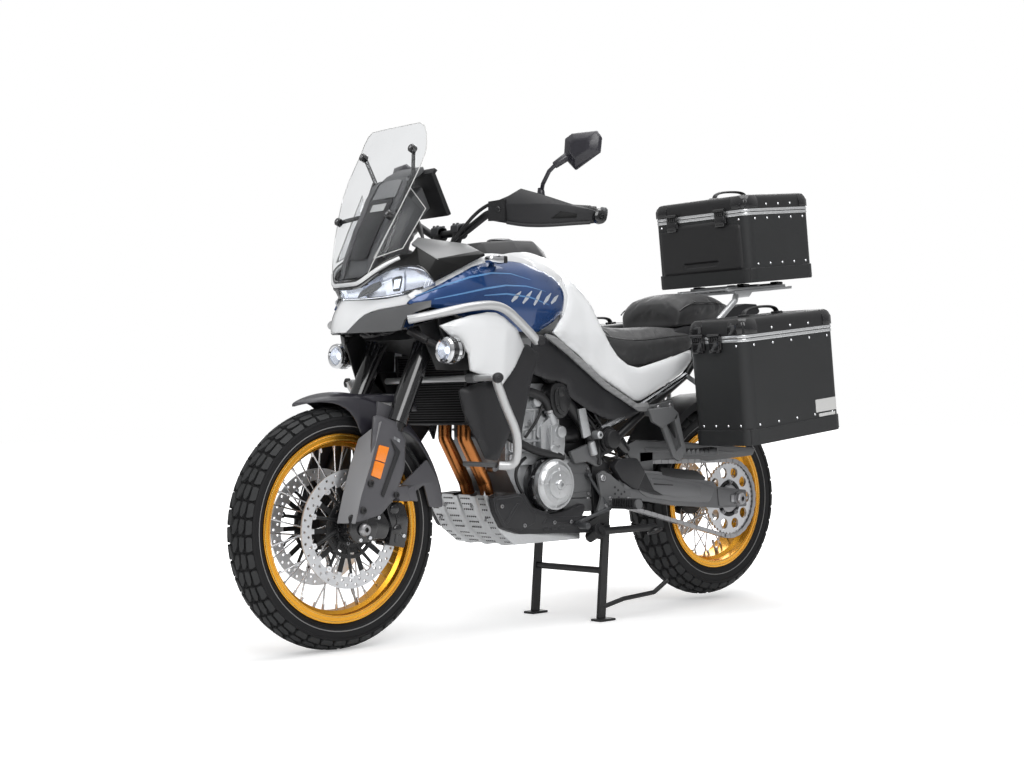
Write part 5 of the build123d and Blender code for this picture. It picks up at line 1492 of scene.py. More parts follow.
# ---------------------------------------------------------------- engine
class Engine:
    """Castings, covers, hoses and screws laid over the engine's plain mass."""

    SKIN = 112.0
    ALTERNATOR = (107.0, 420.0)
    CLUTCH = (80.0, 410.0)

    def build(self, shop: Assembly) -> None:
        """Builds both sides of the engine."""
        shop.add("cylinder_castings", self.cylinders(), Finishes.CAST)
        shop.add("cam_covers", self.cam_covers(), Finishes.BLACK_STEEL)
        shop.add("alternator_rings", self.alternator(), Finishes.TURNED)
        shop.add("alternator_edge", turned([(66, 113), (80, 113), (80, 146), (76, 152), (66, 152)],
                                           (107, 0, 420)),
                 Finishes.GLOSS)
        shop.add("clutch_cover", self.clutch_cover(), Finishes.TURNED)
        shop.add("sprocket_covers", self.sprocket_cover(), Finishes.GREY)
        shop.add("belly_covers", self.belly_covers(), Finishes.DARK)
        shop.add("water_pump", self.water_pump(), Finishes.CAST)
        shop.add("starter_and_throttle", self.inlet(), Finishes.BLACK_STEEL)
        shop.add("engine_screws", self.screws(), Finishes.STEEL)
        shop.add("engine_hoses", self.hoses(), Finishes.HOSE)
        shop.add("hose_clips", self.clips(), Finishes.STEEL)
        shop.add("shifter_linkage", self.shifter(), Finishes.DARK_ALLOY)

    def cylinders(self) -> BMesh:
        """Ribbed castings over the cylinders, left and right, and round the crankcase's joint."""
        s = self.SKIN
        block = slab([(100, 516), (248, 516), (250, 640), (222, 712), (150, 704), (112, 640)], s - 2, s + 8,
                     bevel=3, corner=10)
        parts = [block]
        for z in (548, 582, 640):
            parts.append(slab([(104, z - 4), (250, z - 2), (250, z + 5), (104, z + 3)], s + 4, s + 17,
                              bevel=2))
        for x in (112, 152, 196, 240):
            parts.append(slab([(x - 5, 522), (x + 5, 522), (x + 1, 700 - abs(196 - x)),
                               (x - 9, 700 - abs(196 - x))],
                              s + 4, s + 15, bevel=2))
        parts.append(slab([(160, 590), (232, 590), (226, 632), (168, 632)], s + 4, s + 13, bevel=4, corner=8))
        parts.append(slab([(90, 478), (252, 478), (252, 512), (90, 522)], s - 2, s + 15, bevel=4, corner=6))
        parts.append(bar((146, s + 4, 664), (146, s + 26, 664), 17, bevel=3))
        parts.append(bar((70, s, 472), (70, s + 24, 472), 20, bevel=3))
        parts.append(slab([(-72, 474), (60, 500), (60, 476), (-60, 452)], s - 2, s + 12, bevel=3, corner=6))
        fins = [box((98, -s - 3, z), (250, s + 3, z + 3.5), 1) for z in range(540, 702, 18)]
        return joined([twin(joined(parts)), *fins])

    def cam_covers(self) -> BMesh:
        """The dark oval cover high on the side, its strap and the box behind it."""
        s = self.SKIN
        oval = [(104, 712), (70, 719), (44, 707), (30, 672), (36, 634), (60, 611), (88, 615), (107, 646),
                (114, 682)]
        parts = [slab(oval, s - 12, s + 44, bevel=7, corner=14),
                 slab([(x * 0.8 + 12, z * 0.8 + 132) for x, z in oval], s + 42, s + 52, bevel=4, corner=10),
                 slab([(x * 0.5 + 32, z * 0.56 + 288) for x, z in oval], s + 50, s + 56, bevel=2, corner=8),
                 turned([(1, 60), (7, 60), (13, 57), (14, 50), (1, 50)], (78, s, 690), (0, 1, 0), 24),
                 box((-90, -96, 470), (78, 100, 700), 12), slab([(-90, 440), (70, 440), (70, 560),
                                                                 (-90, 560)], -104, 106)]
        parts += [bolt((x, s + 52, z), (0, 1, 0), 4, 3) for x, z in ((50, 640), (90, 650), (48, 694))]
        parts.append(slab([(244, 700), (286, 690), (292, 560), (262, 556)], -70, 70, bevel=6))
        return joined(parts)

    def alternator(self) -> BMesh:
        """Bright outer ring, step, inner disc and hub of the alternator's cover, with its cross of ribs."""
        x, z = self.ALTERNATOR
        profiles = ([(54, 150), (72, 150), (72, 160), (69, 168), (58, 177), (54, 177)],
                    [(36, 168), (55, 168), (55, 175), (53, 177.5), (36, 178)],
                    [(0.5, 170), (41, 170), (41.5, 181), (40, 183.5), (36, 184), (0.5, 184)],
                    [(6, 182), (13, 182), (15, 184), (15, 190), (12, 193), (6, 193)])
        parts = [turned(profile, (x, 0, z), steps=72) for profile in profiles]
        parts.append(turned([(0.5, 184), (4, 184), (6.5, 188), (6.5, 184), (0.5, 184)], (x, 0, z), steps=6))
        for a in (math.radians(degrees + 4) for degrees in (0, 90, 180, 270)):
            parts.append(bar(around(self.ALTERNATOR, 24, a, 184.6), around(self.ALTERNATOR, 66, a, 171), 2.2,
                             sides=6))
        return joined(parts)

    def clutch_cover(self) -> BMesh:
        """The right side's clutch cover with its steps and round bosses."""
        x, z = self.CLUTCH
        parts = [turned(p, (x, 0, z), (0, -1, 0), 64) for p in (
            [(58, 160), (98, 160), (96, 168), (90, 172), (58, 172)], [(30, 168), (60, 168), (60, 178),
                                                                      (54, 183), (30, 184)],
            [(0.5, 180), (32, 180), (31, 186), (26, 188), (0.5, 188)])]
        parts += [bar(around(self.CLUTCH, 76, turn, -170), around(self.CLUTCH, 76, turn, -176), 6, sides=12)
                  for turn in turns(10)]
        return joined(parts)

    def sprocket_cover(self) -> BMesh:
        """Grey moulded cover over the front sprocket, with two creases."""
        s = self.SKIN
        plate = slab([(24, 473), (-11, 492), (-72, 469), (-90, 430), (-88, 372), (13, 374), (28, 400)], s + 6,
                     s + 16, bevel=3, corner=6)
        crease = slab([(20, 448), (-66, 444), (-80, 420), (-78, 392), (10, 388)], s + 14, s + 19, bevel=2.5,
                      corner=5)
        lower = slab([(30, 374), (-90, 368), (-84, 330), (20, 332), (44, 348)], s + 4, s + 14, bevel=3,
                     corner=6)
        bracket = slab([(20, 512), (-57, 534), (-108, 516), (-118, 470), (-95, 462), (-56, 480), (0, 476)],
                       s + 16, s + 30, bevel=4, corner=6)
        return joined([plate, crease, lower, bracket])

    @staticmethod
    def belly_covers() -> BMesh:
        """Raised creases, ribs and slots on the dark lower covers."""
        left = [slab([(330, 386), (232, 392), (206, 360), (172, 336), (176, 312), (236, 292), (290, 306),
                      (322, 352)],
                     147, 151, bevel=2, corner=8),
                slab([(240, 372), (250, 372), (296, 322), (290, 314)], 150, 154, bevel=1.6),
                slab([(120, 328), (-44, 314), (-44, 304), (150, 306)], 147, 152, bevel=2)]
        skirt = slab([(214, 399), (196, 372), (178, 352), (112, 334), (40, 340), (-29, 358), (-34, 340),
                      (-12, 306), (31, 290), (175, 290), (236, 298), (300, 300), (330, 350), (330, 392)], 118,
                     149, bevel=5, corner=8)
        left.append(skirt)
        left += [slab([(x, 296), (x + 22, 297), (x + 18, 287), (x - 2, 286)], 147, 150.5, bevel=1.2)
                 for x in (60, 92, 124)]
        return twin(joined(left))

    def water_pump(self) -> BMesh:
        """Pump body beside the cylinders with its outlet neck and cap."""
        s = self.SKIN
        parts = [slab([(112, 594), (80, 602), (50, 586), (44, 548), (52, 494), (90, 484), (121, 500),
                       (112, 548)], s - 2, 150,
                      bevel=8, corner=12),
                 bar((70, s, 572), (70, 161, 572), 22, 18, bevel=4), bar((98, s, 520), (98, 158, 520), 20, 16,
                                                                         bevel=4),
                 slab([(100, 590), (112, 590), (116, 500), (104, 500)], 146, 155, bevel=3),
                 bar((84, 138, 596), (98, 136, 634), 15, 13), bar((60, 128, 510), (42, 128, 496), 15, 14),
                 slab([(120, 618), (142, 626), (150, 560), (126, 548)], s, s + 22, bevel=5, corner=6),
                 slab([(-4, 638), (-34, 642), (-56, 560), (-24, 550)], 146, 156, bevel=2, corner=4)]
        parts.append(turned([(5, 62), (8, 62), (12, 59), (13, 34), (5, 34)], (-79, s, 560), (0, 1, 0), 20))
        parts.append(bar((-60, 150, 540), (-72, 150, 500), 12, bevel=3))
        return joined(parts)

    def inlet(self) -> BMesh:
        """Starter motor, throttle bodies and air box between the engine and the tank."""
        parts = [bar((-130, 60, 540), (-130, 142, 540), 42, bevel=6), bar((-130, 140, 540), (-130, 148, 540),
                                                                          30, bevel=2),
                 bar((-40, 96, 560), (60, 96, 560), 26, bevel=4), box((-60, -96, 700), (150, 96, 800), 16),
                 bar((-20, 40, 640), (-20, 120, 640), 30, bevel=5), bar((-20, -40, 640), (-20, -120, 640), 30,
                                                                        bevel=5)]
        parts += [bar((-60 - 9 * i, 118, 668 - 8 * i), (-60 - 9 * i, 124, 668 - 8 * i), 22, sides=24)
                  for i in range(7)]
        parts += [turned([(20, 128 + 8 * i), (43 - i * i * 0.9, 128 + 8 * i), (44 - i * i * 0.9, 132 + 8 * i),
                          (20, 132 + 8 * i)], (-136, 0, 545), steps=32) for i in range(6)]
        parts.append(bar((-136, 120, 545), (-136, 176, 545), 36, 28, bevel=4))
        parts.append(slab([(262, 742), (196, 792), (150, 790), (172, 700), (224, 708)], 60, 128, bevel=5,
                          corner=6))
        return joined(parts)

    def screws(self) -> BMesh:
        """Screws round the covers and castings."""
        s = self.SKIN
        parts = []
        for turn in turns(8, 0.4):
            parts.append(bolt(around(self.ALTERNATOR, 77, turn, 146), (0, 1, 0), 4.5, 6))
            parts.append(bolt(around(self.CLUTCH, 102, turn, -150), (0, -1, 0), 5, 8))
        for x, z in ((12, 392), (-64, 384), (-62, 458), (14, 462)):
            parts.append(bolt((x, s + 16, z), (0, 1, 0), 5, 5))
        for side in SIDES:
            for x, z in ((308, 366), (220, 306), (100, 308), (-34, 292), (30, 306)):
                parts.append(bolt((x, side * 148, z), (0, side, 0), 6.5, 6))
            for x, z in ((108, 498), (240, 494), (120, 640), (236, 606), (230, 544), (172, 604)):
                parts.append(bolt((x, side * (s + 14), z), (0, side, 0), 5, 5))
        parts += [bolt((x, 149, z), (0, 1, 0), 4.5, 4) for x, z in ((74, 588), (102, 544), (76, 530))]
        return joined(parts)

    @staticmethod
    def hoses() -> BMesh:
        """Coolant hoses and wires that run between fixed ends."""
        lines = [
            (((98, 136, 630), (112, 140, 664), (168, 146, 690), (250, 140, 700), (340, 120, 690),
              (398, 110, 680)), 13),
            (((44, 128, 498), (70, 150, 500), (180, 150, 520), (250, 132, 560), (330, 96, 600),
              (398, 90, 620)), 12),
            (((-36, 120, 640), (-90, 132, 600), (-110, 140, 520), (-96, 146, 470)), 5),
            (((60, 118, 740), (110, 130, 700), (128, 134, 640), (150, 130, 600), (196, 134, 560)), 4.5),
            (((190, 126, 500), (236, 136, 480), (238, 134, 430), (206, 130, 396)), 5),
            (((-40, 122, 690), (-84, 128, 650), (-110, 132, 600), (-150, 140, 560), (-200, 130, 560)), 4),
            (((60, 124, 690), (36, 130, 720), (-20, 126, 740), (-100, 118, 720)), 4),
            (((150, 126, 760), (186, 132, 700), (208, 128, 660), (200, 124, 620)), 4),
            (((398, -110, 690), (300, -136, 700), (200, -134, 660), (120, -130, 600)), 13),
        ]
        return joined(pipe(points, radius) for points, radius in lines)

    @staticmethod
    def clips() -> BMesh:
        """Hose clips at the hoses' ends."""
        spots = (((99, 136, 636), (0.35, 0.1, 1), 14), ((47, 131, 499), (1, 0.7, 0.1), 13),
                 ((384, 112, 683), (1, -0.2, -0.1), 14), ((384, 91, 616), (1, -0.1, 0.3), 13))
        return joined(turned([(r, -4), (r + 1.6, -4), (r + 1.6, 4), (r, 4)], place, axis, 24) for place, axis,
                      r in spots)

    @staticmethod
    def shifter() -> BMesh:
        """Gear shift rod from the peg's plate up to the engine, with its joints."""
        parts = [bar((-124, 164, 338), (8, 150, 300), 6), bar((-56, 140, 440), (-110, 160, 352), 5),
                 bar((8, 138, 300), (8, 172, 300), 8, bevel=1), bar((-56, 130, 440), (-56, 148, 440), 8,
                                                                    bevel=1),
                 bar((8, 166, 300), (30, 196, 296), 7), bar((30, 186, 296), (30, 222, 296), 10, bevel=3)]
        return joined(parts)


# ---------------------------------------------------------------- under and beside the engine
class Underside:
    """Skid plate ribs and perforations, radiator fins, exhaust joints and side panels' trim."""

    def build(self, shop: Assembly) -> None:
        """Builds the pieces round the engine's lower half."""
        shop.add("skid_plate_shell", self.skid(), Finishes.ALUMINIUM, ["skid_plate"])
        shop.add("skid_plate_holes", self.holes(), Finishes.GLOSS)
        shop.add("skid_plate_screws", joined(bolt(p, a, 7, 4) for p, a in (
            ((322, 100, 326), (0.8, 0, 0.3)), ((322, -100, 326), (0.8, 0, 0.3)), ((340, 60, 366),
                                                                                  (0.9, 0, 0.2)),
            ((340, -60, 366), (0.9, 0, 0.2)), ((300, 126.5, 330), (0, 1, 0)))), Finishes.STEEL)
        shop.add("radiator_fins", self.fins(), Finishes.FIN)
        shop.add("exhaust_collars", self.collars(), Finishes.STEEL)
        shop.add("silencer_ends", self.silencer(), Finishes.BLACK_STEEL)
        shop.add("side_panel_skins", self.side_panels(), Finishes.DARK, ["radiator_side_panels"])

    # the skid plate seen from the side, from its upper front edge back
    LINE = ((352, 398), (330, 345), (296, 292), (238, 250), (60, 250), (-30, 250))

    def skid(self) -> BMesh:
        """The folded sheet, pressed with raised ribs, its sides turned up."""
        across = [-126, -122, -92, -86, -66, -60, -14, -8, 8, 14, 60, 66, 86, 92, 122, 126]
        raised = {-86, -66, 66, 86, -8, 8}
        bm = bmesh.new()
        grid = []
        for x, z in self.LINE:
            lift = 3.5 if x > 100 else 2.0
            row = []
            for y in across:
                up = (14 if abs(y) == 126 else 0) + (-lift if y in raised else 0)
                ahead = -0.6 * up if up < 0 and x > 240 else 0
                row.append(bm.verts.new((x + ahead, y, z + up)))
            grid.append(row)
        for a, b in zip(grid, grid[1:]):
            for i in range(len(across) - 1):
                bm.faces.new((a[i], a[i + 1], b[i + 1], b[i]))
        bmesh.ops.recalc_face_normals(bm, faces=bm.faces)
        bmesh.ops.solidify(bm, geom=list(bm.faces), thickness=4.0)
        side = slab([(340, 398), (352, 398), (330, 345), (296, 292), (238, 250), (-30, 250), (-30, 270),
                     (232, 286), (286, 310), (312, 352)], 122, 126.4, bevel=1)
        soften(bm, 1.5, 2, 25)
        return joined([bm, twin(side)])

    def holes(self) -> BMesh:
        """Three bands of slots in the plate's nose."""
        parts = []
        for t in (0.2, 0.5, 0.8):
            for (ax, az), (bx, bz) in zip(self.LINE[:3], self.LINE[1:4]):
                x, z = ax + (bx - ax) * t, az + (bz - az) * t
                along = Vector((bx - ax, 0, bz - az)).normalized()
                out = Vector((-along.z, 0, along.x))
                out = out if out.x > 0 else -out
                for centre in (-37, 37, -107, 107):
                    for i in range(-2, 3):
                        if abs(centre) > 100 and abs(i) > 1:
                            continue
                        place = Vector((x, centre + i * 8.5, z)) + out * 1.2
                        parts.append(bar(tuple(place - out * 1.4), tuple(place + out * 0.2), 2.6, sides=10))
        return joined(parts)

    @staticmethod
    def fins() -> BMesh:
        """Close fins across the radiator's face, its frame and filler neck."""
        parts = [box((433, -149, z), (438, 149, z + 2.4)) for z in range(612, 794, 7)]
        parts += [box((430, -152, z), (440, 152, z + 7), 2) for z in (600, 794)]
        parts += [box((428, side * 150 - 5, 600), (440, side * 150 + 5, 800), 2) for side in SIDES]
        parts.append(bar((404, -150, 800), (404, -150, 826), 14, bevel=2))
        parts += [box((372, side * 60 - 40, 620), (392, side * 60 + 40, 780), 6) for side in SIDES]
        return joined(parts)

    @staticmethod
    def collars() -> BMesh:
        """Flanges where the pipes leave the cylinders, the joints further back, and a sensor's boss."""
        parts = []
        for y in (42, -42):
            parts.append(turned([(20.5, -8), (32, -8), (32, 0), (20.5, 2)], (272, y, 639), (1, 0, -0.1), 28))
            parts.append(turned([(20.2, -6), (23.5, -6), (23.5, 6), (20.2, 6)], (262, y, 390), (0.3, 0, 1),
                                28))
        parts.append(turned([(23.2, -9), (27, -9), (27, 9), (23.2, 9)], (-50, -42, 292), (1, 0.1, 0), 28))
        parts.append(turned([(23.2, -9), (29, -9), (29, 9), (23.2, 9)], (-352, -198, 389),
                            (-0.98, -0.1, 0.16), 28))
        parts.append(turned([(1, 10), (9, 10), (12, 0), (12, -14), (1, -14)], (262, 64, 470), (0, 1, 0), 16))
        return joined(parts)

    @staticmethod
    def silencer() -> BMesh:
        """End caps, outlet and heat shield of the silencer."""
        mouth, tail = Vector((-372, -204, 398)), Vector((-742, -204, 458))
        along = (tail - mouth).normalized()
        parts = [turned([(24, -2), (40, -4), (53.5, 0), (53.5, 26), (52, 28), (24, 28)], tuple(mouth),
                        tuple(along), 48),
                 turned([(18, -30), (52, -30), (54, -26), (54, -4), (46, 6), (20, 8), (18, 4)], tuple(tail),
                        tuple(along), 48)]
        shield = pipe([tuple(mouth + along * t + Vector((0, -48, 22))) for t in (60, 160, 260)], 12, 4)
        return joined([*parts, shield])

    @staticmethod
    def side_panels() -> BMesh:
        """The dark panels beside the radiator and up to the white covers."""
        low = PanelShape(((484, 700), (430, 716), (376, 722), (330, 660), (288, 596), (326, 546), (361, 498),
                          (406, 504), (440, 566), (472, 640)), ((280, 190), (360, 206), (430, 204),
                                                                (500, 178)), roll=9,
                         reach=18, cell=12)
        high = PanelShape(((330, 736), (286, 796), (270, 824), (238, 828), (190, 800), (206, 770), (226, 716),
                           (250, 630), (271, 550), (300, 606), (340, 664), (374, 716)),
                          ((200, 198), (280, 196), (376, 198)), roll=5, reach=10, cell=12)
        crease = slab([(300, 604), (366, 706), (372, 700), (306, 596)], 196, 207, bevel=2)
        return twin(joined([low.mesh(), high.mesh(), crease]))


# ---------------------------------------------------------------- rear end
class RearEnd:
    """Swingarm trim, chain links, shock and spring, hangers, pegs and stands."""

    FRONT_SPROCKET = (-40.0, 432.0)
    # radii at which the chain runs round the front and the rear sprocket
    CHAIN_RADII = (43.5, 124.5)
    CHAIN_Y = 112
    PITCH = 15.875
    # the links ahead of this place lie inside the front sprocket's cover
    CHAIN_HIDDEN = -84

    def build(self, shop: Assembly) -> None:
        """Builds the pieces behind the engine."""
        shop.add("swingarm_skins", self.arm(), Finishes.ARM)
        shop.add("swingarm_recess", self.recess(), Finishes.BLACK_STEEL)
        shop.add("pivot_covers", self.pivot_cover(), Finishes.DARK)
        shop.add("axle_adjusters", self.adjusters(), Finishes.STEEL)
        shop.add("chain_links", self.links(), Finishes.STEEL)
        shop.add("chain_cover", self.chain_cover(), Finishes.GREY, ["chain_guard"])
        shop.add("shock_spring", self.spring(), Finishes.GLOSS)
        shop.add("peg_trim", self.pegs(), Finishes.BLACK_STEEL)
        shop.add("peg_screws", self.peg_screws(), Finishes.STEEL)
        shop.add("stand_springs", self.stand_parts(), Finishes.STEEL, body="centre_stand")
        shop.add("hanger_plates", self.hangers(), Finishes.GREY)
        # the struts' bright chrome is painted highlight: the subframe tube there is dark grey, lit along its
        # length
        shop.add("seat_struts", twin(pipe([(-118, 136, 576), (-210, 137, 612), (-304, 138, 648),
                                           (-410, 134, 694), (-520, 130, 741)], 10.5, 3)), Finishes.SLIDER)
        shop.add("rear_hugger", self.hugger(), Finishes.DARK)
        shop.add("brake_lines", self.lines(), Finishes.HOSE)

    @staticmethod
    def arm() -> BMesh:
        """Stepped panels on the arm's outer faces."""
        left = [slab([(-300, 436), (-360, 430), (-610, 388), (-628, 374), (-600, 330), (-430, 342),
                      (-300, 362), (-262, 384)],
                     148, 152, bevel=2, corner=10),
                slab([(-320, 420), (-380, 414), (-560, 384), (-560, 350), (-430, 356), (-320, 376)], 151, 155,
                     bevel=2, corner=8),
                slab([(-640, 374), (-786, 358), (-786, 314), (-648, 316)], 148, 153, bevel=2, corner=6),
                slab([(-196, 432), (-280, 440), (-262, 400), (-200, 388)], 148, 152, bevel=2, corner=6)]
        right = [slab([(-300, 492), (-470, 462), (-610, 392), (-600, 372), (-520, 392), (-420, 420),
                       (-300, 424)], -152, -148,
                      bevel=2, corner=8),
                 slab([(-640, 374), (-786, 358), (-786, 314), (-680, 316)], -153, -148, bevel=2, corner=6)]
        return joined([*left, *right])

    @staticmethod
    def recess() -> BMesh:
        """The dark slot high in the arm's left side."""
        return joined([slab([(-370, 452), (-540, 436), (-588, 410), (-580, 402), (-380, 420)], 146, 149.5,
                            bevel=1, corner=5),
                       slab([(-330, 404), (-420, 396), (-420, 392), (-330, 399)], 154, 156.2, bevel=0.8)])

    @staticmethod
    def pivot_cover() -> BMesh:
        """Moulded covers over the arm's pivot, with a raised crease."""
        left = [slab([(-146, 462), (-169, 484), (-251, 486), (-289, 440), (-252, 386), (-224, 396),
                      (-180, 420)], 136, 162,
                     bevel=5, corner=8),
                slab([(-226, 400), (-252, 390), (-334, 368), (-372, 364), (-326, 384), (-290, 436),
                      (-282, 440)], 146, 160,
                     bevel=3, corner=4)]
        return joined(left)

    @staticmethod
    def hangers() -> BMesh:
        """Broad plates of the passenger's peg hangers, each round a three-cornered window."""
        plates = (((-226, 633), (-332, 641), (-358, 622), (-350, 604), (-303, 584), (-289, 576), (-242, 596)),
                  ((-303, 586), (-286, 578), (-333, 486), (-364, 471), (-347, 502)),
                  ((-340, 606), (-358, 624), (-391, 508), (-364, 471), (-347, 502), (-372, 518)))
        parts = [slab(list(line), 226, 237, bevel=3, corner=3) for line in plates]
        parts.append(slab([(-290, 636), (-340, 640), (-340, 620), (-300, 612)], 150, 228, bevel=3))
        return twin(joined(parts))

    @staticmethod
    def adjusters() -> BMesh:
        """Axle blocks, their screws and the pivot's caps."""
        parts = []
        for side in SIDES:
            parts.append(slab([(-704, 350), (-776, 346), (-776, 324), (-704, 326)], side * 152, side * 157,
                              bevel=1.5, corner=4))
            parts.append(bar((-786, side * 140, 335), (-806, side * 140, 335), 5, sides=12))
            parts.append(turned([(1, 24), (12, 24), (20, 20), (22, 0), (1, 0)], (-118, side * 128, 430),
                                (0, side, 0), 24))
            parts.append(bolt((-118, side * 152, 430), (0, side, 0), 12, 6))
        return joined(parts)

    def chain_route(self) -> list[tuple[float, float, float, int]]:
        """Each link's place, slope and kind (1 is an outer one), along both runs and round the sprocket."""
        (fx, fz), (rx, rz), pitch = self.FRONT_SPROCKET, REAR_AXLE, self.PITCH
        front, rear = self.CHAIN_RADII
        gap = math.hypot(rx - fx, rz - fz)
        base = math.atan2(rz - fz, rx - fx)
        lean = math.acos((front - rear) / gap)
        up, down = base - lean, base + lean
        route = []
        for a in (up, down):
            start = (fx + front * math.cos(a), fz + front * math.sin(a))
            end = (rx + rear * math.cos(a), rz + rear * math.sin(a))
            run = Vector((end[0] - start[0], 0, end[1] - start[1]))
            count = int(run.length / pitch)
            for i in range(count):
                x, z = start[0] + run.x * (i + 0.5) / count, start[1] + run.z * (i + 0.5) / count
                if x < self.CHAIN_HIDDEN:
                    route.append((x, z, math.atan2(run.z, run.x), i % 2))
        arc = (down - up) % math.tau
        arc = arc if arc < math.pi * 1.4 else arc - math.tau
        count = int(abs(arc) * rear / pitch)
        for i in range(count):
            a = up + arc * (i + 0.5) / count
            route.append((rx + rear * math.cos(a), rz + rear * math.sin(a), a + math.pi / 2, i % 2))
        return route

    def links(self) -> BMesh:
        """Side plates along the chain."""
        outline = [(-11, -4), (-8, -6.5), (8, -6.5), (11, -4), (11, 4), (8, 6.5), (-8, 6.5), (-11, 4)]
        parts = []
        for x, z, turn, outer in self.chain_route():
            reach = 10.5 if outer else 9.0
            place = Matrix.Translation((x, self.CHAIN_Y, z)) @ Matrix.Rotation(-turn, 4, "Y")
            parts += [moved(slab(outline, side * (reach - 2), side * reach), place) for side in SIDES]
        return joined(parts)

    @staticmethod
    def chain_cover() -> BMesh:
        """The chain's moulded guard with a window and a crease."""
        frame_line = [(-236, 522), (-290, 540), (-500, 528), (-870, 498), (-856, 474), (-620, 462),
                      (-590, 470), (-420, 476), (-300, 470), (-252, 486)]
        parts = [slab(frame_line, 122, 127, bevel=1.6, corner=5),
                 slab([(-290, 540), (-870, 498), (-870, 494), (-290, 536)], 96, 127, bevel=1),
                 slab([(-320, 514), (-520, 508), (-760, 488), (-756, 482), (-520, 496), (-330, 500)], 126,
                      130, bevel=1.5),
                 slab([(-300, 500), (-360, 500), (-360, 441), (-300, 444)], 122, 127, bevel=1)]
        return joined(parts)

    @staticmethod
    def spring() -> BMesh:
        """The shock's coil spring, its cups and the preload knob's reservoir."""
        foot, head = Vector((-196, 20, 470)), Vector((-176, 20, 690))
        points = []
        turns, steps = 7.5, 14
        side = Vector((0, 1, 0))
        along = (head - foot).normalized()
        other = along.cross(side)
        for i in range(int(turns * steps) + 1):
            a = math.tau * i / steps
            points.append(tuple(foot + (head - foot) * i / (turns * steps)
                                + (side * math.cos(a) + other * math.sin(a)) * 34))
        parts = [pipe(points, 6, 2, smooth=False)]
        parts += [turned([(8, -4), (42, -4), (42, 3), (8, 5)], tuple(place), tuple(along), 28)
                  for place in (foot, head)]
        parts.append(bar((-200, 108, 560), (-238, 118, 500), 24, bevel=5))
        return joined(parts)

    @staticmethod
    def pegs() -> BMesh:
        """Rubber and teeth on the pegs, and the drilled plate's dark holes."""
        parts = []
        for side in SIDES:
            for i in range(9):
                y = side * (178 + 10 * i)
                parts.append(box((-160, y - 2.5, 340), (-120, y + 2.5, 368), 1))
            parts.append(slab([(-118, 338), (-162, 338), (-162, 344), (-118, 344)], side * 172, side * 268,
                              bevel=2))
            for x, z in ((-150, 400), (-164, 390), (-178, 378), (-150, 380), (-166, 368), (-192, 384),
                         (-180, 362)):
                parts.append(bar((x, side * 159.6, z), (x, side * 160.6, z), 4, sides=12))
            for i in range(7):
                t = i / 7
                x, y, z = -424 - 52 * t, side * (204 + 80 * t), 505 + 5 * t
                parts.append(box((x - 14, y - 3, z - 14), (x + 14, y + 3, z + 4), 1.5))
        return joined(parts)

    @staticmethod
    def peg_screws() -> BMesh:
        """Bolts of the pegs' plates and of the passenger's hangers."""
        parts = []
        for side in SIDES:
            for x, z, r in ((-96, 430, 11), (-128, 366, 8), (-108, 346, 7), (-206, 362, 7)):
                parts.append(bolt((x, side * 160, z), (0, side, 0), r, 6))
            for x, z in ((-318, 640), (-372, 646), (-418, 498)):
                parts.append(bolt((x, side * 190, z), (0, side, 0), 7, 5))
        return joined(parts)

    @staticmethod
    def stand_parts() -> BMesh:
        """Caps over the ends of the centre stand's pivot."""
        parts = [turned([(1, 8), (9, 8), (13, 4), (13, 0), (1, 0)], (-122, side * 138, 276), (0, side, 0), 20)
                 for side in SIDES]
        return joined(parts)

    @staticmethod
    def hugger() -> BMesh:
        """The short mudguard over the rear wheel, behind the swingarm's brace."""
        section = ((-82, 316), (-80, 338), (-50, 348), (0, 351), (50, 348), (80, 338), (82, 316), (78, 316),
                   (76, 335), (48, 344), (0, 347), (-48, 344), (-76, 335), (-78, 316))
        return loft([[around(REAR_AXLE, r, math.radians(100 - i * 9), y) for y, r in section]
                     for i in range(9)])

    @staticmethod
    def lines() -> BMesh:
        """Brake line along the arm, and wires under the seat."""
        return joined([
            pipe([(-670, -118, 372), (-600, -124, 420), (-480, -122, 486), (-300, -118, 512),
                  (-220, -130, 480), (-150, -140, 400)], 4),
            pipe([(-300, 132, 700), (-340, 136, 740), (-460, 134, 760), (-560, 128, 800), (-660, 118, 850)],
                 5),
            pipe([(-240, 120, 560), (-280, 126, 620), (-330, 136, 660), (-400, 130, 720)], 4)])


# ---------------------------------------------------------------- nose
Station = tuple[Point3, Point3]


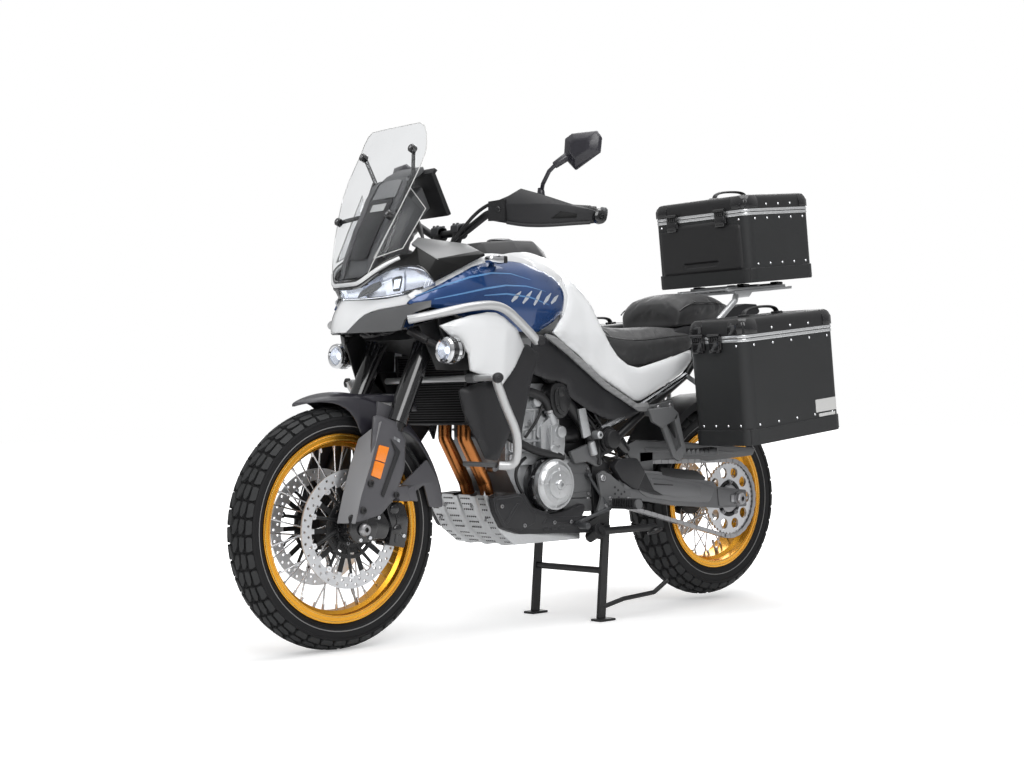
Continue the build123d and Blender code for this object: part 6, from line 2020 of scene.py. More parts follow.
@dataclass(frozen=True)
class Nose:
    """Beak, headlights, the shroud round them, screen, tower and display."""

    # foot and top of each band's stations, from the middle of the nose outwards
    beak: tuple[Station, ...] = (
        ((786, 0, 857), (749, 0, 946)), ((781, 14, 857), (744, 12, 946)), ((764, 34, 857), (731, 26, 946)),
        ((748, 52, 881), (714, 46, 946)), ((728, 66, 906), (699, 66, 946)), ((701, 94, 918), (677, 98, 948)),
        ((665, 136, 925), (654, 132, 954)), ((642, 166, 932), (630, 174, 963)))
    intake: tuple[Station, ...] = (
        ((763, 36, 856), (763, 36, 860)), ((750, 50, 856), (750, 50, 878)), ((728, 72, 856), (728, 70, 904)),
        ((704, 104, 857), (702, 100, 917)), ((683, 138, 859), (676, 128, 923)),
                                   ((672, 154, 862), (664, 144, 926)),
        ((666, 164, 888), (655, 156, 928)), ((646, 186, 908), (640, 176, 934)),
                                   ((612, 212, 922), (606, 206, 940)))
    lamp: tuple[Station, ...] = (
        ((748, 0, 948), (762, 0, 976)), ((734, 22, 948), (743, 26, 976)), ((714, 46, 948), (729, 52, 982)),
        ((699, 66, 948), (717, 82, 999)), ((677, 98, 950), (702, 106, 1015)),
                                 ((662, 120, 953), (684, 132, 1029)),
        ((650, 142, 957), (662, 162, 1034)), ((630, 173, 966), (637, 196, 1034)),
                                 ((613, 200, 976), (623, 213, 1014)),
        ((604, 215, 985), (608, 220, 992)))
    # screen rows: height, middle's place along, half width, how far the edges lie behind the middle
    screen: tuple[Row, ...] = (
        (1002, 731, 48, 2), (1010, 730, 76, 6), (1044, 726, 90, 11), (1085, 714, 105, 14),
                               (1124, 701, 117, 16), (1200, 669, 139, 17), (1244, 649, 150, 17),
                               (1300, 620, 157, 17), (1356, 590, 155, 16), (1384, 579, 147, 15),
                               (1410, 569, 138, 12), (1430, 561, 126, 8),
                               (1441, 556, 106, 4))
    # the tower's face: height, place along, half width
    face: tuple[Point3, ...] = ((1010, 700, 66), (1060, 686, 68), (1100, 668, 69), (1150, 644, 72),
                                (1200, 614, 77), (1240, 592, 82), (1280, 568, 78), (1292, 560, 60))
    knob_places: tuple[Point3, ...] = ((581, 109, 1364), (670, 112, 1175))

    def build(self, shop: Assembly) -> None:
        """Builds the nose from the beak up to the display."""
        add = shop.add
        add("beak_shell", self.wrap(self.beak, 14, 9), Finishes.WHITE, ["beak"], subdivide=1)
        add("intake_shell", twin(self.wrap(self.intake, 20, 3, half=True)), Finishes.GREY, ["beak_intake"])
        add("headlight_lens", self.wrap(self.lamp, 2.2, 5), Finishes.LENS, ["headlight"])
        add("headlight_bowls", self.bowls(), Finishes.REFLECTOR)
        add("headlight_cells", self.cells(), Finishes.DISPLAY)
        add("headlight_trim", self.lamp_trim(), Finishes.CHROME)
        add("headlight_beams", self.beams(), Finishes.BEAM)
        add("nose_shroud", self.shroud(), Finishes.BLACK, ["headlight_surround"])
        add("dash_wings", twin(facets(((593, 110, 1103), (528, 60, 1128), (400, 120, 1112), (392, 168, 1088),
                                       (583, 207, 1052)), ((0, 1, 2), (0, 2, 3, 4)), 10)),
            Finishes.PALE_GREY)
        add("screen_lip", self.lip(6.0, 0), Finishes.WHITE)
        add("screen_lip_edges", joined([self.lip(2.0, 9.5), self.lip(3.0, -8)]), Finishes.GLOSS)
        add("screen_lip_line", self.lip(2.4, -12.5), Finishes.PALE_GREY)
        add("screen_blade", self.blade(), Finishes.SCREEN, ["windscreen"])
        add("screen_edge", self.screen_edge(), Finishes.BADGE)
        add("side_deflectors", twin(facets(self.DEFLECTOR, ((0, 1, 2, 3),), 2.4)), Finishes.SCREEN)
        add("deflector_edges", twin(pipe([*self.DEFLECTOR, self.DEFLECTOR[0]], 1.5, 2, smooth=False)),
            Finishes.BADGE)
        add("screen_knobs", self.knobs(), Finishes.GLOSS)
        add("knob_screws", joined(bolt((x + 9, s * y, z + 4), (0.9, 0, 0.4), 4.5, 3) for s in SIDES
                                  for x, y, z in self.knob_places), Finishes.STEEL)
        add("tower_panel", self.tower(), Finishes.GREY, ["instrument_tower"])
        add("tower_centre", self.leaning(((-34, 1060), (34, 1060), (42, 1130), (48, 1222), (40, 1232),
                                          (-40, 1232), (-48, 1222), (-42, 1130)), 1, 9), Finishes.DARK)
        add("tower_badge", self.leaning(((-30, 1198), (30, 1198), (30, 1220), (-30, 1220)), 8, 12),
            Finishes.BADGE)
        add("tower_top", self.leaning(((0.62, 1236), (0.66, 1284), (0.4, 1290), (-0.4, 1290), (-0.66, 1284),
                                       (-0.62, 1236)), 1, 7, True), Finishes.PALE_GREY)
        add("display_case", self.display(), Finishes.BLACK_STEEL)
        add("display_glass", slab([(484, 1303), (430, 1200), (428, 1201), (482, 1304)], -84, 84),
            Finishes.DISPLAY)
        add("under_nose_hoses", self.hoses(), Finishes.HOSE)
        add("under_nose_panels", self.inner_panels(), Finishes.BLACK_STEEL)

    @staticmethod
    def outward(rows: Sequence[Station]) -> list[Vector]:
        """The level direction that faces away from the machine at each station."""
        found = []
        for i in range(len(rows)):
            a, b = Vector(rows[max(i - 1, 0)][0]), Vector(rows[min(i + 1, len(rows) - 1)][0])
            run = b - a
            out = Vector((run.y, -run.x, 0)).normalized()
            found.append(out if out.dot(Vector(rows[i][0]) - Vector((480, 0, 0))) > 0 else -out)
        return found

    def wrap(self, rows: Sequence[Station], depth: float, bulge: float, half: bool = False) -> BMesh:
        """A band that wraps the nose from side to side.

        Args:
            rows: Its stations from the middle outwards, each a foot and a top.
            depth: How thick it is towards the middle of the machine.
            bulge: How far its face swells at mid height.
            half: Makes only the left half.

        Returns:
            The mesh.
        """
        mirrored = [tuple((x, -y, z) for x, y, z in row) for row in reversed(rows[1:])]
        whole = list(rows) if half else [*mirrored, *rows]
        rings = []
        for (foot, top), out in zip(whole, self.outward(whole)):
            foot, top = Vector(foot), Vector(top)
            swell = bulge * min(1.0, (top - foot).length / 70)
            levels = ((0, 0), (0.12, 0.45), (0.35, 0.9), (0.6, 1), (0.85, 0.55), (1, 0))
            ring_points = [tuple(foot.lerp(top, share) + out * (push * swell)) for share, push in levels]
            ring_points += [tuple(top - out * depth), tuple(foot - out * depth)]
            rings.append(ring_points)
        bm = loft(rings)
        soften(bm, min(2.0, depth * 0.3), 2, 40)
        return bm

    def within(self, place: float, share: float, back: float) -> Vector:
        """A point behind the lens: its station number, share of the height and distance in from the face."""
        i = min(int(place), len(self.lamp) - 2)
        outs = self.outward(self.lamp)
        points = [Vector(self.lamp[j][0]).lerp(Vector(self.lamp[j][1]), share) - outs[j] * back
                  for j in (i, i + 1)]
        return points[0].lerp(points[1], place - i)

    def bowls(self) -> BMesh:
        """Bright bowls behind each lens, in two cells with a step between them."""
        rings = []
        for place in (0.6, 1.4, 2.2, 2.3, 4.0, 4.1, 5.0, 5.9, 6.0, 7.0, 8.0, 8.7):
            deep = 26 if place in (2.3, 4.0) else (20 if place > 5.9 else 11)
            levels = ((0.03, 2), (0.12, deep * 0.7), (0.4, deep), (0.62, deep), (0.9, deep * 0.45), (0.97, 2),
                      (1, 6), (0.8, 32), (0, 32))
            rings.append([tuple(self.within(place, share, back)) for share, back in levels])
        return twin(loft(rings))

    def cells(self) -> BMesh:
        """The dark projector cells beside the middle, their hoods and the frames of the stacks."""
        parts = []
        cell = [tuple(self.within(place, share, 7)) for place, share in (
            (1.5, 0.22), (2.4, 0.32), (3.4, 0.42), (3.9, 0.56), (3.85, 0.74), (3.0, 0.78), (2.2, 0.66),
                                                                         (1.7, 0.46))]
        parts.append(facets(cell, (tuple(range(8)),), 3))
        stack = [tuple(self.within(place, share, 5)) for place, share in (
            (4.85, 0.22), (5.5, 0.2), (5.8, 0.6), (5.6, 0.66), (4.9, 0.62))]
        parts.append(facets(stack, (tuple(range(5)),), 3))
        parts.append(pipe([tuple(self.within(place, 0.09, 4)) for place in (5.8, 6.4, 7.0, 7.6)], 3.4, 3))
        parts.append(pipe([tuple(self.within(place, 0.99, 1)) for place in (0.2, 1, 2, 3, 4, 5, 6, 7, 8, 9)],
                          2.6, 3))
        return twin(joined(parts))

    def lamp_trim(self) -> BMesh:
        """Bright lines inside the lenses, along the foot, over the cells and down the outer end."""
        lines = [pipe([tuple(self.within(place, share, 4)) for place in places], radius, 3) for places, share,
                 radius in (
            ((0.3, 1, 2, 3, 4, 5, 6), 0.07, 2.4), ((4.0, 4.5, 4.9), 0.62, 1.6), ((6.2, 7.0, 7.9), 0.93, 1.8))]
        lines += [pipe([tuple(self.within(place - 0.3, 0.12, 4)), tuple(self.within(place, 0.7, 4))], 1.5, 3)
                  for place in (7.9, 8.3, 8.7)]
        return twin(joined(lines))

    def beams(self) -> BMesh:
        """The lit rods of each stack."""
        parts = [bar(tuple(self.within(place, 0.28, 3)), tuple(self.within(place + 0.22, 0.58, 3)), 1.5,
                     sides=8)
                 for place in (4.98, 5.13, 5.28, 5.43)]
        return twin(joined(parts))

    def shroud(self) -> BMesh:
        """The dark facets from the lenses' upper edge up to the lip and the dash, and down its side."""
        points = [(top[0] - 2, top[1], top[2] + 1) for _, top in self.lamp[2:]]
        high = [(728, 62, 988), (713, 86, 1012), (686, 106, 1036), (655, 122, 1054), (612, 130, 1070),
                (600, 140, 1092), (586, 205, 1054), (566, 212, 1020)]
        side = [(606, 208, 994), (566, 208, 1008), (500, 208, 1037), (440, 200, 1062), (392, 188, 1078),
                (392, 165, 1090)]
        faces = [(i, i + 1, i + 9, i + 8) for i in range(7)]
        faces += [(15, 7, 16, 17), (14, 15, 17, 18), (14, 18, 19, 20), (14, 20, 21)]
        skin = facets([*points, *high, *side], faces, 9)
        floor = slab([(714, 60), (600, 140), (545, 146), (545, -146), (600, -140), (714, -60)], 982, 990,
                     "xy", bevel=3)
        for vert in floor.verts:
            vert.co.z += blend_along(((380, 96), (600, 84), (714, 0)), vert.co.x)
        back = box((590, -120, 940), (606, 120, 1040), 6)
        return joined([twin(skin), floor, back])

    def screen_place(self, z: float, share: float, out: float = 0.0) -> Point3:
        """A point of the screen at a height and a share of its half width."""
        middle, half, sag = (blend_along([(r[0], r[k]) for r in self.screen], z) for k in (1, 2, 3))
        return (middle - sag * share * share + out, half * share * (1 + out / 400), z + out * 0.45)

    def lip(self, radius: float, lift: float) -> BMesh:
        """A line along the screen's foot, swept up at both sides.

        Args:
            radius: Half its height.
            lift: How far above the lip's middle line it lies.

        Returns:
            The mesh.
        """
        half = [(737, 0, 989), (736, 30, 989), (735, 54, 990), (721, 74, 1006), (706, 93, 1023),
                (682, 108, 1040), (655, 120, 1053), (645, 124, 1058)]
        line = [*[(x, -y, z) for x, y, z in reversed(half[1:])], *half]
        return pipe([(x + 3 - abs(lift) * 0.1, y, z + lift) for x, y, z in line], radius, 3)

    def blade(self) -> BMesh:
        """The clear screen, curved both ways."""
        rings = []
        for row in self.screen:
            outer = [self.screen_place(row[0], share / 8) for share in range(-8, 9)]
            inner = [self.screen_place(row[0], share / 8, -3.2) for share in range(8, -9, -1)]
            rings.append([*outer, *inner])
        return loft(rings)

    def screen_edge(self) -> BMesh:
        """The pale polished edge round the screen."""
        heights = [row[0] for row in self.screen]
        line = [self.screen_place(z, 1.0, -1) for z in heights]
        top = [self.screen_place(heights[-1], share, -1) for share in (0.6, 0.0, -0.6)]
        other = [self.screen_place(z, -1.0, -1) for z in reversed(heights)]
        return pipe([*line, *top, *other], 1.3, 2, smooth=False)

    # corners of the small clear blade beside the screen
    DEFLECTOR = ((704, 84, 1058), (632, 120, 1086), (560, 134, 1199), (591, 108, 1256))

    def knobs(self) -> BMesh:
        """Round pads where the arms hold the screen, and the straight flat arms."""
        parts = []
        for side in SIDES:
            for x, y, z in self.knob_places:
                parts.append(turned([(0.5, 12), (9, 12), (12, 9), (12, -6), (0.5, -6)], (x, side * y, z),
                                    (0.9, 0, 0.4), 24))
            upper, lower = (Vector((x - 4, side * y, z)) for x, y, z in self.knob_places)
            for start, end, radius in ((upper, Vector((556, side * 76, 1270)), 6),
                                       (lower, Vector((600, side * 70, 1196)), 6),
                                       (Vector((566, side * 84, 1290)), Vector((668, side * 78, 1060)), 5)):
                parts.append(bar(tuple(start), tuple(end), radius, sides=8))
        return joined(parts)

    def leaning(self, outline: Sequence[Point2], low: float, high: float, share: bool = False) -> BMesh:
        """A plate on the tower's leaning face.

        Args:
            outline: Its corners as (y, z), or as a share of the face's half width and z.
            low: Depth of its back, from the face.
            high: Height of its front, from the face.
            share: Reads y as a share of the half width.

        Returns:
            The mesh.
        """
        half = [(z, width) for z, _, width in self.face]
        corners = [(y * blend_along(half, z) if share else y, z) for y, z in outline]
        bm = slab(corners, low, high, "yz")
        soften(bm, 2.0, 2, 50)
        for vert in bm.verts:
            vert.co.x += blend_along([(z, x) for z, x, _ in self.face], vert.co.z)
        return bm

    def tower(self) -> BMesh:
        """The panel between the screen's arms with raised sides, the mast and the neck behind it."""
        heights = [row[0] for row in self.face]
        outline = [*[(1, z) for z in heights], *[(-1, z) for z in reversed(heights)]]
        parts = [self.leaning(outline, -12, 2, True)]
        for side in SIDES:
            edge = [*[(side, z) for z in heights], *[(side * 0.72, z) for z in reversed(heights)]]
            parts.append(self.leaning(edge, 0, 8, True))
        parts.append(slab([(690, 1010), (664, 1090), (590, 1230), (540, 1240), (500, 1200), (540, 1090),
                           (566, 1020)],
                          -34, 34, bevel=4))
        parts.append(slab([(560, 1200), (470, 1290), (440, 1230), (540, 1140)], -30, 30, bevel=4))
        parts.append(slab([(562, 1292), (546, 1306), (500, 1330), (494, 1316), (548, 1280)], -56, 56,
                          bevel=3))
        return joined(parts)

    @staticmethod
    def display() -> BMesh:
        """The display's case and its hood."""
        return joined([slab([(489, 1314), (501, 1306), (443, 1190), (429, 1196)], -92, 92, bevel=2.5,
                            corner=3),
                       slab([(504, 1306), (492, 1322), (480, 1316), (494, 1300)], -95, 95, bevel=2)])

    @staticmethod
    def hoses() -> BMesh:
        """Wiring under the nose, fixed between the fork and the radiator."""
        lines = [(((644, 60, 930), (650, 44, 890), (644, 30, 862), (654, 0, 848), (664, -30, 858)), 6),
                 (((652, -30, 930), (650, -20, 890), (646, -10, 860), (664, 20, 850)), 5),
                 (((652, 20, 900), (664, 50, 866), (652, 84, 852), (644, 110, 870), (640, 130, 900)), 4),
                 (((674, -40, 880), (666, 0, 856), (650, 36, 848), (644, 60, 870)), 4),
                 (((644, -60, 900), (654, -90, 866), (644, -120, 854), (636, -140, 880)), 5),
                 (((548, 166, 940), (562, 178, 880), (544, 192, 830), (560, 210, 810)), 5),
                 (((548, -166, 940), (562, -178, 880), (544, -192, 830), (560, -210, 810)), 5)]
        clips = [box((644, y - 9, z - 6), (660, y + 9, z + 6), 2) for y,
                 z in ((60, 856), (-20, 852), (-100, 860), (100, 866))]
        return joined([*(pipe(points, radius) for points, radius in lines), *clips])

    @staticmethod
    def inner_panels() -> BMesh:
        """The dark plates that close the nose below, and the right one's lower part."""
        side = slab([(667, 866), (617, 872), (559, 753), (440, 753), (430, 880), (520, 900)], 163, 169,
                    bevel=2)
        far = slab([(627, 862), (560, 872), (474, 704), (474, 688), (560, 688), (572, 704)], -166, -160,
                   bevel=2)
        low = slab([(559, 756), (478, 689), (470, 610), (430, 600), (430, 756)], -166, -160, bevel=2)
        roof = slab([(748, -36), (748, 36), (690, 120), (648, 156), (648, -156), (690, -120)], 862, 868, "xy",
                    bevel=2)
        return joined([twin(side), far, low, roof])


# ---------------------------------------------------------------- front end that steers
@dataclass(frozen=True)
class FrontEnd:
    """Mudguard, fork guards, callipers, fork trim and everything on the handlebar."""

    rake: float = 26.0
    fork_y: float = 107.0
    # how far up each leg the dust seal and the top cap are
    seal: float = 264.0
    cap: float = 742.0
    # mudguard stations: angle forward of the top, half width, radius of its edge, drop of its skirt
    guard: tuple[Row, ...] = (
        (22, 2, 356, 2), (19, 16, 358, 4), (15, 34, 359, 8), (10, 52, 360, 14), (4, 67, 361, 28),
                              (-1, 77, 361, 50), (-4.5, 82, 361, 80), (-7, 84, 361, 112), (-12, 85, 360, 116),
                              (-20, 85, 358, 100), (-27, 84, 357, 76), (-34, 80, 355, 44), (-40, 70, 353, 26),
                              (-50, 66, 352, 18), (-62, 65, 351, 17), (-74, 64, 351, 17),
        (-82, 62, 351, 16))

    def build(self, shop: Assembly) -> None:
        """Builds everything that turns with the bar."""
        add = partial(shop.add, body="steering")
        add("mudguard_shell", self.mudguard(), Finishes.GRAPHITE, ["front_mudguard"], subdivide=1)
        roof = loft([[(x, -half, low), (x, half, low), (x, half * 0.96, top - 6), (x, half * 0.7, top),
                      (x, -half * 0.7, top), (x, -half * 0.96, top - 6)] for x, half, low, top in (
            (786, 56, 676, 687), (740, 72, 672, 690), (680, 77, 668, 691), (600, 77, 664, 690),
                                                                            (562, 72, 660,
                                                                             686), (540, 60, 640, 662))])
        soften(roof, 2, 2, 30)
        add("mudguard_roof", roof, Finishes.GRAPHITE)
        add("mudguard_stays", self.stays(), Finishes.GUARD)
        add("fork_guard_shells", twin(self.GUARD.mesh()), Finishes.GUARD, ["fork_guards"])
        # the noses' lighter grey is painted light where the front faces catch the light
        add("fork_guard_noses", twin(self.fork_guard_nose()), Finishes.GRAPHITE_LIT)
        add("fork_guard_chevrons", twin(slab([(698, 568), (665, 532), (725, 411), (734, 421), (682, 530)],
                                             136, 138.6, bevel=0.8)), Finishes.DARK)
        add("fork_reflectors", twin(self.reflector()), Finishes.AMBER)
        add("fork_guard_screws", joined(bolt((x, s * 136.5, z), (0, s, 0), r, 6) for s in SIDES for x, z,
                                        r in (
            (768, 451, 10), (794, 380, 10), (681, 416, 9))), Finishes.BLACK_STEEL)
        add("fork_rings", self.fork_rings(), Finishes.SLIDER)
        add("calliper_bodies", self.callipers(), Finishes.GLOSS, ["front_callipers"])
        add("calliper_screws", self.calliper_screws(), Finishes.CHROME)
        add("brake_hoses", self.hoses(), Finishes.HOSE)
        add("bar_grips", self.grips(), Finishes.HOSE)
        add("bar_ends", self.bar_ends(), Finishes.DARK_ALLOY)
        add("hand_guard_shells", twin(self.hand_guard()), Finishes.DARK, ["hand_guards"])
        add("hand_guard_caps", self.guard_caps(), Finishes.GLOSS)
        slit = moved(slab([(-36, -8), (34, -6), (36, 4), (-10, 12)], -4, 2.0, bevel=1),
                     Matrix.Translation((267, 380, 1176)) @ Matrix.Rotation(math.radians(-41), 4, "Z") @
                     Matrix.Diagonal((-1, 1, 1, 1)))
        add("hand_guard_slots", twin(slit), Finishes.BLACK)
        add("mirror_shells", twin(self.mirror()), Finishes.GRAPHITE, ["mirrors"])
        add("mirror_glasses", twin(self.mirror_glass()), Finishes.MIRROR)
        add("bar_clamps", self.clamps(), Finishes.DARK_ALLOY)

    def mudguard(self) -> BMesh:
        """The guard as one skin from its pointed tip back to the flap."""
        rings = []
        for angle, half, radius, drop in self.guard:
            turn = math.radians(90 - angle)
            line = [(half, -drop), (half + 0.5, -drop * 0.55), (half * 0.95, -4), (half * 0.72, 2),
                    (half * 0.3, 6), (0, 8)]
            skin = [*line, *[(-y, r) for y, r in reversed(line[:-1])]]
            inner = [(y * 0.95, r - 4 if abs(y) < half * 0.9 else r) for y, r in reversed(skin)]
            rings.append([around(FRONT_AXLE, radius + r, turn, y) for y, r in [*skin, *inner]])
        return loft(rings)

    @staticmethod
    def stays() -> BMesh:
        """Arms from the fork guards back to the flap."""
        arm = slab([(620, 433), (518, 506), (478, 444), (463, 387), (463, 370), (511, 372), (530, 435),
                    (609, 394)], 67, 74,
                   bevel=2, corner=5)
        inner = slab([(640, 430), (632, 398), (600, 394), (612, 440)], 68, 132, bevel=3)
        bridge = slab([(700, 436), (662, 398), (630, 396), (636, 438)], 88, 132, bevel=3)
        mount = slab([(650, 655), (700, 670), (715, 560), (670, 560)], 78, 88, bevel=2)
        return twin(joined([arm, inner, bridge, mount]))

    # the left fork guard's outer face
    GUARD = PanelShape(((744, 630), (726, 632), (664, 612), (634, 566), (640, 487), (676, 410), (728, 366),
                        (800, 350), (821, 349), (798, 421), (762, 526)),
                       ((620, 126), (680, 134), (740, 136), (830, 134)),
                       ((340, -2), (480, 0), (560, 0), (640, -8)), thickness=6, roll=5, reach=12, corner=5,
                       cell=12)

    @staticmethod
    def fork_guard_nose() -> BMesh:
        """The guard's forward face, folded in ahead of the fork leg."""
        return facets(((728, 136, 618), (768, 136, 500), (800, 136, 420), (821, 136, 349), (852, 97, 350),
                       (830, 95, 424), (804, 94, 500), (773, 92, 570), (721, 110, 602)),
                      ((0, 1, 7, 8), (1, 2, 6, 7), (2, 3, 5, 6), (3, 4, 5)), 5)

    @staticmethod
    def reflector() -> BMesh:
        """Two amber cells in a dark frame."""
        corners = [Vector(p) for p in ((738, 553), (705, 545), (737, 461), (767, 472))]
        middle = (corners[0] + corners[3]) / 2, (corners[1] + corners[2]) / 2
        gap = (corners[3] - corners[0]).normalized() * 1.2
        upper = [corners[0], corners[1], middle[1] - gap, middle[0] - gap]
        lower = [middle[0] + gap, middle[1] + gap, corners[2], corners[3]]
        return joined(slab([tuple(c) for c in cell], 135, 140.5, bevel=1.5, corner=2)
                      for cell in (upper, lower))

    def fork_place(self, up: float, side: int) -> Point3:
        """A point on a fork leg's middle line, a distance above the axle along the leg."""
        lean = math.radians(self.rake)
        return (FRONT_AXLE[0] - up * math.sin(lean), side * self.fork_y, FRONT_AXLE[1] + up * math.cos(lean))

    def fork_rings(self) -> BMesh:
        """Dust seals, clamp screws and top caps of both legs."""
        lean = math.radians(self.rake)
        axis = (-math.sin(lean), 0, math.cos(lean))
        parts = []
        for side in SIDES:
            parts.append(turned([(22, -5), (28.5, -5), (28.5, 3), (22, 6)], self.fork_place(self.seal, side),
                                axis, 36))
            parts.append(turned([(1, 8), (12, 8), (15, 5), (27, 3), (27, -2), (1, -2)],
                                self.fork_place(self.cap, side), axis, 36))
        return joined(parts)

    def callipers(self) -> BMesh:
        """Four-pot callipers with their brackets, and the axle's clamp below each leg."""
        body = [(694, 396), (634, 393), (616, 345), (628, 268), (684, 279), (672, 330)]
        parts = [slab(body, 82, 104, bevel=5, corner=6), slab(body, 42, 64, bevel=5, corner=6),
                 slab([(640, 386), (624, 344), (634, 282), (616, 286), (608, 344), (622, 388)], 48, 98,
                      bevel=3)]
        for angle in (159, 184):
            a = math.radians(angle)
            parts.append(turned([(0.5, 6), (9, 6), (12, 5), (15, 2), (16, 0), (0.5, 0)],
                                around(FRONT_AXLE, 136, a, 104), (0, 1, 0), 24))
        parts.append(slab([(668, 388), (656, 344), (664, 286), (656, 284), (646, 344), (658, 390)], 102, 107,
                          bevel=2))
        clamp = slab([(830, 372), (752, 372), (736, 330), (752, 296), (812, 292), (834, 318)], 84, 128,
                     bevel=4, corner=10)
        lug = slab([(756, 384), (700, 372), (668, 330), (690, 296), (740, 300), (772, 330)], 84, 100, bevel=3,
                   corner=8)
        return twin(joined([*parts, clamp, lug]))

    def calliper_screws(self) -> BMesh:
        """Screws through the callipers and the axle's clamps, and a bleed nipple."""
        parts = []
        for side in SIDES:
            for angle in (152, 190):
                parts.append(bolt(around(FRONT_AXLE, 158, math.radians(angle), side * 104), (0, side, 0), 6,
                                  5))
            for x, z in ((768, 306), (800, 302), (716, 356)):
                parts.append(bolt((x, side * (128 if x > 750 else 100), z), (0, side, 0), 6, 5))
            parts.append(bar((640, side * 92, 424), (632, side * 92, 440), 3.5, sides=8))
        return joined(parts)

    def hoses(self) -> BMesh:
        """Brake hoses up both legs, and the cables that arch over the bar."""
        lines = []
        for side in SIDES:
            lines.append((((648, side * 96, 410), (640, side * 84, 470), (668, side * 76, 560),
                           (640, side * 74, 660), (596, side * 72, 740), (548, side * 66, 830),
                           (520, side * 40, 880)), 4.2))
        for side in SIDES:
            lines.append((((330, side * 236, 1216), (348, side * 192, 1230), (364, side * 134, 1208),
                           (386, side * 88, 1158), (408, side * 60, 1112)), 5))
            lines.append((((318, side * 250, 1200), (344, side * 190, 1212), (368, side * 114, 1162),
                           (394, side * 60, 1116)), 4))
        return joined(pipe(points, radius) for points, radius in lines)

    @staticmethod
    def along_bar(share: float, side: int) -> Vector:
        """A point on the outer run of the bar, from its bend at 0 to its end at 1."""
        return Vector((292, side * 250, 1206)).lerp(Vector((168, side * 425, 1186)), share)

    def grips(self) -> BMesh:
        """Ribbed rubber grips with flanges."""
        parts = []
        for side in SIDES:
            axis = tuple(self.along_bar(1, side) - self.along_bar(0, side))
            profile = [(11, -50), (20, -50), (20, -46)]
            for i in range(16):
                profile += [(17.8, -44 + i * 6), (18.8, -42 + i * 6), (18.8, -40 + i * 6)]
            profile += [(17.4, 54), (11, 54)]
            parts.append(turned(profile, tuple(self.along_bar(0.62, side)), axis, 28))
            parts.append(box(tuple(self.along_bar(0.20, side) - Vector((20, 18, 14))),
                             tuple(self.along_bar(0.20, side) + Vector((10, 18, 24))), 5))
        return joined(parts)

    def bar_ends(self) -> BMesh:
        """Weights at the bar's ends that hold the guards."""
        parts = []
        for side in SIDES:
            axis = self.along_bar(1, side) - self.along_bar(0, side)
            parts.append(turned([(1, 18), (11, 18), (15, 14), (16, 0), (1, 0)],
                                tuple(self.along_bar(1.0, side)),
                                tuple(axis), 28))
        return joined(parts)

    # hand guard stations: x, y, foot, crease, top
    HAND = ((392, 208, 1170, 1200, 1220), (373, 260, 1158, 1212, 1237), (353, 290, 1150, 1211, 1256),
            (326, 327, 1146, 1210, 1244), (296, 360, 1146, 1209, 1229), (251, 398, 1150, 1201, 1209),
            (210, 424, 1153, 1193, 1197), (187, 438, 1156, 1184, 1190))

    def hand_guard(self) -> BMesh:
        """The faceted shell ahead of the left grip, creased along its length."""
        rings = []
        for x, y, low, crease, top in self.HAND:
            out = Vector((0.62, 0.78, 0)) if y > 300 else Vector((0.88, 0.48, 0))
            at = Vector((x, y, 0))
            rings.append([tuple(at + out * push + Vector((0, 0, z))) for push, z in (
                (-12, low), (-7, low + 7), (0, crease), (-17, top), (-24, top - 2), (-10, crease - 2),
                                                                                     (-16, low + 8))])
        bm = loft(rings)
        soften(bm, 1.2, 2, 20)
        rod_in = bar((376, 240, 1200), (320, 240, 1204), 8, bevel=1)
        rib = pipe([(x - 3, y - 3, low + 3) for x, y, low, _, _ in self.HAND[1:-1]], 5, 3)
        return joined([bm, rod_in, rib])

    def guard_caps(self) -> BMesh:
        """Clamp caps and screws at both ends of the hand guards."""
        parts = []
        for side in SIDES:
            parts.append(loft([[(x, side * y, z) for x, y, z in ((396 - back, 208, 1168),
                                                                 (379 - back, 258, 1166),
                                                                 (379 - back, 258, 1226),
                                                                 (396 - back, 210, 1222))]
                               for back in (8, 0)]))
            parts.append(bolt((386, side * 240, 1198), (0.94, side * 0.34, 0), 8, 4))
            parts.append(turned([(8, 7), (14, 7), (19, 4), (20, 0), (20, -12), (8, -12)],
                                (186, side * 440, 1172), (0.35, side, 0), 28))
            parts.append(bolt((186, side * 441, 1172), (0.35, side, 0), 7, 6))
        return joined(parts)

    # the left mirror's corners
    MIRROR = ((221, 342, 1398), (215, 365, 1411), (195, 443, 1410), (189, 453, 1392), (193, 450, 1350),
              (213, 372, 1307), (222, 337, 1345))

    def mirror_rings(self, levels: Sequence[Point2]) -> list[list[Point3]]:
        """The mirror's outline pushed forward and scaled about its middle, for each push and scale."""
        middle = Vector((206, 396, 1362))
        away = Vector((0.96, 0.27, 0.06)).normalized()
        return [[tuple(middle + (Vector(p) - middle) * scale + away * push) for p in self.MIRROR]
                for push, scale in levels]

    def mirror(self) -> BMesh:
        """A mirror's faceted shell on its stalk."""
        shell = loft(self.mirror_rings(((-11, 0.86), (-9, 0.97), (0, 1.0), (7, 0.93), (20, 0.56),
                                        (22, 0.44))))
        soften(shell, 1.6, 2, 14)
        stalk = pipe([(257, 282, 1256), (266, 296, 1272), (262, 318, 1306), (236, 337, 1338),
                      (216, 360, 1352)], 6, 4,
                     smooth=False)
        sleeve = bar((250, 327, 1322), (214, 352, 1352), 10, 13, bevel=2)
        foot = bar((258, 280, 1238), (258, 280, 1264), 12, 9, bevel=2)
        return joined([shell, stalk, sleeve, foot])

    def mirror_glass(self) -> BMesh:
        """The mirror's glass on its rear face."""
        return loft(self.mirror_rings(((-13, 0.88), (-10.5, 0.88))))

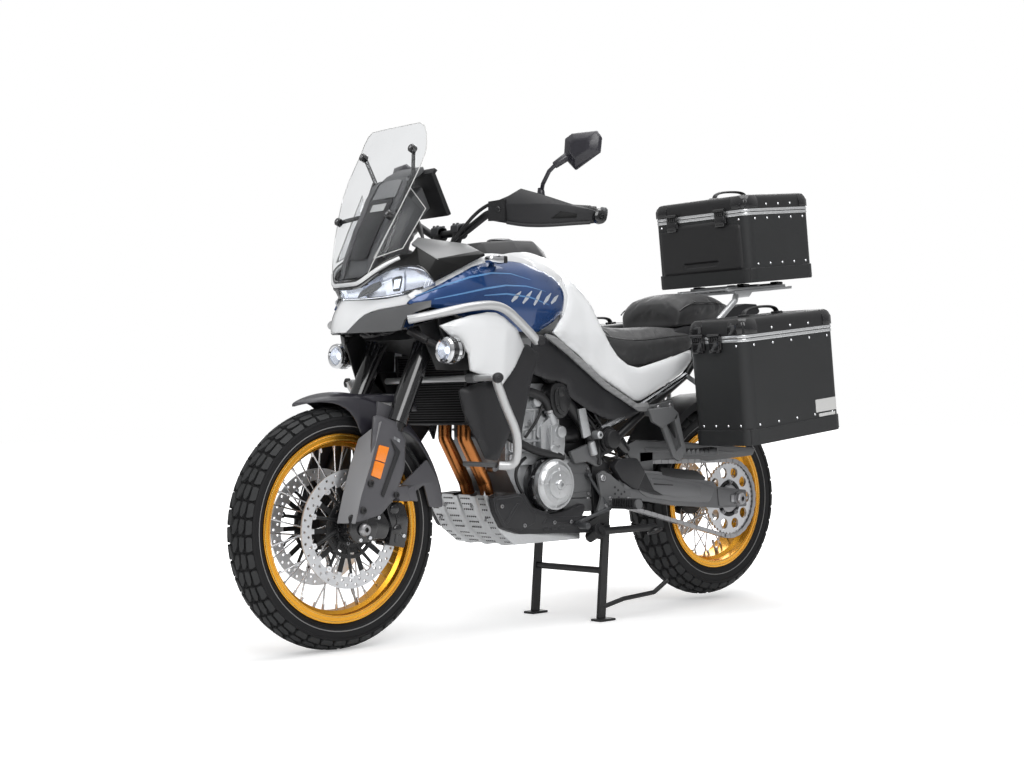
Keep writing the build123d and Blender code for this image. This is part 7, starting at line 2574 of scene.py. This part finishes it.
    @staticmethod
    def clamps() -> BMesh:
        """Caps over the bar's risers, the stem's nut and the ignition barrel."""
        parts = []
        for side in SIDES:
            parts.append(slab([(382, 1150), (380, 1172), (364, 1178), (344, 1172), (338, 1150)],
                              *sorted((side * 28, side * 60)), bevel=3))
            parts += [bolt((x, side * y, 1174), (0, 0, 1), 4.5, 5) for x in (350, 372) for y in (36, 52)]
        parts.append(bar((418, 0, 1082), (412, 0, 1100), 20, 18, sides=6, bevel=1.5))
        parts.append(bar((470, 0, 1088), (464, 0, 1104), 14, bevel=2))
        return joined(parts)


# ---------------------------------------------------------------- lamps and bars
class Fittings:
    """Fog lamps, indicators, and the crash bars with their plugs and clamps."""

    FOG_LAMP = (566.0, 241.0, 804.0)
    # the round parts of a fog lamp: piece, finish, replaced nodes, steps round and profiles
    FOG_PARTS = (
        ("rims", Finishes.CHROME, (), 44, (((25, 20), (34, 17), (36.5, 22), (34.5, 30), (29, 32), (25, 28)),
                                           ((35.3, -6), (37.5, -6), (37.5, 4), (35.3, 4)))),
        ("bowls", Finishes.REFLECTOR, (), 36, (((0.5, 14), (9, 15), (18, 19), (26, 26), (27, 14),
                                                (0.5, 11)),)),
        ("lenses", Finishes.LENS, (), 36, (((0.5, 33), (14, 32), (26, 28), (26, 26), (14, 30), (0.5, 31)),)),
        ("beams", Finishes.BEAM, (), 24, (((0.5, 20), (7, 19), (10, 16), (10, 14), (0.5, 14)),)),
        ("cases", Finishes.GLOSS, ("lamps",), 44, (((0.5, -30), (20, -30), (30, -22), (35, -8), (36, 18),
                                                    (30, 20), (0.5, 12)),)),
    )

    def build(self, shop: Assembly) -> None:
        """Builds the fittings round the cowls, and the rear signals."""
        x, y, z = self.FOG_LAMP
        for name, finish, nodes, steps, profiles in self.FOG_PARTS:
            parts = [turned(profile, (x, side * y, z), (1, 0, 0), steps) for side in SIDES
                     for profile in profiles]
            shop.add("fog_" + name, joined(parts), finish, nodes)
        shop.add("fog_brackets", joined([*self.brackets(), *self.stems(), *self.rear_signals()]),
                 Finishes.BLACK_STEEL)
        shop.add("indicator_lenses", self.lenses(), Finishes.CHROME)
        shop.add("rear_indicator_lenses", joined(box((-995, side * 158 - 18, 810),
                                                     (-972, side * 158 + 18, 830), 5)
                                                 for side in SIDES), Finishes.AMBER)
        self.crash_bars(shop)

    @staticmethod
    def brackets() -> list[BMesh]:
        """The fog lamps' angled arms."""
        return [bar(*((x, side * y, z) for x, y, z in ends), radius, sides=4, bevel=1.5) for side in SIDES
                for *ends, radius in (((636, 144, 862), (602, 182, 832), 12),
                                      ((602, 182, 832), (566, 206, 808), 11),
                                      ((566, 198, 806), (562, 236, 802), 9))]

    @staticmethod
    def stems() -> list[BMesh]:
        """The front signals' stems and feet."""
        parts = []
        for side in SIDES:
            parts.append(bar((344, side * 150, 1070), (352, side * 190, 1063), 7, 9, bevel=1))
            parts.append(box((338, side * 205 - 20, 1052), (350, side * 205 + 20, 1072), 3))
        return parts

    @staticmethod
    def rear_signals() -> list[BMesh]:
        """The rear signals' stems and cases."""
        parts = []
        for side in SIDES:
            parts.append(bar((-975, side * 41, 820), (-975, side * 140, 820), 7))
            parts.append(box((-995, side * 158 - 22, 808), (-955, side * 158 + 22, 832), 5))
        return parts

    @staticmethod
    def lenses() -> BMesh:
        """The front signals' rounded lenses."""
        lenses = [loft([[(x, side * (205 + a * w), 1062 + b * h) for a,
                         b in ((-1, -1), (1, -1), (1, 1), (-1, 1))]
                        for x, w, h in ((336, 12, 5), (344, 17, 9), (372, 19, 11), (392, 16, 9),
                                        (400, 10, 5))])
                  for side in SIDES]
        for lens in lenses:
            soften(lens, 3, 2, 20)
        return joined(lenses)

    @staticmethod
    def crash_bars(shop: Assembly) -> None:
        """The bent tubes round the cowls, the cross tube, and their plugs and clamps."""
        upper = pipe([(254, 250, 832), (272, 254, 846), (325, 260, 882), (385, 264, 921), (438, 262, 931),
                      (500, 250, 924), (548, 236, 914), (600, 213, 902), (640, 190, 893), (659, 171, 888)],
                     12.5, 5)
        lower = pipe([(484, 326, 733), (475, 322, 711), (450, 312, 678), (425, 304, 641), (392, 296, 598),
                      (374, 290, 563), (362, 276, 513), (366, 268, 492), (378, 258, 484), (398, 240, 487)],
                     12.5, 5)
        tubes = [twin(joined([upper, lower])), bar((470, -334, 729), (470, 334, 729), 9)]
        shop.add("crash_bar_tubes", joined(tubes), Finishes.SILVER, ["crash_bars"])
        cap = [(1, 5), (9, 5), (14, 2), (15, -8), (1, -8)]
        plugs, clamps = [], []
        for side in SIDES:
            plugs.append(turned(cap, (484, side * 336, 728), (0.5, side, 0.1), 24))
            plugs.append(turned(cap, (250, side * 262, 836), (0.2, side, 0.1), 24))
            plugs.append(turned([(1, 2), (8, 2), (8, -1), (1, -1)], (403, side * 236, 488),
                                (0.5, side * -0.8, 0.1), 20))
            clamps.append(bar((402, side * 236, 488), (438, side * 138, 492), 7, sides=12))
            clamps.append(turned([(9.2, -16), (13, -16), (13, 16), (9.2, 16)], (470, side * 214, 729),
                                 (0, 1, 0), 28))
        shop.add("crash_bar_plugs", joined(plugs), Finishes.DARK)
        shop.add("crash_bar_clamps", joined(clamps), Finishes.GREY)


# ---------------------------------------------------------------- the model's own nodes
class Nodes:
    """Gives each of the model's nodes its finish."""

    PLAIN = {
        Finishes.BLACK_STEEL: "frame rear_shock rear_calliper fork_clamps fork_sliders front_callipers"
                              " handlebar hand_controls centre_stand side_stand",
        Finishes.DARK: "lower_engine_covers radiator_side_panels tank_console lower_side_covers"
                       " headlight_surround instrument_tower lamps tail_section hand_guards mirrors",
        Finishes.WHITE: "radiator_cowls fuel_tank side_covers beak",
        Finishes.STEEL: "silencer rear_axle drive_chain front_axle",
        Finishes.CASE_MOULDED: "top_case_lid left_pannier_lid right_pannier_lid",
        Finishes.CAST: "engine_block",
        Finishes.TURNED: "engine_covers",
        Finishes.BRONZE: "exhaust_pipes",
        Finishes.ALUMINIUM: "skid_plate rear_rack",
        Finishes.RADIATOR: "radiator",
        Finishes.BLUE: "tank_wings",
        Finishes.GREY: "beak_intake footpegs",
        Finishes.LENS: "headlight",
        Finishes.SCREEN: "windscreen",
        Finishes.VINYL: "rider_seat passenger_seat",
        Finishes.CASE: "top_case panniers",
        Finishes.SILVER: "crash_bars",
        Finishes.ARM: "swingarm chain_guard",
        Finishes.FORK: "fork_tubes",
        Finishes.GRAPHITE: "front_mudguard fork_guards",
        Finishes.TYRE: "front_tyre rear_tyre",
        Finishes.GOLD: "front_rim rear_rim",
    }
    BLACK = (0.012, 0.012, 0.013)

    def __init__(self, paint: Paint) -> None:
        """Keeps the paint."""
        self.paint = paint

    def dress(self) -> None:
        """Assigns a material to every node."""
        plain = {name: finish for finish, names in self.PLAIN.items() for name in names.split()}
        zoned = {
            "front_hub_spokes": (Finishes.SPOKES, Zone(FRONT_AXLE, 52, self.BLACK, 0.4, 0.2)),
            "rear_hub_spokes": (Finishes.SPOKES, Zone(REAR_AXLE, 64, self.BLACK, 0.4, 0.2)),
            "front_discs": (Finishes.DISC, Zone(FRONT_AXLE, 119, self.BLACK, 0.38, 0.3)),
            "rear_sprocket_and_disc": (Finishes.DISC, Zone(REAR_AXLE, 60, self.BLACK, 0.4, 0.3)),
        }
        for name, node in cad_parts.items():
            if name in zoned:
                finish, zone = zoned[name]
                material = self.paint(finish, zone, "_" + name)
            else:
                material = self.paint(plain[name])
            for slot in node.material_slots:
                slot.material = material


# ---------------------------------------------------------------- studio
@dataclass(frozen=True)
class Studio:
    """Pale floor, soft lamps and the camera."""

    eye: Point3 = (3473.5, 3592.0, 650.0)
    heading: float = -133.03
    climb: float = 0.78
    roll: float = -0.93
    lens: float = 57.73
    floor_reach: float = 30.0
    # the floor lies just below the tyres, in metres
    floor_drop: float = 0.0005

    def build(self) -> None:
        """Makes everything that isn't the machine."""
        self.camera()
        self.world()
        self.floor()
        self.lamps()
        bpy.context.scene.view_settings.view_transform = "Standard"

    def camera(self) -> None:
        """The camera, level with the wheels' tops, off the machine's front left."""
        yaw, pitch, roll = (math.radians(a) for a in (self.heading, self.climb, self.roll))
        ahead = Vector((math.cos(pitch) * math.cos(yaw), math.cos(pitch) * math.sin(yaw), math.sin(pitch)))
        right = ahead.cross(Vector((0, 0, 1))).normalized()
        up = right.cross(ahead)
        leaned = right * math.cos(roll) + up * math.sin(roll)
        top = leaned.cross(ahead)
        data = bpy.data.cameras.new("camera")
        data.lens = self.lens
        data.sensor_width = 36
        data.clip_end = 100
        camera = placed("camera", data)
        turn = Matrix((leaned, top, -ahead)).transposed().to_4x4()
        camera.matrix_world = Matrix.Translation(Vector(self.eye) * MM) @ turn
        bpy.context.scene.camera = camera

    @staticmethod
    def seen(tree) -> bpy.types.NodeSocket:
        """Whether a ray comes straight from the camera or through glass."""
        paths = tree.nodes.new("ShaderNodeLightPath")
        either = tree.nodes.new("ShaderNodeMath")
        either.operation = "MAXIMUM"
        for socket, name in zip(either.inputs, ("Is Camera Ray", "Is Transmission Ray")):
            tree.links.new(paths.outputs[name], socket)
        return either.outputs[0]

    def world(self) -> None:
        """White to the camera and through glass, and a soft gradient for light and gloss."""
        world = bpy.data.worlds.new("studio")
        bpy.context.scene.world = world
        world.use_nodes = True
        tree = world.node_tree
        link = tree.links.new
        tree.nodes.clear()
        out, place, split, ramp, height, soft, white = (tree.nodes.new("ShaderNode" + kind) for kind in (
            "OutputWorld", "TexCoord", "SeparateXYZ", "ValToRGB", "MapRange", "Background", "Background"))
        link(place.outputs["Generated"], split.inputs["Vector"])
        for stop, position, colour in zip(ramp.color_ramp.elements, (0.42, 0.86),
                                          ((0.34, 0.34, 0.35, 1), (0.95, 0.95, 0.95, 1))):
            stop.position = position
            stop.color = colour
        height.inputs["From Min"].default_value = -1.0
        link(split.outputs["Z"], height.inputs["Value"])
        link(height.outputs["Result"], ramp.inputs["Fac"])
        soft.inputs["Strength"].default_value = 0.62
        link(ramp.outputs["Color"], soft.inputs["Color"])
        white.inputs["Color"].default_value = (1, 1, 1, 1)
        seen = self.seen(tree)
        mix = tree.nodes.new("ShaderNodeMixShader")
        for socket, feed in zip(mix.inputs, (seen, soft.outputs[0], white.outputs[0])):
            link(feed, socket)
        link(mix.outputs[0], out.inputs["Surface"])

    def floor(self) -> None:
        """A wide pale floor that keeps the soft shadows."""
        bm = bmesh.new()
        bmesh.ops.create_grid(bm, x_segments=2, y_segments=2, size=self.floor_reach)
        mesh = finished("floor", bm)
        floor = placed("floor", mesh)
        floor.location = (0, 0, -self.floor_drop)
        material = bpy.data.materials.new("studio_floor")
        material.use_nodes = True
        tree = material.node_tree
        link = tree.links.new
        tree.nodes.clear()
        out, matt, glow, place, reach, fade, both = (tree.nodes.new("ShaderNode" + kind) for kind in (
            "OutputMaterial", "BsdfDiffuse", "Emission", "TexCoord", "VectorMath", "MapRange", "AddShader"))
        matt.inputs["Color"].default_value = (0.86, 0.86, 0.86, 1)
        reach.operation = "LENGTH"
        link(place.outputs["Object"], reach.inputs[0])
        for socket, value in (("From Min", 1.1), ("From Max", 2.6), ("To Min", 0.36), ("To Max", 1.1)):
            fade.inputs[socket].default_value = value
        link(reach.outputs["Value"], fade.inputs["Value"])
        seen = self.seen(tree)
        lift = tree.nodes.new("ShaderNodeMath")
        lift.operation = "MULTIPLY"
        link(seen, lift.inputs[0])
        link(fade.outputs["Result"], lift.inputs[1])
        link(lift.outputs[0], glow.inputs["Strength"])
        link(matt.outputs[0], both.inputs[0])
        link(glow.outputs[0], both.inputs[1])
        link(both.outputs[0], out.inputs["Surface"])
        mesh.materials.append(material)

    AIM = Vector((0, 0, 0.6))

    def lamps(self) -> None:
        """Three large soft lamps that face the machine's middle."""
        for name, place, size, power in (("key", (2.6, 4.2, 3.6), 3.0, 120),
                                         ("top", (-0.4, 0.4, 4.4), 4.0, 120),
                                         ("back", (-3.6, -2.4, 2.6), 2.5, 60)):
            data = bpy.data.lights.new(name, "AREA")
            data.size = size
            data.energy = power
            lamp = placed(name, data)
            lamp.location = place
            lamp.rotation_euler = (self.AIM - Vector(place)).to_track_quat("-Z", "Y").to_euler()


ASSEMBLIES = (Wheels, Bodywork, Luggage, Rack, Seats, Engine, Underside, RearEnd, Nose, FrontEnd, Fittings)


def main() -> None:
    """Builds every sub-assembly in order."""
    logging.basicConfig(level=logging.INFO, format="%(message)s")
    random.seed(SEED)
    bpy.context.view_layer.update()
    paint = Paint()
    Studio().build()
    Nodes(paint).dress()
    shop = Assembly(paint)
    for part in ASSEMBLIES:
        part().build(shop)
        LOG.info("%s built", part.__name__)
    LOG.info("%d pieces", shop.count)


if __name__ == "__main__":
    main()
